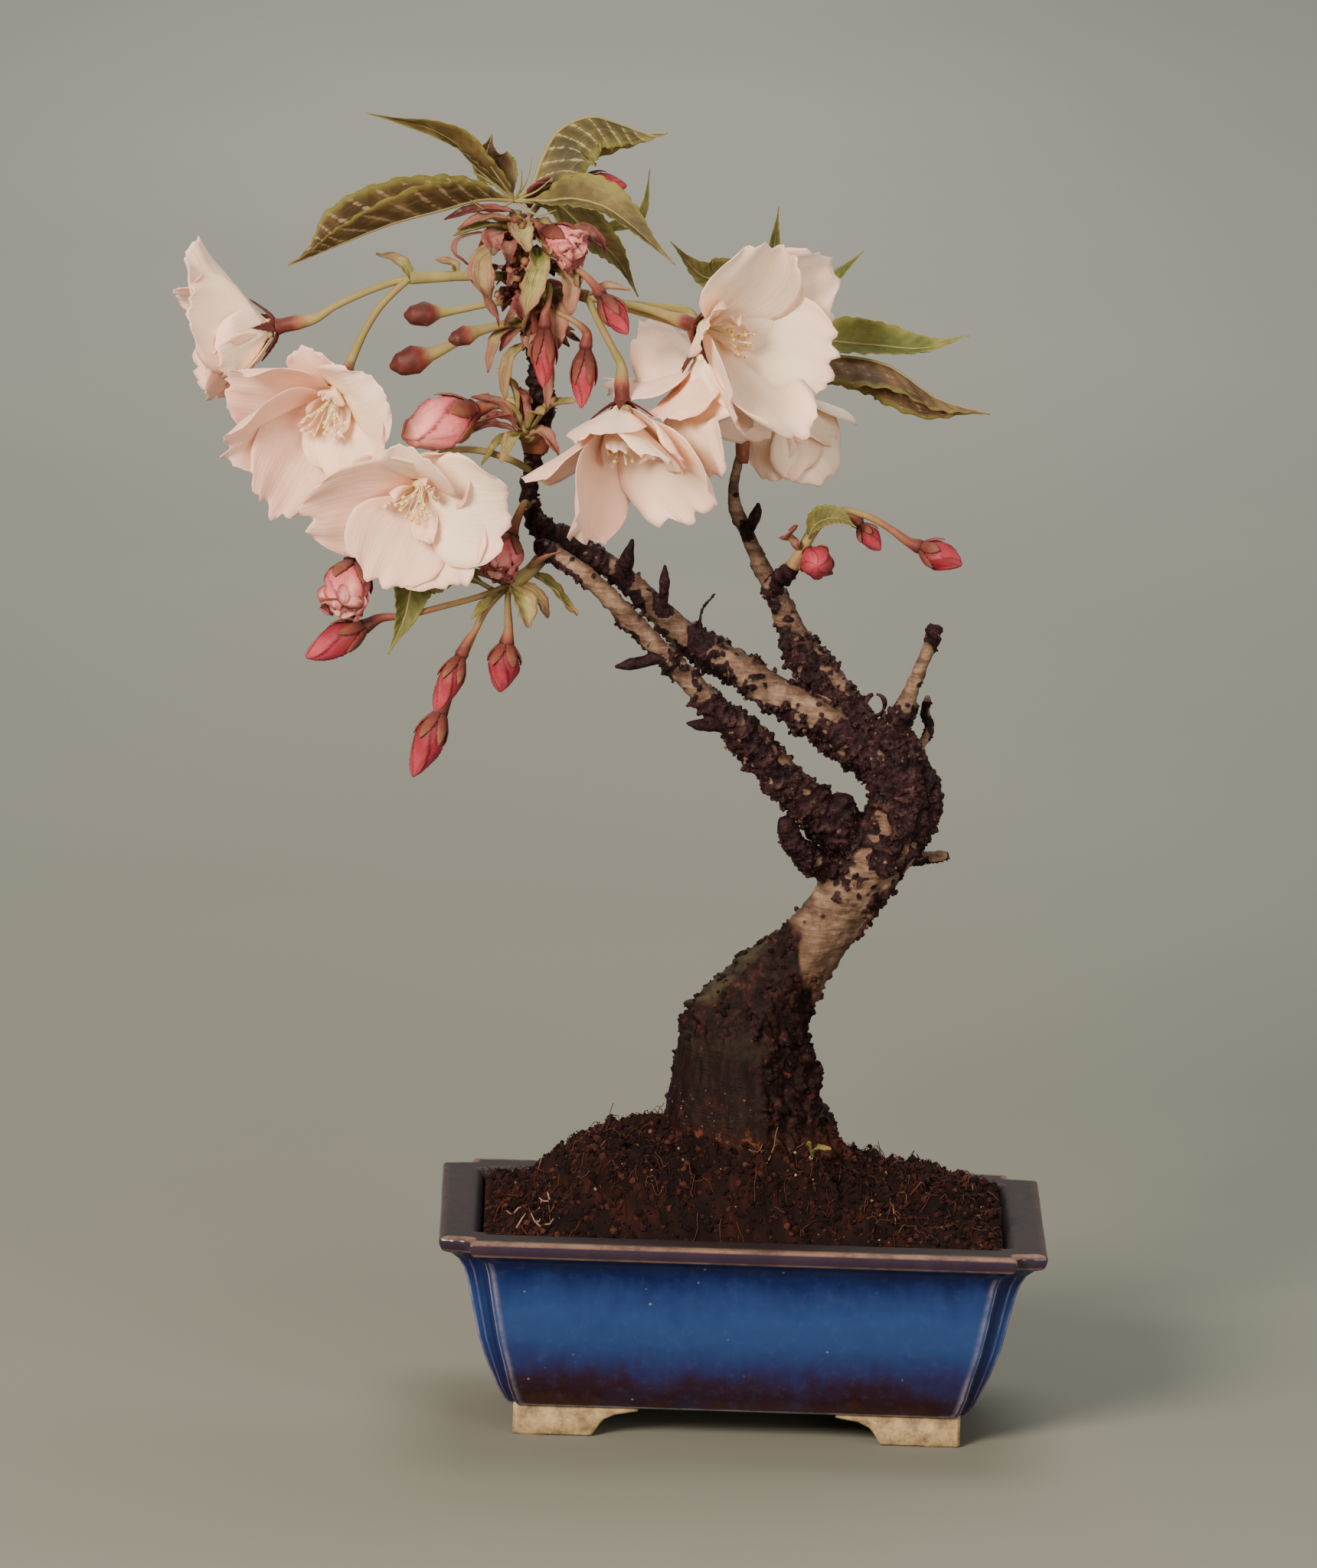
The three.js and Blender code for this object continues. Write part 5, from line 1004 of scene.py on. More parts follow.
def bark_parts(points, normals, bare, ways):
    """How far the bark stands out at each point, its tint there, and whether it carries crust."""
    height = points[:, 2]
    bent = points + 0.5 * np.stack([value_noise(points, 1.7, s) for s in (81, 82, 83)], -1)
    wobble = value_noise(points, 8, 21)
    # cork covers the foot and the shoulder, up to a ragged and steep edge
    past_edge = -0.945 * (points[:, 0] - 6.9) - 0.326 * (height - 101.1)
    corky = step(-1.7, 1.3, past_edge + 1.3 * wobble + 1.1 * value_noise(points, 2.4, 22))
    corky = corky * step(108, 102, height)
    # warts cover what isn't bare, more so on undersides and on the flanks of the smooth stretch
    warty = 1 - bare - 0.22 * normals[:, 2] + 0.42 * value_noise(points, 4.2, 23)
    warty = np.clip(warty, 0, 1) * (1 - corky)
    flank = step(0.35, 0.85, np.abs(normals[:, 0])) * step(93, 99, height) * step(122, 112, height)
    warty = np.maximum(warty, 0.75 * flank * step(-0.1, 0.3, wobble + 0.25 * value_noise(points, 3, 24)))
    cover = step(0.34, 0.66, warty + 0.34 * value_noise(bent, 1.3, 25))
    # they are lumps of three sizes, with ridges across the limb
    big = lumps(bent, 2.5, warty * 1.1, 31)
    small = lumps(bent, 1.55, warty, 41)
    dots = lumps(bent, 1.9, np.full(len(points), 0.28), 45) * (1 - corky)
    run = (bent * ways).sum(1)[:, None]
    across = value_noise(bent * 0.45 + ways * run * 0.9, 1.15, 47)
    ridged = step(-0.15, 0.35, across)
    # painted shade: bare bark darkens towards each limb's sides as seen from the front
    sideways = np.cross(ways, [0, -1, 0])
    sideways /= np.maximum(1e-6, np.linalg.norm(sideways, axis=1))[:, None]
    flank_shade = step(0.45, 0.98, np.abs((normals * sideways).sum(1)) + 0.2 * wobble)
    wart_relief = 0.15 * cover + cover * (0.75 * big + 0.4 * small + 0.45 * ridged) + 0.4 * dots
    # cork stands in upright knobs and chips, but for a calm patch at the front with fine striae and pits
    knobs = lumps(bent * [1, 1, 0.5], 2.7, np.full(len(points), 0.8), 51)
    chips = lumps(bent * [1, 1, 0.8], 1.3, np.full(len(points), 0.7), 61)
    front = step(4, -3, points[:, 1])
    calm = front * step(5.5, -1.5, points[:, 0] + 2.5 * wobble + 1.5 * value_noise(points, 2.2, 26))
    calm = calm * step(55, 59, height) * step(80, 75, height + 2 * wobble)
    pits = step(0.5, 0.2, cells(bent, 2.2, 65)[0]) * calm * step(72, 80, height)
    striae = value_noise(points * [1, 1, 0.16], 0.8, 66)
    sky = step(0.1, 0.6, normals[:, 2]) * step(76, 82, height)
    cork_relief = (1.35 * knobs + 0.75 * chips - 0.55) * (1 - 0.95 * calm) * (1 - 0.65 * sky)
    cork_relief = cork_relief + calm * (0.14 * striae - 0.5 * pits) - 0.5 * sky
    # moss lies on the shoulder's top and, thinly, over the top of the calm patch
    slope = normals @ np.array([-0.54, 0, 0.84])
    top = step(0.62, 0.9, slope + 0.15 * wobble) * step(83, 86, height) * step(5, 1, points[:, 0])
    moss = np.clip(0.8 * top * corky + 0.22 * calm * step(72, 79, height), 0, 1)
    # everything is finely rough, and smooth bark has level rings
    fine = 0.2 * value_noise(points, 1.1, 71) + 0.2 * value_noise(points, 2.6, 72)
    lines = 0.1 * value_noise(points * [0.3, 0.3, 1], 0.85, 73) * (1 - corky) * (1 - cover)
    lift = fine * 0.7 + lines + (1 - corky) * wart_relief + corky * cork_relief
    wart = np.clip(np.maximum(cover, dots * 0.7), 0, 1)
    # the last tint is calm on cork; elsewhere it is the paler tops of warts, partly wear and partly painted
    # highlight, and painted shade on the flanks of bare bark
    wart_tops_and_flank_shade = cover * (0.3 * big + 0.7 * ridged * (0.4 + small)) + (1 - cover) * flank_shade
    calm_and_painted_light = np.clip(np.where(corky > 0.5, calm, wart_tops_and_flank_shade), 0, 1)
    crusty = np.where(corky > 0.5, (1 - calm) * (knobs > 0.3), wart)
    return lift, np.stack([wart, corky, moss, calm_and_painted_light], -1), crusty


def make_wood():
    """The bark, one skin over all the limbs, and the crust of flakes, specks and a peeled ring on it."""
    rng = np.random.default_rng(WOOD_SEED)
    rough = Shape()
    limbs = limb_samples()
    for number, (path, radii, _, bud) in enumerate(limbs):
        thick = number < THICK_LIMBS
        sides = 28 if thick else 16
        wave = 0.05 * np.sin(np.arange(sides) / sides * TAU * 5 + 1) if thick else 0
        room = 0 if bud else WART_ROOM * step(0.8, 2.2, radii)
        add_tube(rough, path, (radii - room)[:, None] * (1 + wave), sides, (0, 0, 0, 0))
    points, faces, normals = remeshed(rough, WOOD_VOXEL)
    radius, ways, bare, bud = along_limbs(points, limbs)
    lift, tint, rough_spots = bark_parts(points, normals, bare, ways)
    # the painted flank shade and the paler wart tops are weaker on thin limbs
    tint[:, 3] *= np.where(tint[:, 1] < 0.5, 0.3 + 0.7 * step(1.6, 3.6, radius), 1)
    lift = np.where(bud, value_noise(points, 0.9, 3) * 0.12, lift * np.clip(0.25 + radius * 0.24, 0.45, 1))
    tint[bud] = [1, 0, 0, 0.2]
    points = points + normals * lift[:, None]
    shape = Shape()
    shape.points, shape.faces, shape.tints = [points], faces, [tint]
    make_object("wood", shape, BARK, "trunk")
    height = points[:, 2]
    crust = Shape()
    order = rng.permutation(len(points))
    chosen = order[(rough_spots[order] > 0.5) & ~bud[order] & (height[order] > 53)][:CRUST_FLAKES]
    count = len(chosen)
    corky = tint[chosen, 1]
    cork_sizes = 0.3 + 0.75 * rng.random(count) ** 1.6
    wart_sizes = 0.25 + 0.6 * rng.random(count) ** 1.4
    sizes = np.where(corky > 0.5, cork_sizes, wart_sizes) * np.clip(radius[chosen] / 3.4, 0.5, 1.1)
    pale = rng.random(count) < 0.1
    worn = 0.9 * rng.random(count) ** 2
    tints = np.column_stack([np.where(pale, 0.4, 1), corky, np.zeros(count), worn])
    add_crumbs(crust, points[chosen] + normals[chosen] * 0.1, sizes, tints, rng, 0.6)
    calm = (tint[:, 1] > 0.5) & (tint[:, 3] > 0.6) & (height < 68) & (height > 58)
    specks = rng.permutation(np.flatnonzero(calm))[:PALE_SPECKS]
    sizes = 0.12 + 0.22 * rng.random(len(specks))
    add_crumbs(crust, points[specks], sizes, np.zeros((len(specks), 4)), rng, 0.6)
    turn = np.linspace(0, TAU * 0.93, 30)
    x = 1.55 * np.cos(turn + 2) - 0.35 * np.sin(turn)
    z = 2 * np.sin(turn + 2) + 0.2 * np.cos(turn)
    ring = np.array(PEELED_RING) + np.column_stack([x, 0.5 * np.sin(turn * 2), z])
    add_tube(crust, ring, 0.42 + 0.12 * np.sin(turn * 3), 7, (0.75, 0, 0, 0.5))
    make_object("bark_crust", crust, BARK, smooth=False)


# ---------------------------------------------------------------- blooms
# centre, the way it faces, and its outer petals as tip, width and how far each bows out
BLOOMS = {
    "bloom_far_left": ([-97, 2, 214.5], [-0.94, 0.08, -0.25],
                       [([-114, 3, 231], 17, 9), ([-117, 14, 219], 16, 9), ([-113.5, -12, 220], 17, 9),
                        ([-113, 11, 203.5], 15, 8), ([-110.5, -5, 201.5], 16, 8)]),
    "bloom_left": ([-84, -7, 204.5], [-0.24, -0.82, -0.52],
                   [([-107, -12, 206], 19, 7), ([-107, -18, 193], 17, 8), ([-98, -15, 180], 17, 6),
                    ([-76, -23, 208], 17, 9), ([-76, -19, 192], 16, 8)]),
    "bloom_front_left": ([-67, -13, 187.5], [-0.2, -0.9, -0.4],
                         [([-91, -20, 182], 21, 8), ([-49.5, -21, 186], 20, 9), ([-60, -19, 167], 18, 7),
                          ([-76, -21, 168], 18, 7), ([-70, -29, 197], 15, 9)]),
    "bloom_front_right": ([-29, -10, 203.5], [0.05, -0.5, -0.86],
                          [([-48, -15, 189], 15, 9), ([-35, -19, 177], 21, 10), ([-12, -13, 182], 19, 10),
                           ([-19, -28, 195], 15, 9), ([-27, 6, 189], 17, 9)]),
    "bloom_big_right": ([-14.5, -12, 219.5], [0.75, -0.6, -0.15],
                        [([-1, -19, 238], 21, 8), ([11, -4, 232], 20, 9), ([13, -9, 212], 20, 9),
                         ([6, -23, 200], 20, 10), ([-6, -29, 203], 19, 9)]),
    "bloom_middle_right": ([-14, -2, 213], [0.3, -0.3, -0.9],
                           [([-33, 2, 206.5], 16, 6), ([-22.5, -13.5, 201.5], 16, 7),
                            ([-9.5, -13, 189.5], 17, 9), ([2, 3, 196], 16, 8),
                            ([-24.5, 9.5, 219.5], 16, 8)]),
    "bloom_back_right": ([1.5, 10, 203], [0.29, 0.56, -0.77],
                         [([3, 10, 185], 13.5, 7), ([12.5, 13, 186], 15, 7), ([15, 26, 196], 16, 7),
                          ([3, 31, 202], 16, 7), ([-3, 25, 190.5], 13.5, 7)]),
}
# how high the ring that carries the petals stands over the calyx
RING_TOP = 2.5
PETAL_HALF_WIDTH = [[0, 0.08], [0.1, 0.2], [0.22, 0.5], [0.36, 0.8], [0.52, 0.98], [0.7, 1], [0.86, 0.93],
                    [1, 0.72]]
PETAL_SPREAD = 1.16
# from this angle between two outer petals, one more is set behind them
WIDE_GAP = 1.25
INNER_PETALS = 3
STAMENS = 19
GOLDEN_TURN = 2.4


def petal_grid(centre, axis, tip, width, bow, layer, seed, ruffle=1.0, rows=25, columns=19):
    """Points of one petal: it leaves the calyx along the bloom's axis and flares out to its tip."""
    tip = np.array(tip, float)
    out = tip - centre
    length = np.linalg.norm(out)
    out = unit(out - axis * np.dot(out, axis))
    side = unit(np.cross(out, axis))
    start = centre + axis * (1.15 + layer) + out * 1.35
    bend = centre + axis * (bow + layer) + out * length * 0.34
    u, v = sheet_places(rows, columns)
    flat = np.zeros_like(v)
    notch = 0.055 * np.exp(-((v - 0.3 * (draw(seed) - 0.5)) / 0.12) ** 2)
    ragged = 0.035 * value_noise(np.stack([v * 4, flat + seed, flat], -1), 1, 3)
    ragged += 0.022 * value_noise(np.stack([v * 13, flat + seed, flat], -1), 1, 4)
    s = u * (0.985 - 0.15 * v ** 2 - notch + ragged * (0.5 + 0.5 * ruffle))
    tone = s[..., None]
    path = (1 - tone) ** 2 * start + 2 * tone * (1 - tone) * bend + tone ** 2 * tip
    tangent = 2 * (1 - tone) * (bend - start) + 2 * tone * (tip - bend)
    tangent /= np.linalg.norm(tangent, axis=-1, keepdims=True)
    face = np.cross(tangent, side)
    face /= np.linalg.norm(face, axis=-1, keepdims=True)
    face *= np.where((face @ axis) < 0, -1, 1)[..., None]
    half = width / 2 * along(PETAL_HALF_WIDTH, u)
    lift = half * (0.24 * v ** 2 + 0.2 * v) + 0.5 * u * np.sin(v * 3 + seed)
    phase = draw(seed + 3) * TAU
    waves = 0.6 * np.sin(v * 6.5 + phase) * np.abs(v) + 0.3 * np.sin(v * 13 + phase * 2) * u ** 2
    lift += ruffle * u ** 2 * waves
    lift += ruffle * 0.8 * u * value_noise(np.stack([u * 3, v * 2, flat + seed * 1.7], -1), 1, 8)
    lift -= 0.5 * np.exp(-(v / 0.1) ** 2) * (1 - 0.7 * u) * np.minimum(1, u * 4)
    curl = draw(seed + 7) - 0.35
    lift += curl * 1.5 * step(0.75, 1, u) * (0.4 + v ** 2)
    return path + side * (v * half)[..., None] + face * lift[..., None], u, v


def bloom_frame(name):
    """A bloom's centre, its axis, and two directions square to the axis."""
    axis = unit(BLOOMS[name][1])
    return np.array(BLOOMS[name][0], float), axis, *square_to(axis, [0.3, 0.2, 1])


def make_corolla(name, seed):
    """A bloom's outer petals, one more in each wide gap, small ones in the middle, and their ring."""
    centre, axis, across, up = bloom_frame(name)
    shape = Shape()
    outs = []
    for k, (tip, width, bow) in enumerate(BLOOMS[name][2]):
        grid, u, v = petal_grid(centre, axis, tip, width * PETAL_SPREAD, bow, k % 2, seed + k)
        outs.append(np.array(tip, float) - centre)
        way = unit(outs[-1])
        # petals pointing left and down get pinker and darker: partly painted shade, partly their own pink
        blush = np.clip(0.4 - 0.75 * way[0] - 0.4 * way[2] + 0.3 * (draw(seed + k) - 0.5), 0, 1)
        add_sheet(shape, grid, 0.3, u, v, blush)
    angles = np.array([math.atan2(out @ up, out @ across) for out in outs])
    order = np.argsort(angles)
    for k, (a, b) in enumerate(zip(order, np.roll(order, -1))):
        gap = (angles[b] - angles[a]) % TAU
        if gap < WIDE_GAP:
            continue
        rise = (outs[a] + outs[b]) @ axis / 2
        flat = (np.linalg.norm(outs[a]) + np.linalg.norm(outs[b])) / 2
        reach = math.sqrt(max(9, flat ** 2 - rise ** 2)) * (0.74 + 0.12 * draw(seed + k + 40))
        tip = centre + axis * (rise * 0.82 - 1.5) + spoke(across, up, angles[a] + gap / 2) * reach
        width = 12.5 + 4 * draw(seed + k + 50)
        grid, u, v = petal_grid(centre, axis, tip, width, 5.5, -0.35, seed + k + 20, 1.0, 18, 15)
        add_sheet(shape, grid, 0.28, u, v, draw(seed + k + 9))
    for k in range(INNER_PETALS):
        out = spoke(across, up, k * 2.1 + seed)
        tip = centre + axis * (10 + 2.5 * draw(seed + k + 60)) + out * (4 + 4 * draw(seed + k + 70))
        grid, u, v = petal_grid(centre, axis, tip, 5.6, 6, 0.8, seed + k + 80, 1.8, 16, 11)
        add_sheet(shape, grid, 0.28, u, v, draw(seed + k + 19))
    rings = [[centre + axis * rise + spoke(across, up, turn) * radius for turn in np.arange(16) / 16 * TAU]
             for rise, radius in ((0.7, 1.9), (RING_TOP - 0.3, 1.9), (RING_TOP, 1.6))]
    add_rings(shape, np.array(rings), (0, 0.5, 0, 1))
    make_object(f"{name}_corolla", shape, PETAL, f"{name}_petals")


def make_stamens(name, seed):
    """A bloom's threads with an anther at the end of each; the first one is the thicker style."""
    centre, axis, across, up = bloom_frame(name)
    shape = Shape()
    t = np.linspace(0, 1, 7)
    for k in range(STAMENS):
        style = k == 0
        spread = 0 if style else 0.12 + 0.24 * draw(seed + k)
        long = 9.5 if style else 5.2 + 3.8 * draw(seed * 2 + k)
        away = 0.25 if style else 0.5 + 0.5 * draw(k + 5)
        lean = spoke(across, up, k * GOLDEN_TURN)
        rise, out, sway = 2.7 + t * long, away + spread * long * t ** 1.6, 0.5 * np.sin(t * 4 + k) * t
        path = centre + np.outer(rise, axis) + np.outer(out, lean) + np.outer(sway, np.cross(lean, axis))
        add_tube(shape, path, np.linspace(0.17, 0.1, 7) * (1.7 if style else 1), 5, first_only(t * 0.7))
        way = unit(path[-1] - path[-2] + lean * 0.02)
        anther = np.array([path[-1] + way * s for s in (-0.5, -0.3, 0, 0.3, 0.5)])
        radii = np.array([0.12, 0.85, 1, 0.85, 0.12]) * (0.3 if style else 0.45)
        add_tube(shape, anther, radii, 6, (0.97, 0, 0, 0))
    make_object(f"{name}_threads", shape, STAMEN, f"{name}_stamens")


# ---------------------------------------------------------------- stalks, calyces and buds
SEPALS = 5
SEPAL_LENGTH, SEPAL_WIDTH = 5.2, 2.4
# how far below a bloom's centre, and the calyx tube's radius there
CALYX_NECK = [(8, 0.95), (4.4, 1.5), (1.6, 1.45), (0.2, 1.75)]


def stalk_path(table, per=6):
    """Points on a spline through a table of points with radii, their radii, and how far along each is."""
    path, where = spline(table, per)
    radii = np.interp(where, np.arange(len(table)), [row[3] for row in table])
    return path, radii, np.linspace(0, 1, len(path))


def growth_tint(t, number, shade):
    """Tints along a stalk, with a number for the stalk and how red-brown it is at each place."""
    return np.column_stack([t, t * 0 + 0.5, t * 0 + number, shade])


def add_sepal(shape, root, out, axis, seed):
    """A pointed sepal with a toothed edge that leaves the calyx mouth along the petals."""
    side = unit(np.cross(axis, out))
    u, v = sheet_places(12, 5)
    half = SEPAL_WIDTH / 2 * np.interp(u, [0, 0.25, 0.6, 1], [0.9, 1, 0.6, 0.06])
    half = half * (1 + 0.14 * in_turn(12) * (u > 0.2) * (u < 0.95))
    rise = 3.8 * u ** 1.3 - 0.25 * v ** 2
    grid = root + out * (u * SEPAL_LENGTH)[..., None] + axis * rise[..., None]
    grid = grid + side * (v * half)[..., None]
    add_sheet(shape, grid, 0.28, u, v, draw(seed), mark=0.74 + 0.12 * u)


def add_bloom_stalk(shape, bloom, points):
    """A bloom's stalk, its calyx tube and the sepals at the tube's mouth."""
    centre, axis, across, up = bloom_frame(bloom)
    neck = [[*(centre - axis * back), radius] for back, radius in CALYX_NECK]
    path, radii, t = stalk_path([[*p, 0.72] for p in points] + neck)
    tint = growth_tint(t, draw(len(bloom)), 0.3 + 0.5 * step(0.55, 0.8, t))
    add_tube(shape, path, radii, 12, tint)
    for k in range(SEPALS):
        out = spoke(across, up, k / SEPALS * TAU)
        add_sepal(shape, centre + out * 1.3 - axis * 0.1, out, axis, k + len(bloom))


# base, tip, widest radius, kind
BUDS = {
    "bud_half_open": ([-58, -6, 200.5], [-71.5, -12, 196], 5.2, "pink"),
    "bud_crumpled_left": ([-80.2, -7, 170], [-82.7, -12, 160], 4.6, "pink"),
    "bud_crumpled_middle": ([-50, -6, 176], [-53, -10, 168.5], 3.9, "pink"),
    "bud_low_left": ([-78, -8, 157.5], [-89, -10, 151.5], 3.2, "coral"),
    "bud_hanging_upper": ([-59, -8.5, 152], [-63.5, -10.5, 141.5], 2.4, "coral"),
    "bud_hanging_lower": ([-62.5, -4, 140], [-67.5, -5, 127.5], 3, "coral"),
    "bud_hanging_right": ([-50, -8, 155], [-51, -8, 145.5], 3.1, "coral"),
    "bud_sprig_round": ([10, 2, 172], [10, -5, 172], 3.2, "coral"),
    "bud_sprig_small": ([18.5, 4, 178.5], [22.5, 3, 174], 2, "coral"),
    "bud_sprig_end": ([30.5, 2, 175], [38.5, 1, 172], 2.9, "coral"),
    "bud_crown_right": ([-33.5, -14, 225], [-28.5, -17, 218.5], 2.4, "coral"),
    "bud_crown_middle": ([-44.5, -12.5, 218], [-44.5, -14, 207], 2.3, "coral"),
    "bud_crown_low": ([-36.5, -11, 214], [-37, -13, 203], 2.3, "coral"),
    "bud_crown_top": ([-39, 4, 243.5], [-29.5, 6, 244], 2.8, "coral"),
    "bud_crown_front": ([-45, -8, 236.5], [-37.5, -12, 233], 3.4, "pink"),
}
BUD_OUTLINE = [[0, 0.34], [0.08, 0.55], [0.2, 0.82], [0.33, 0.96], [0.46, 1], [0.62, 0.88], [0.78, 0.66],
               [0.9, 0.42], [1, 0.1]]
BUD_RINGS, BUD_SIDES = 34, 60
TORN_PETALS = 7


def bud_axes(base, tip):
    """A bud's base, axis and length, and two directions square to the axis."""
    base, tip = np.array(base, float), np.array(tip, float)
    axis = unit(tip - base)
    return base, axis, np.linalg.norm(tip - base), *square_to(axis, [0.1, 1, 0.2])


def make_bud(name, base, tip, radius, kind, seed):
    """An ovoid of rolled petals: each wraps half round the next, with a raised free edge.

    The pink ones are double blooms about to open, so their petal edges come out crumpled."""
    base, axis, length, across, up = bud_axes(base, tip)
    open_bud = kind == "pink"
    torn = open_bud and name != "bud_half_open"
    turns = np.arange(BUD_SIDES) / BUD_SIDES * TAU
    t, turn = np.meshgrid(np.linspace(0, 1, BUD_RINGS), turns, indexing="ij")
    petals = 4 if open_bud else 5
    phase = (turn * petals / TAU + t * 1.3 + draw(seed)) % 1
    roll = 0.17 * (1 - phase) ** 4 * step(0.1, 0.3, t) + 0.03 * np.sin(phase * math.pi)
    spot = np.stack([np.cos(turn) * 1.4, np.sin(turn) * 1.4, t * 2.2 + seed], -1)
    crumple = value_noise(spot, 0.55, 5) * (0.16 if torn else 0.035) * step(0.2, 0.6, t)
    outline = along(BUD_OUTLINE, t)
    if open_bud:
        outline = np.maximum(outline, 0.6 * step(0.2, 0.7, t) * step(1.04, 0.86, t))
    r = radius * outline * (0.93 + roll + crumple)
    level = length * (t + (0.06 * value_noise(spot, 0.4, 6) * step(0.7, 1, t) if torn else 0))
    rings = base + axis * np.minimum(level, length)[..., None]
    rings = rings + across * (np.cos(turn) * r)[..., None] + up * (np.sin(turn) * r)[..., None]
    edge = step(0.2, 0.0, phase) * step(0.15, 0.4, t)
    shape = Shape()
    add_rings(shape, rings, np.stack([t, turn / TAU, t * 0 + draw(seed + 1), edge], -1))
    for k in range(TORN_PETALS if torn else 0):
        out = spoke(across, up, k * GOLDEN_TURN + seed)
        far = 0.5 + 0.4 * draw(seed + k)
        end = base + axis * length * (0.9 + 0.12 * draw(seed + k + 5)) + out * radius * far
        width = radius * (1.3 + 0.7 * draw(k))
        start = base + axis * length * 0.25
        grid, u, v = petal_grid(start, axis, end, width, length * 0.3, 0.2, seed + k, 2.2, 12, 11)
        margin = step(0.7, 1, np.maximum(u, np.abs(v)))
        add_sheet(shape, grid, 0.26, u * 0.6 + 0.4, v, draw(k), mark=margin)
    material, slot = (PINK, "pale_bud") if open_bud else (CORAL, "bud")
    make_object(f"{name}_bloom", shape, material, name)


def add_bud_stalk(shape, name, points, thick=0.62, shade=0.8, cover=0.46):
    """A bud's stalk, calyx tube and five sepals that clasp the bud."""
    base, tip, radius, _ = BUDS[name]
    base, axis, length, across, up = bud_axes(base, tip)
    neck = [(max(2.5, length * 0.3), thick + 0.3), (1.0, thick + 0.75), (0.25, radius * 0.5)]
    neck = [[*(base - axis * back), wide] for back, wide in neck]
    path, radii, t = stalk_path([[*p, thick] for p in points] + neck)
    add_tube(shape, path, radii, 12, growth_tint(t, draw(radius), 0.25 + (shade - 0.15) * t))
    u, v = sheet_places(12, 7)
    level = u * cover - 0.04
    width = 0.62 * np.interp(u, [0, 0.3, 0.7, 1], [1, 0.95, 0.55, 0.04])
    width = width * (1 + 0.08 * in_turn(12) * (u > 0.2))
    r = radius * 1.03 * along(BUD_OUTLINE, np.maximum(level, 0)) + 0.34 - 0.12 * v ** 2
    for k in range(SEPALS):
        angle = k / SEPALS * TAU + 0.3 + v * width
        out = across * np.cos(angle)[..., None] + up * np.sin(angle)[..., None]
        grid = base + axis * (level * length)[..., None] + out * r[..., None]
        add_sheet(shape, grid, 0.3, u, v, draw(k), mark=shade - 0.25 * u)


# ---------------------------------------------------------------- leaves and scales
LEAF_OUTLINE = [[0, 0.05], [0.08, 0.1], [0.15, 0.35], [0.28, 0.78], [0.42, 1], [0.56, 0.93], [0.7, 0.66],
                [0.8, 0.38], [0.88, 0.17], [0.94, 0.08], [1, 0.02]]
SCALE_OUTLINE = [[0, 0.35], [0.3, 0.9], [0.5, 1], [0.75, 0.75], [0.92, 0.42], [1, 0.15]]


def blade_grid(spine, width, up, fold, spin, outline, rows, columns, tooth, teeth, pleat=0.0, cup=0.0):
    """Points of a blade along its spine. `up` is where its halves lean to, by the angle `fold`."""
    path, _ = spline(spine, 40)
    path = path[np.linspace(0, len(path) - 1, rows).astype(int)]
    tangent = np.gradient(path, axis=0)
    tangent /= np.linalg.norm(tangent, axis=1)[:, None]
    u, v = sheet_places(rows, columns)
    side = np.cross(tangent, np.array(up, float))
    side /= np.linalg.norm(side, axis=1)[:, None]
    turn = spin * u[:, :1]
    side = side * np.cos(turn) + np.cross(tangent, side) * np.sin(turn)
    face = np.cross(side, tangent)
    half = np.maximum(0.12, width / 2 * along(outline, u[:, 0]))[:, None]
    saw = (u * teeth) % 1
    toothed = np.sign(v) * tooth * step(0.75, 1, np.abs(v)) * (saw - 0.35)
    reach = v + toothed * step(0.08, 0.16, u) * step(1, 0.93, u)
    wave = np.sin(TAU * (u * VEINS - np.abs(v) * VEIN_SLANT * (1 - 0.3 * u)))
    rise = np.abs(v) * half * math.sin(fold) + pleat * wave * np.minimum(1, half / 2) * np.abs(v) ** 0.6
    rise = rise + 0.12 * half * np.sin(u * 9 + v * 1.5) * v ** 2 + cup * half * v ** 2
    sideways = side[:, None] * (reach * half * math.cos(fold))[..., None]
    return path[:, None] + sideways + face[:, None] * rise[..., None], u, v


def add_leaf(shape, spine, width, up=(0, -0.3, 1), fold=0.35, green=0.5, spin=0.0, contrast=0.5):
    """A toothed leaf, pleated at its side veins, and its midrib. contrast is how much the veins and the
    painted shade in the pleats show.
    """
    teeth = max(10, int(width * 2))
    rows = teeth * 3 + 1
    grid, u, v = blade_grid(spine, width, up, fold, spin, LEAF_OUTLINE, rows, 17, 0.12, teeth, 0.26, 0.2)
    add_sheet(shape, grid, 0.26, u, v, green, mark=np.full_like(u, contrast))
    path, _ = spline(spine, 8)
    radius = np.linspace(0.42, 0.1, len(path)) * min(1.3, width / 7)
    add_tube(shape, path, radius, 6, (0, 0.5, green, 0))


def add_scale(shape, spine, width, shade, spin=0.0, seed=0):
    """A small cupped scale or bract, from green at shade 0 to red-brown at 1."""
    grid, u, v = blade_grid(spine, width, (0, -0.3, 1), 0.25, spin, SCALE_OUTLINE, 17, 9, 0.2, 7, cup=0.45)
    grid = grid + 0.4 * value_noise(grid, 1.5, seed)[..., None] * [1, -1, 1]
    add_sheet(shape, grid, 0.25, u, v, shade)


CROWN_AXIS = [[-46, -1, 213.4, 1.9], [-46.5, -2, 219, 2.2], [-47.5, -2.5, 225, 2.4], [-49, -2.5, 231, 2.1],
              [-50.5, -2, 237, 1.5], [-51, -2, 239.6, 1.1]]
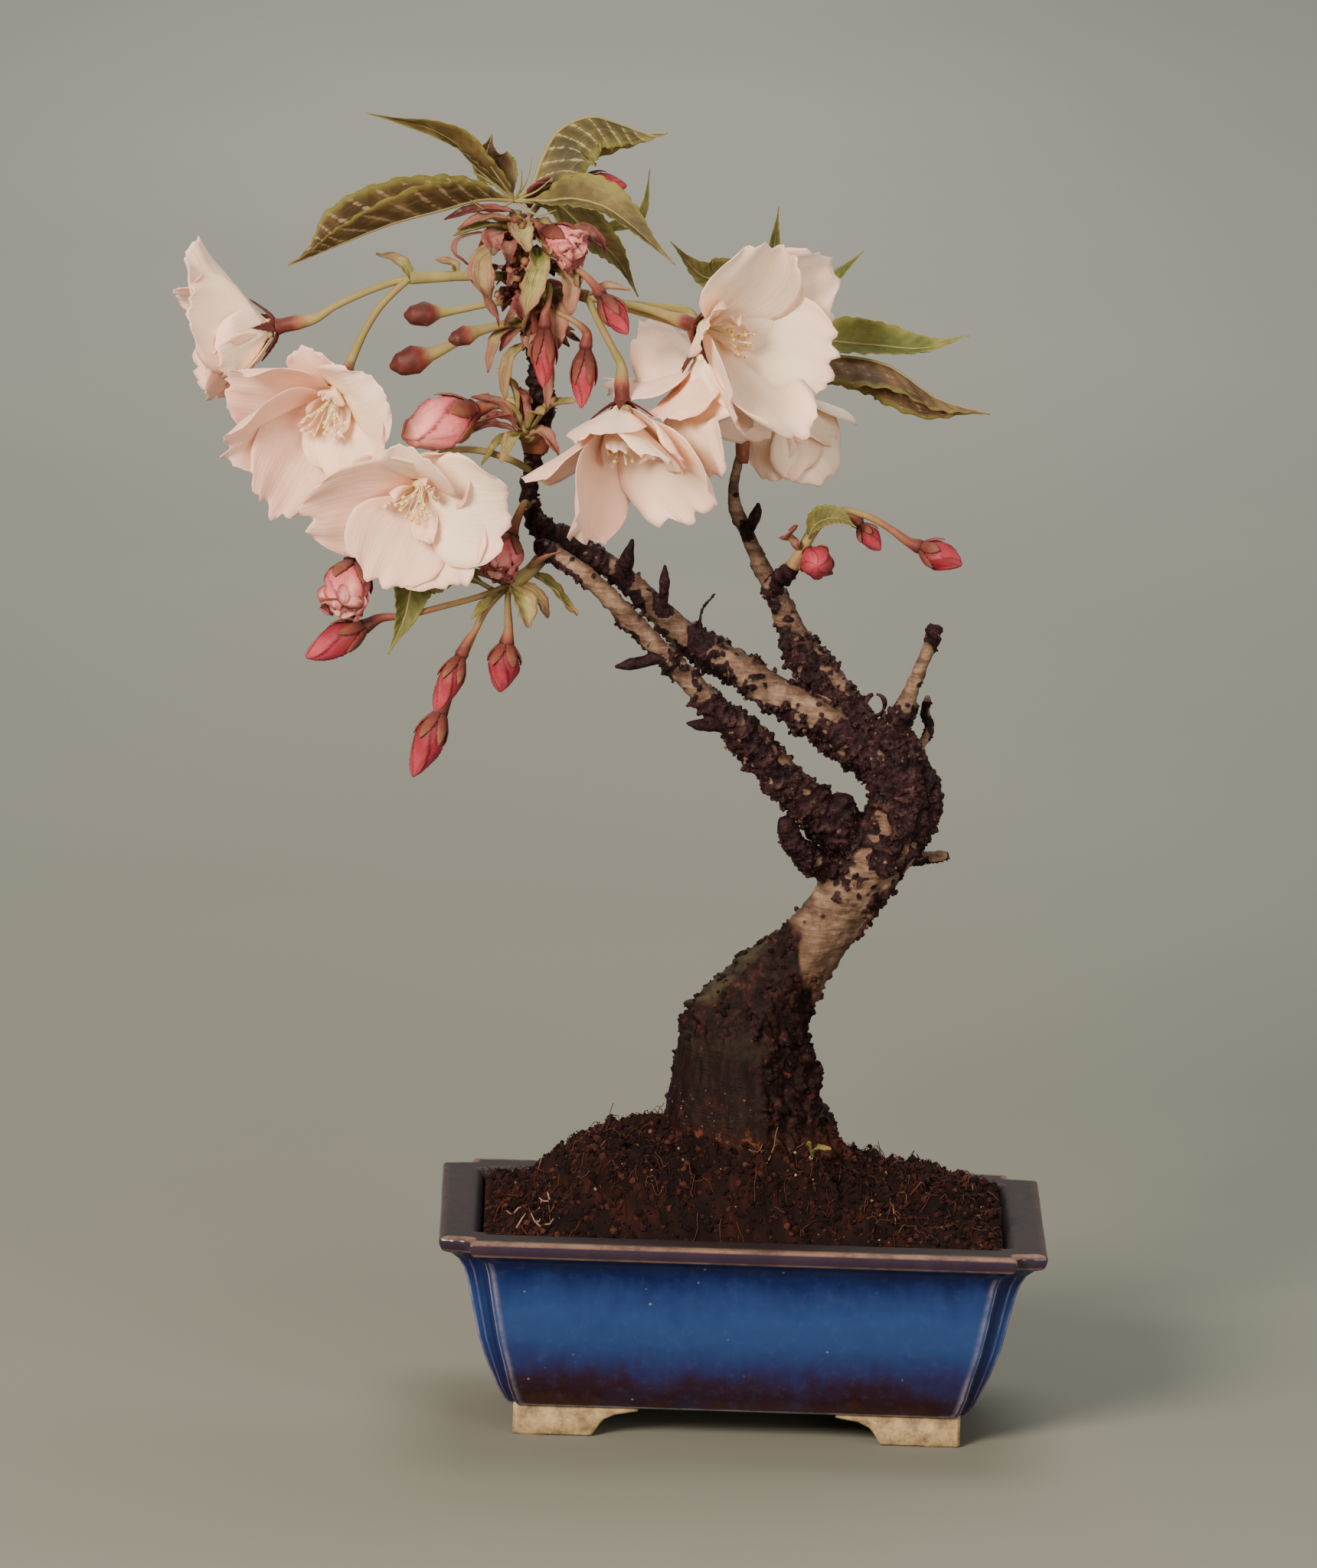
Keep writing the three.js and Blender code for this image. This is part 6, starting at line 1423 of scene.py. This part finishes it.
# spine, width and shade
CROWN_SCALES = [
    ([[-51, -4, 239.5], [-58, -7, 240], [-64.5, -9, 238.5]], 3.2, 0.85),
    ([[-51, -5, 238], [-57, -8, 238.5], [-62, -9, 236.5]], 3, 0.6),
    ([[-52, -5, 236.5], [-57, -8, 237], [-62.5, -9, 235.5]], 2.8, 0),
    ([[-55, -6, 236], [-62, -9, 234.5], [-62.5, -10, 231.5], [-58, -9, 229.5]], 1.2, 0.7),
    ([[-52, -6, 233.5], [-56.5, -9, 231], [-57, -11, 225.5], [-53.5, -9, 218]], 5.2, 0.5),
    ([[-46.5, -6, 233], [-46, -11, 230], [-47, -12.5, 224], [-48.5, -11, 217.5]], 4.9, 0.3),
    ([[-49, -5, 238], [-49.5, -9, 236.5], [-48.5, -12, 233]], 4.6, 0.3),
    ([[-46, -6, 235], [-45, -11, 235], [-44, -13, 233]], 3, 0.2),
    ([[-52, -5, 235], [-55, -9, 235], [-55, -11, 232]], 4.5, 0.7),
    ([[-51, -5, 234], [-52.5, -10, 234], [-52, -12, 231]], 4, 0.75),
    ([[-48, -1, 240], [-46.5, -3, 244], [-44, -5, 246]], 4.5, 1.0),
    ([[-45, -4, 232], [-41, -9, 231], [-38.5, -11, 226.5]], 4.2, 0.35),
    ([[-44, -4, 229], [-40, -9, 227.5], [-39.5, -11, 221]], 4.5, 0.45),
    ([[-43, -3, 235], [-37, -6, 236], [-33, -8, 233]], 4, 0.8),
    ([[-47, -5, 224], [-49, -9, 222], [-48, -10, 216.5]], 4, 0.85),
    ([[-45, -4, 222], [-42.5, -9, 220.5], [-42, -10, 214]], 4.5, 0.6),
    ([[-47, -3, 214], [-51, -6, 211], [-52, -7, 203]], 3, 0.4),
    ([[-45, -3, 214], [-44, -7, 210], [-43.5, -8, 202]], 3, 0.5),
    ([[-49, -2, 217], [-53.5, -5, 215], [-55.5, -6, 208]], 2.6, 0.45),
]
CROWN_BUD_STALKS = [
    ("bud_crown_right", [[-47.5, -2.5, 228], [-42, -7, 230], [-38, -11, 229.5]]),
    ("bud_crown_middle", [[-47, -2.5, 225], [-44, -8, 226], [-44, -11, 223.5]]),
    ("bud_crown_low", [[-47, -3, 220], [-43, -8, 221], [-38.5, -11, 219.5]]),
    ("bud_crown_top", [[-50, -1, 235.5], [-47.5, 4.5, 238.5], [-44.5, 5, 242]]),
    ("bud_crown_front", [[-49, -2.5, 231], [-48.5, -5, 234.5]]),
]
CLOSED_BUDS = [
    [[-46, -2, 219, 0.6], [-53, -3, 217.5, 0.6], [-62, -5, 213.5, 0.8], [-66.5, -6, 211.5, 1.4],
     [-69.5, -7, 210.5, 2.9], [-72.6, -7.6, 209.5, 2.2], [-74.3, -8, 209, 0.5]],
    [[-47, -2, 221.5, 0.6], [-54, -3, 221.5, 0.6], [-62, -3.5, 219.8, 0.7], [-65, -4, 219.5, 1.2],
     [-67.7, -5, 219.2, 2.5], [-70.6, -5.7, 219, 1.8], [-71.9, -6, 219, 0.4]],
    [[-46, -2, 217, 0.6], [-52, -4.5, 217.5, 0.6], [-57.5, -7, 216.5, 1.1], [-59.8, -8.3, 215.8, 2],
     [-62, -9.5, 215.2, 1.4], [-63, -10, 215, 0.4]],
]
CROWN_HUB = [-51.2, -2, 241.6]
CROWN_LEAVES = [
    ([CROWN_HUB, [-53.5, -3, 243.8], [-59.3, -4.5, 248.8], [-63.2, -6, 253], [-68, -8, 256],
      [-74, -9, 257.6], [-80.5, -10, 259]], 8,
     dict(up=(0.6, -0.5, 0.6), fold=1.0, spin=-1.0, green=0.3, contrast=0.3)),
    ([CROWN_HUB, [-54, 2, 245], [-56.9, 4, 248.8], [-56, 5, 253.5]], 9,
     dict(up=(0.3, -0.9, 0.1), green=0, contrast=0.3)),
    ([CROWN_HUB, [-48, 0, 244], [-46, 2, 249.5], [-43, 4, 254.6], [-37, 6, 257.2], [-31, 8, 255.6],
      [-26.5, 9, 254], [-21.8, 10, 254]], 17, dict(up=(0, -0.25, -1), fold=1.0, green=0.45, contrast=0.85)),
    ([CROWN_HUB, [-57.6, -6, 242.2], [-65.4, -10, 240.5], [-75.2, -14, 238], [-85, -17, 234.1],
      [-89, -18, 232.4], [-94.5, -19, 230]], 15,
     dict(up=(0, -0.3, 1), fold=1.05, green=0.22, contrast=0.85)),
    ([CROWN_HUB, [-45, -8, 242.5], [-40, -11, 243.6], [-34, -14, 242.8], [-29.7, -16, 240.5],
      [-25.2, -18, 237.1], [-19.8, -19, 232.7]], 9.5,
     dict(up=(0.2, -0.75, 0.7), fold=0.5, green=0.4, contrast=0.3)),
    ([CROWN_HUB, [-44.5, 1.6, 241.5], [-37, 3, 235.2], [-31, 6, 229.5], [-26.5, 7, 222]], 8.5,
     dict(up=(0.6, -0.8, 0.2), green=0.5, contrast=0.5)),
    ([[-37, 3, 235.2], [-31, 7, 236], [-26.5, 8.5, 238], [-25, 9, 247]], 3,
     dict(up=(0, -1, 0.2), green=0.8)),
]
STIPULES = [[[-57, -4, 246], [-60, -5, 247.5]], [[-54, -6, 246], [-56, -8, 249]],
            [[-50, -6, 245], [-50, -9, 249]], [[-47, -5, 244], [-44, -7, 247]],
            [[-46, -3, 242], [-42, -4, 245.5]], [[-57, -1, 243.5], [-62, -1, 244.5]],
            [[-56, -6, 240], [-60, -8, 242.5]], [[-49, 2, 245], [-48, 4, 250]],
            [[-46.5, -6, 239.5], [-43, -8.5, 241]]]


CROWN_SEED = 8
CROWN_SIDE_SCALES = 60
# dark crumbs that fill the middle of the crown: partly bud scale, partly painted shade in its hollow
CROWN_SHADE_CLUMP = 60


def crown_side_scales():
    """Scales set by a rule round the crown's shoot: spine, width and shade."""
    path, _ = spline(CROWN_AXIS, 6)
    _, across, up = frames(path)
    out = []
    for k in range(CROWN_SIDE_SCALES):
        i = 1 + (k * 7) % (len(path) - 3)
        way = spoke(across[i], up[i], 0.6 + k * GOLDEN_TURN)
        long = 3.5 + 5.5 * draw(k + 50)
        rise = 3 * draw(k + 70) - 1
        start = path[i] + way * 1.1
        middle = path[i] + way * long * 0.55 + [0, 0, rise + 1.4]
        end = path[i] + way * long + [0, 0, rise - 2 * draw(k + 80)]
        out.append(([start, middle, end], 1.8 + 1.8 * draw(k + 90), 0.1 + 0.9 * draw(k + 33)))
    return out


def make_crown():
    """The crown's shoot with its closed buds and bud stalks, its scales, and its leaves and stipules."""
    shoot = Shape()
    path, radii, t = stalk_path(CROWN_AXIS)
    add_tube(shoot, path, radii * (1 + 0.12 * np.sin(t * 60)), 16, growth_tint(t, 0, 0.75 - 0.6 * t))
    rng = np.random.default_rng(CROWN_SEED)
    # painted shade: dark crumbs fill the hollow in the middle of the crown, partly as crumpled bud scale
    shade_clump = np.array([-49.5, -6, 229.5]) + rng.normal(0, 1, (CROWN_SHADE_CLUMP, 3)) * [2.6, 1.8, 4]
    sizes = rng.uniform(0.7, 1.3, CROWN_SHADE_CLUMP)
    tints = [[0, 0.5, 0, 0.5 + 0.5 * draw(k)] for k in range(CROWN_SHADE_CLUMP)]
    add_crumbs(shoot, shade_clump, sizes, tints, rng, 0.7)
    for points in CLOSED_BUDS:
        path, radii, t = stalk_path(points)
        turn = np.arange(30) / 30 * TAU
        roll = 1 + 0.1 * ((turn[None] * 5 / TAU + t[:, None] * 5) % 1 - 0.5) * step(0.6, 0.8, t)[:, None]
        tint = growth_tint(t, 0.3, 0.3 + 0.55 * step(0.45, 0.7, t))
        add_tube(shoot, path, radii[:, None] * roll, 30, tint)
    for name, points in CROWN_BUD_STALKS:
        add_bud_stalk(shoot, name, points, 0.6, 0.85, 0.64)
    make_object("crown_shoot_stalks", shoot, GROWTH, "crown_shoot")
    scales = Shape()
    for k, (spine, width, shade) in enumerate(CROWN_SCALES + crown_side_scales()):
        add_scale(scales, spine, width, shade, seed=k)
    make_object("crown_scales", scales, SCALE)
    leaves = Shape()
    for spine, width, options in CROWN_LEAVES:
        add_leaf(leaves, spine, width, **options)
    for middle, end in STIPULES:
        path, _ = spline([CROWN_HUB, middle, end], 6)
        add_tube(leaves, path, np.linspace(0.34, 0.08, len(path)), 6, (0, 0.5, 0.8, 0.5))
    make_object("crown_foliage", leaves, LEAF, "crown_leaves")


def add_stem(shape, table, shade_from, shade_to):
    """A stem through a table of points with radii, going from one shade to another."""
    path, radii, t = stalk_path(table, 8)
    add_tube(shape, path, radii, 12, growth_tint(t, 0, shade_from + (shade_to - shade_from) * t))


LEFT_KNOT = [-71, -7, 226.5]
RIGHT_KNOT = [-36.5, -7, 224]
ROSETTE = [-47.5, -2.5, 196]
LOW_KNOT = [-50, -7, 166.5]
LEAF_KNOT = [-4.5, 12, 199]
ROSETTE_TIPS = [[-58.5, -8, 203.5], [-53.5, -6, 209], [-38, -9, 203.5], [-52, -9, 191], [-60.5, -6, 195],
                [-55, 6, 201], [-44, -9, 201], [-41, -7, 192.5], [-57, -10, 199], [-49, -8, 206],
                [-50, 5, 204], [-42, 8, 199], [-56, -7, 190]]
SPRAY_SCALES = [
    ([LEFT_KNOT, [-73, -6, 229], [-78, -5, 230.5]], 3, 0.3),
    ([[-62, -6, 227], [-63, -5, 229], [-66, -5, 230]], 2.5, 0.4),
    ([RIGHT_KNOT, [-33, -9, 226], [-28, -10, 226]], 2.6, 0.4),
    ([LOW_KNOT, [-54, -10, 163], [-57, -12, 160.5]], 2.6, 0.1),
    ([LOW_KNOT, [-45, -8, 164], [-42, -8, 160.5]], 5, 0.35),
    ([[-46, -5, 169], [-41, -4, 165], [-36.5, -5, 160.5]], 3.4, 0.1),
    ([[-46, -5, 169], [-43, -8, 172], [-40, -10, 174]], 3.6, 0.5),
    ([LOW_KNOT, [-56, -3, 170], [-61, -2, 172.5]], 4, 0.15),
    ([LOW_KNOT, [-47, -11, 163.5], [-46, -12, 159]], 4.5, 0.3),
    ([[7, 3.5, 173], [4.5, 1, 175.5], [6, -0.5, 179]], 3.6, 0.7),
    ([[7, 3.5, 172.5], [11, 4.5, 168.5], [13.5, 3, 169]], 2.6, 0.6),
    ([[-4.8, 11, 196], [-8, 8, 198.5], [-10, 5, 197.5]], 2.6, 0.4),
]
SMALL_LEAVES = [
    ([[-53, -6.5, 165.5], [-61, -4, 168.5], [-68, -7, 167], [-70, -9, 160], [-73, -10, 152.5]], 9,
     dict(up=(0.2, -0.9, 0.2), green=0.8)),
    ([[8, 3.5, 175], [10, 0, 179.5], [14, -2, 181], [17.5, -3, 179.5]], 5.5,
     dict(up=(-0.3, -0.7, 0.6), green=0.7)),
]
RIGHT_LEAVES = [
    ([[-3, 17, 216], [-8, 17, 224], [-14, 16, 225], [-20.5, 14, 232]], 8,
     dict(up=(0.3, -0.8, 0.5), green=0.6)),
    ([[-3, 17, 216], [5, 18, 219], [11.5, 18, 224.5], [17.5, 17, 231]], 5,
     dict(up=(-0.5, -0.8, 0.3), green=1.0)),
    ([[-3, 17, 215], [-0.5, 20, 224], [0, 19, 232], [0.5, 18, 239]], 3, dict(up=(0, -1, 0.1), green=0.7)),
    ([[-3, 16.5, 212], [8, 16, 213], [20, 12.5, 213], [30, 11, 213], [38.5, 10, 216]], 9,
     dict(up=(0, -0.75, 0.65), fold=0.5, green=1.0, contrast=0.2)),
    ([[-3, 15.5, 209.5], [8, 13, 210.5], [22, 8, 210], [33, 7, 203.5], [43, 7, 201]], 13,
     dict(up=(0, -0.5, -1), fold=0.9, green=0.05, contrast=0.64)),
]


def make_growth(name, node, stems=(), blooms=(), buds=()):
    """One piece of stems, and of the stalks that carry blooms and buds."""
    shape = Shape()
    for stem in stems:
        add_stem(shape, *stem)
    for stalk in blooms:
        add_bloom_stalk(shape, *stalk)
    for stalk in buds:
        add_bud_stalk(shape, *stalk)
    make_object(name, shape, GROWTH, node)


def make_leaves(name, node, leaves):
    """One piece of leaves, each given by its spine, width and options."""
    shape = Shape()
    for spine, width, options in leaves:
        add_leaf(shape, spine, width, **options)
    make_object(name, shape, LEAF, node)


def make_spray_scales():
    """The scales round the rosette, and those on the sprays."""
    scales = Shape()
    for k, tip in enumerate(ROSETTE_TIPS):
        root = np.array([-45.5, 2, 195] if tip[1] > 4 else ROSETTE, float)
        tip = np.array(tip, float)
        start = root + (tip - root) * 0.14
        bend = root + (tip - root) * 0.5 + [0, 0, 2]
        add_scale(scales, [start, bend, tip], 3.6 - 0.1 * k, 0.05 + 0.75 * draw(k + 8), spin=0.2, seed=k)
    for k, (spine, width, shade) in enumerate(SPRAY_SCALES):
        add_scale(scales, spine, width, shade, seed=k + 30)
    make_object("spray_scales", scales, SCALE)


def make_sprays():
    """The stalks, scales and leaves of every spray below and beside the crown."""
    make_growth("left_spray", "left_spray_stalks",
                [([[-50.5, -2.5, 226.5, 1.1], [-54, -4, 227, 1], [-62, -6, 227, 1], [*LEFT_KNOT, 1.3]],
                  0.2, 0.25)],
                [("bloom_far_left", [LEFT_KNOT, [-75, -5, 225], [-81, -2, 222], [-86, 0, 219]]),
                 ("bloom_left", [LEFT_KNOT, [-73.5, -6, 224], [-76.5, -5, 220.5], [-79.5, -2.5, 215]])])
    make_growth("middle_stalk", "middle_bloom_stalk", blooms=[
        ("bloom_front_left", [[-46.5, 1, 188], [-50, -3, 190.5], [-56, -4.5, 192.5], [-61, -4.5, 192.5]])])
    make_growth("middle_bud_growth", "middle_bud_stalk",
                buds=[("bud_crumpled_middle", [[-46.5, 1, 181], [-47.5, -3, 182]], 0.7)])
    make_growth("right_spray", "right_spray_stalks",
                [([[-44.5, -3.5, 223, 1.1], [-41, -5, 224.5, 1], [*RIGHT_KNOT, 1.3]], 0.3, 0.45)],
                [("bloom_big_right", [RIGHT_KNOT, [-30, -7.5, 223], [-25, -7, 222]]),
                 ("bloom_middle_right", [RIGHT_KNOT, [-30, -4, 222.5], [-23, -1, 221.5]]),
                 ("bloom_front_right", [RIGHT_KNOT, [-34, -7.5, 219], [-31, -6.5, 213.5]]),
                 ("bloom_back_right", [RIGHT_KNOT, [-29, -1, 221], [-18, 5, 217], [-8, 6, 212.5]])])
    make_growth("rosette_growth", "middle_rosette",
                [([[-45.6, 2, 191.5, 2.4], [-45.5, 1.9, 194.5, 3.3], [-45.2, 1.8, 197.5, 2.5]], 0.6, 0.7),
                 ([[-46, 0.5, 195.5, 2.2], [*ROSETTE, 2]], 0.5, 0.4)],
                buds=[("bud_half_open", [ROSETTE, [-50.5, -3.5, 201]], 0.9)])
    make_spray_scales()
    make_growth("low_spray_growth", "low_spray",
                [([[-44, -3, 171, 1.4], [-46, -5, 169, 1.3], [*LOW_KNOT, 1.6]], 0.5, 0.2)],
                buds=[("bud_low_left", [LOW_KNOT, [-55, -8, 164.5], [-63, -8, 162], [-70, -8, 160]],
                       0.62, 0.85),
                      ("bud_hanging_upper", [LOW_KNOT, [-54, -8.5, 162], [-56, -8.5, 158]]),
                      ("bud_hanging_lower", [LOW_KNOT, [-54, -4, 162], [-57.5, -2.5, 153],
                                             [-60, -2.5, 147]]),
                      ("bud_hanging_right", [LOW_KNOT, [-50, -8, 163]]),
                      ("bud_crumpled_left", [LOW_KNOT, [-54, -5, 168], [-65, -3, 170], [-77, -3, 173.5]])])
    make_growth("sprig_growth", "sprig_stalk",
                [([[5.5, 4, 170, 1.5], [7, 3.5, 173, 1.2], [9, 3.5, 177, 1.1], [11.5, 4, 180, 1],
                   [14, 4.5, 180.8, 0.9]], 0.5, 0.2)],
                buds=[("bud_sprig_round", [[7, 3.5, 173], [8.5, 5, 173.5]], 0.8),
                      ("bud_sprig_small", [[11.5, 4, 180], [14, 4.5, 181]], 0.7),
                      ("bud_sprig_end", [[11.5, 4, 180], [14.5, 4, 181.5], [20, 3.5, 180.5],
                                         [24, 3, 178.5]], 0.7)])
    make_leaves("small_foliage", None, SMALL_LEAVES)
    make_growth("leaf_shoot_stem", None,
                [([[-5, 11, 189, 1.2], [-5, 11.5, 194, 1.5], [*LEAF_KNOT, 1.4], [-3, 15, 208, 1],
                   [-3, 17, 217, 0.8]], 0.7, 0.1)])
    make_leaves("leaf_shoot_blades", "right_leaf_shoot", RIGHT_LEAVES)


# ---------------------------------------------------------------- everything
make_pot()
make_soil()
make_wood()
for index, bloom_name in enumerate(BLOOMS):
    make_corolla(bloom_name, index * 10)
    make_stamens(bloom_name, index * 10)
for index, (bud_name, bud) in enumerate(BUDS.items()):
    make_bud(bud_name, *bud, index * 3)
make_crown()
make_sprays()

screen = Finish("screen_mesh", Roughness=0.5)
wires = screen.mix(screen.noise(900, 3), "15171a", "2a2d30")
screen_material = screen.finish(wires, None, screen.noise(2500, 2), 0.0001, 0.3)
for side in ("left", "right"):
    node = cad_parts[f"drain_screen_{side}"]
    node.data.materials.clear()
    node.data.materials.append(screen_material)


# ---------------------------------------------------------------- floor, lights and camera
FLOOR_REACH = 5
floor_mesh = bpy.data.meshes.new("floor")
corners = [(x * FLOOR_REACH, y * FLOOR_REACH, 0) for x, y in ((-1, -1), (1, -1), (1, 1), (-1, 1))]
floor_mesh.from_pydata(corners, [], [(0, 1, 2, 3)])
paper = Finish("floor_paper", Roughness=0.85, Specular_IOR_Level=0.1)
cloud = paper.noise(2.2, 3)
# painted light: the floor grows lighter further back
rise = paper.fit(paper.level("Y"), 0.0, 2.0)
# painted shade: the floor darkens to the left and right of the pot
side_shade = paper.fit(paper.maths("ABSOLUTE", paper.plus(paper.level("X"), 0.02)), 0.03, 0.3)
shade = paper.mix(rise, paper.mix(cloud, "686a62", "7b7a70"), paper.mix(cloud, "93958f", "a5a39c"))
floor_mesh.materials.append(paper.finish(paper.mix(paper.times(side_shade, 0.45), shade, "6f7570")))
new_object("floor", floor_mesh)

world = bpy.data.worlds.new("studio")
bpy.context.scene.world = world
world.use_nodes = True
world.node_tree.nodes["Background"].inputs["Color"].default_value = colour("d9dcd6")
world.node_tree.nodes["Background"].inputs["Strength"].default_value = 0.45


def stand(name, data, place, right, up, back):
    """A light or camera at a place, looking away from its back."""
    made = new_object(name, data)
    made.matrix_world = Matrix([[right[i], up[i], back[i], place[i]] for i in range(3)] + [[0, 0, 0, 1]])
    return made


def add_light(name, place, target, size, power, shade):
    """A round light at a place, in metres, turned to its target."""
    light = bpy.data.lights.new(name, "AREA")
    light.shape = "DISK"
    light.size = size
    light.energy = power
    light.color = colour(shade)[:3]
    back = unit(np.array(place) - target)
    right = unit(np.cross([0, 0, 1], back))
    stand(name, light, place, right, np.cross(back, right), back)


# place and target in metres, size in metres, power in watts, colour
LIGHTS = {
    "key": ((-0.75, -1.3, 0.85), (0, 0, 0.2), 0.6, 58, "fff0dc"),
    "fill": ((1.2, -1.6, 0.6), (0, 0, 0.2), 1.2, 22, "fff2e4"),
    "top": ((0.2, 0.5, 1.9), (0, 0, 0.12), 1.0, 22, "fffaf2"),
    "far_floor": ((0.1, 1.8, 1.5), (0, 1.8, 0), 1.2, 15, "fffaf2"),
}
for light_name, light in LIGHTS.items():
    add_light(light_name, *light)

CAMERA_AZIMUTH, CAMERA_ELEVATION, CAMERA_ROLL = (math.radians(a) for a in (-0.6, 11.3, 1.96))
CAMERA_DISTANCE = 2600
CAMERA_TARGET = np.array([-19.35, 0, 126.6])
FOCAL_PIXELS, FRAME_HEIGHT = 17319, 2048
SENSOR = 36
level_x, level_y = math.cos(CAMERA_AZIMUTH), math.sin(CAMERA_AZIMUTH)
back = np.array([level_y * math.cos(CAMERA_ELEVATION), -level_x * math.cos(CAMERA_ELEVATION),
                 math.sin(CAMERA_ELEVATION)])
right = np.array([level_x, level_y, 0])
up = np.cross(back, right)
camera_data = bpy.data.cameras.new("camera")
camera_data.sensor_width = SENSOR
camera_data.lens = SENSOR * FOCAL_PIXELS / FRAME_HEIGHT
camera_data.clip_end = 50
eye = (CAMERA_TARGET + back * CAMERA_DISTANCE) * MM + POT_MIDDLE
bpy.context.scene.camera = stand("camera", camera_data, eye, spoke(right, up, CAMERA_ROLL),
                                 spoke(up, -right, CAMERA_ROLL), back)
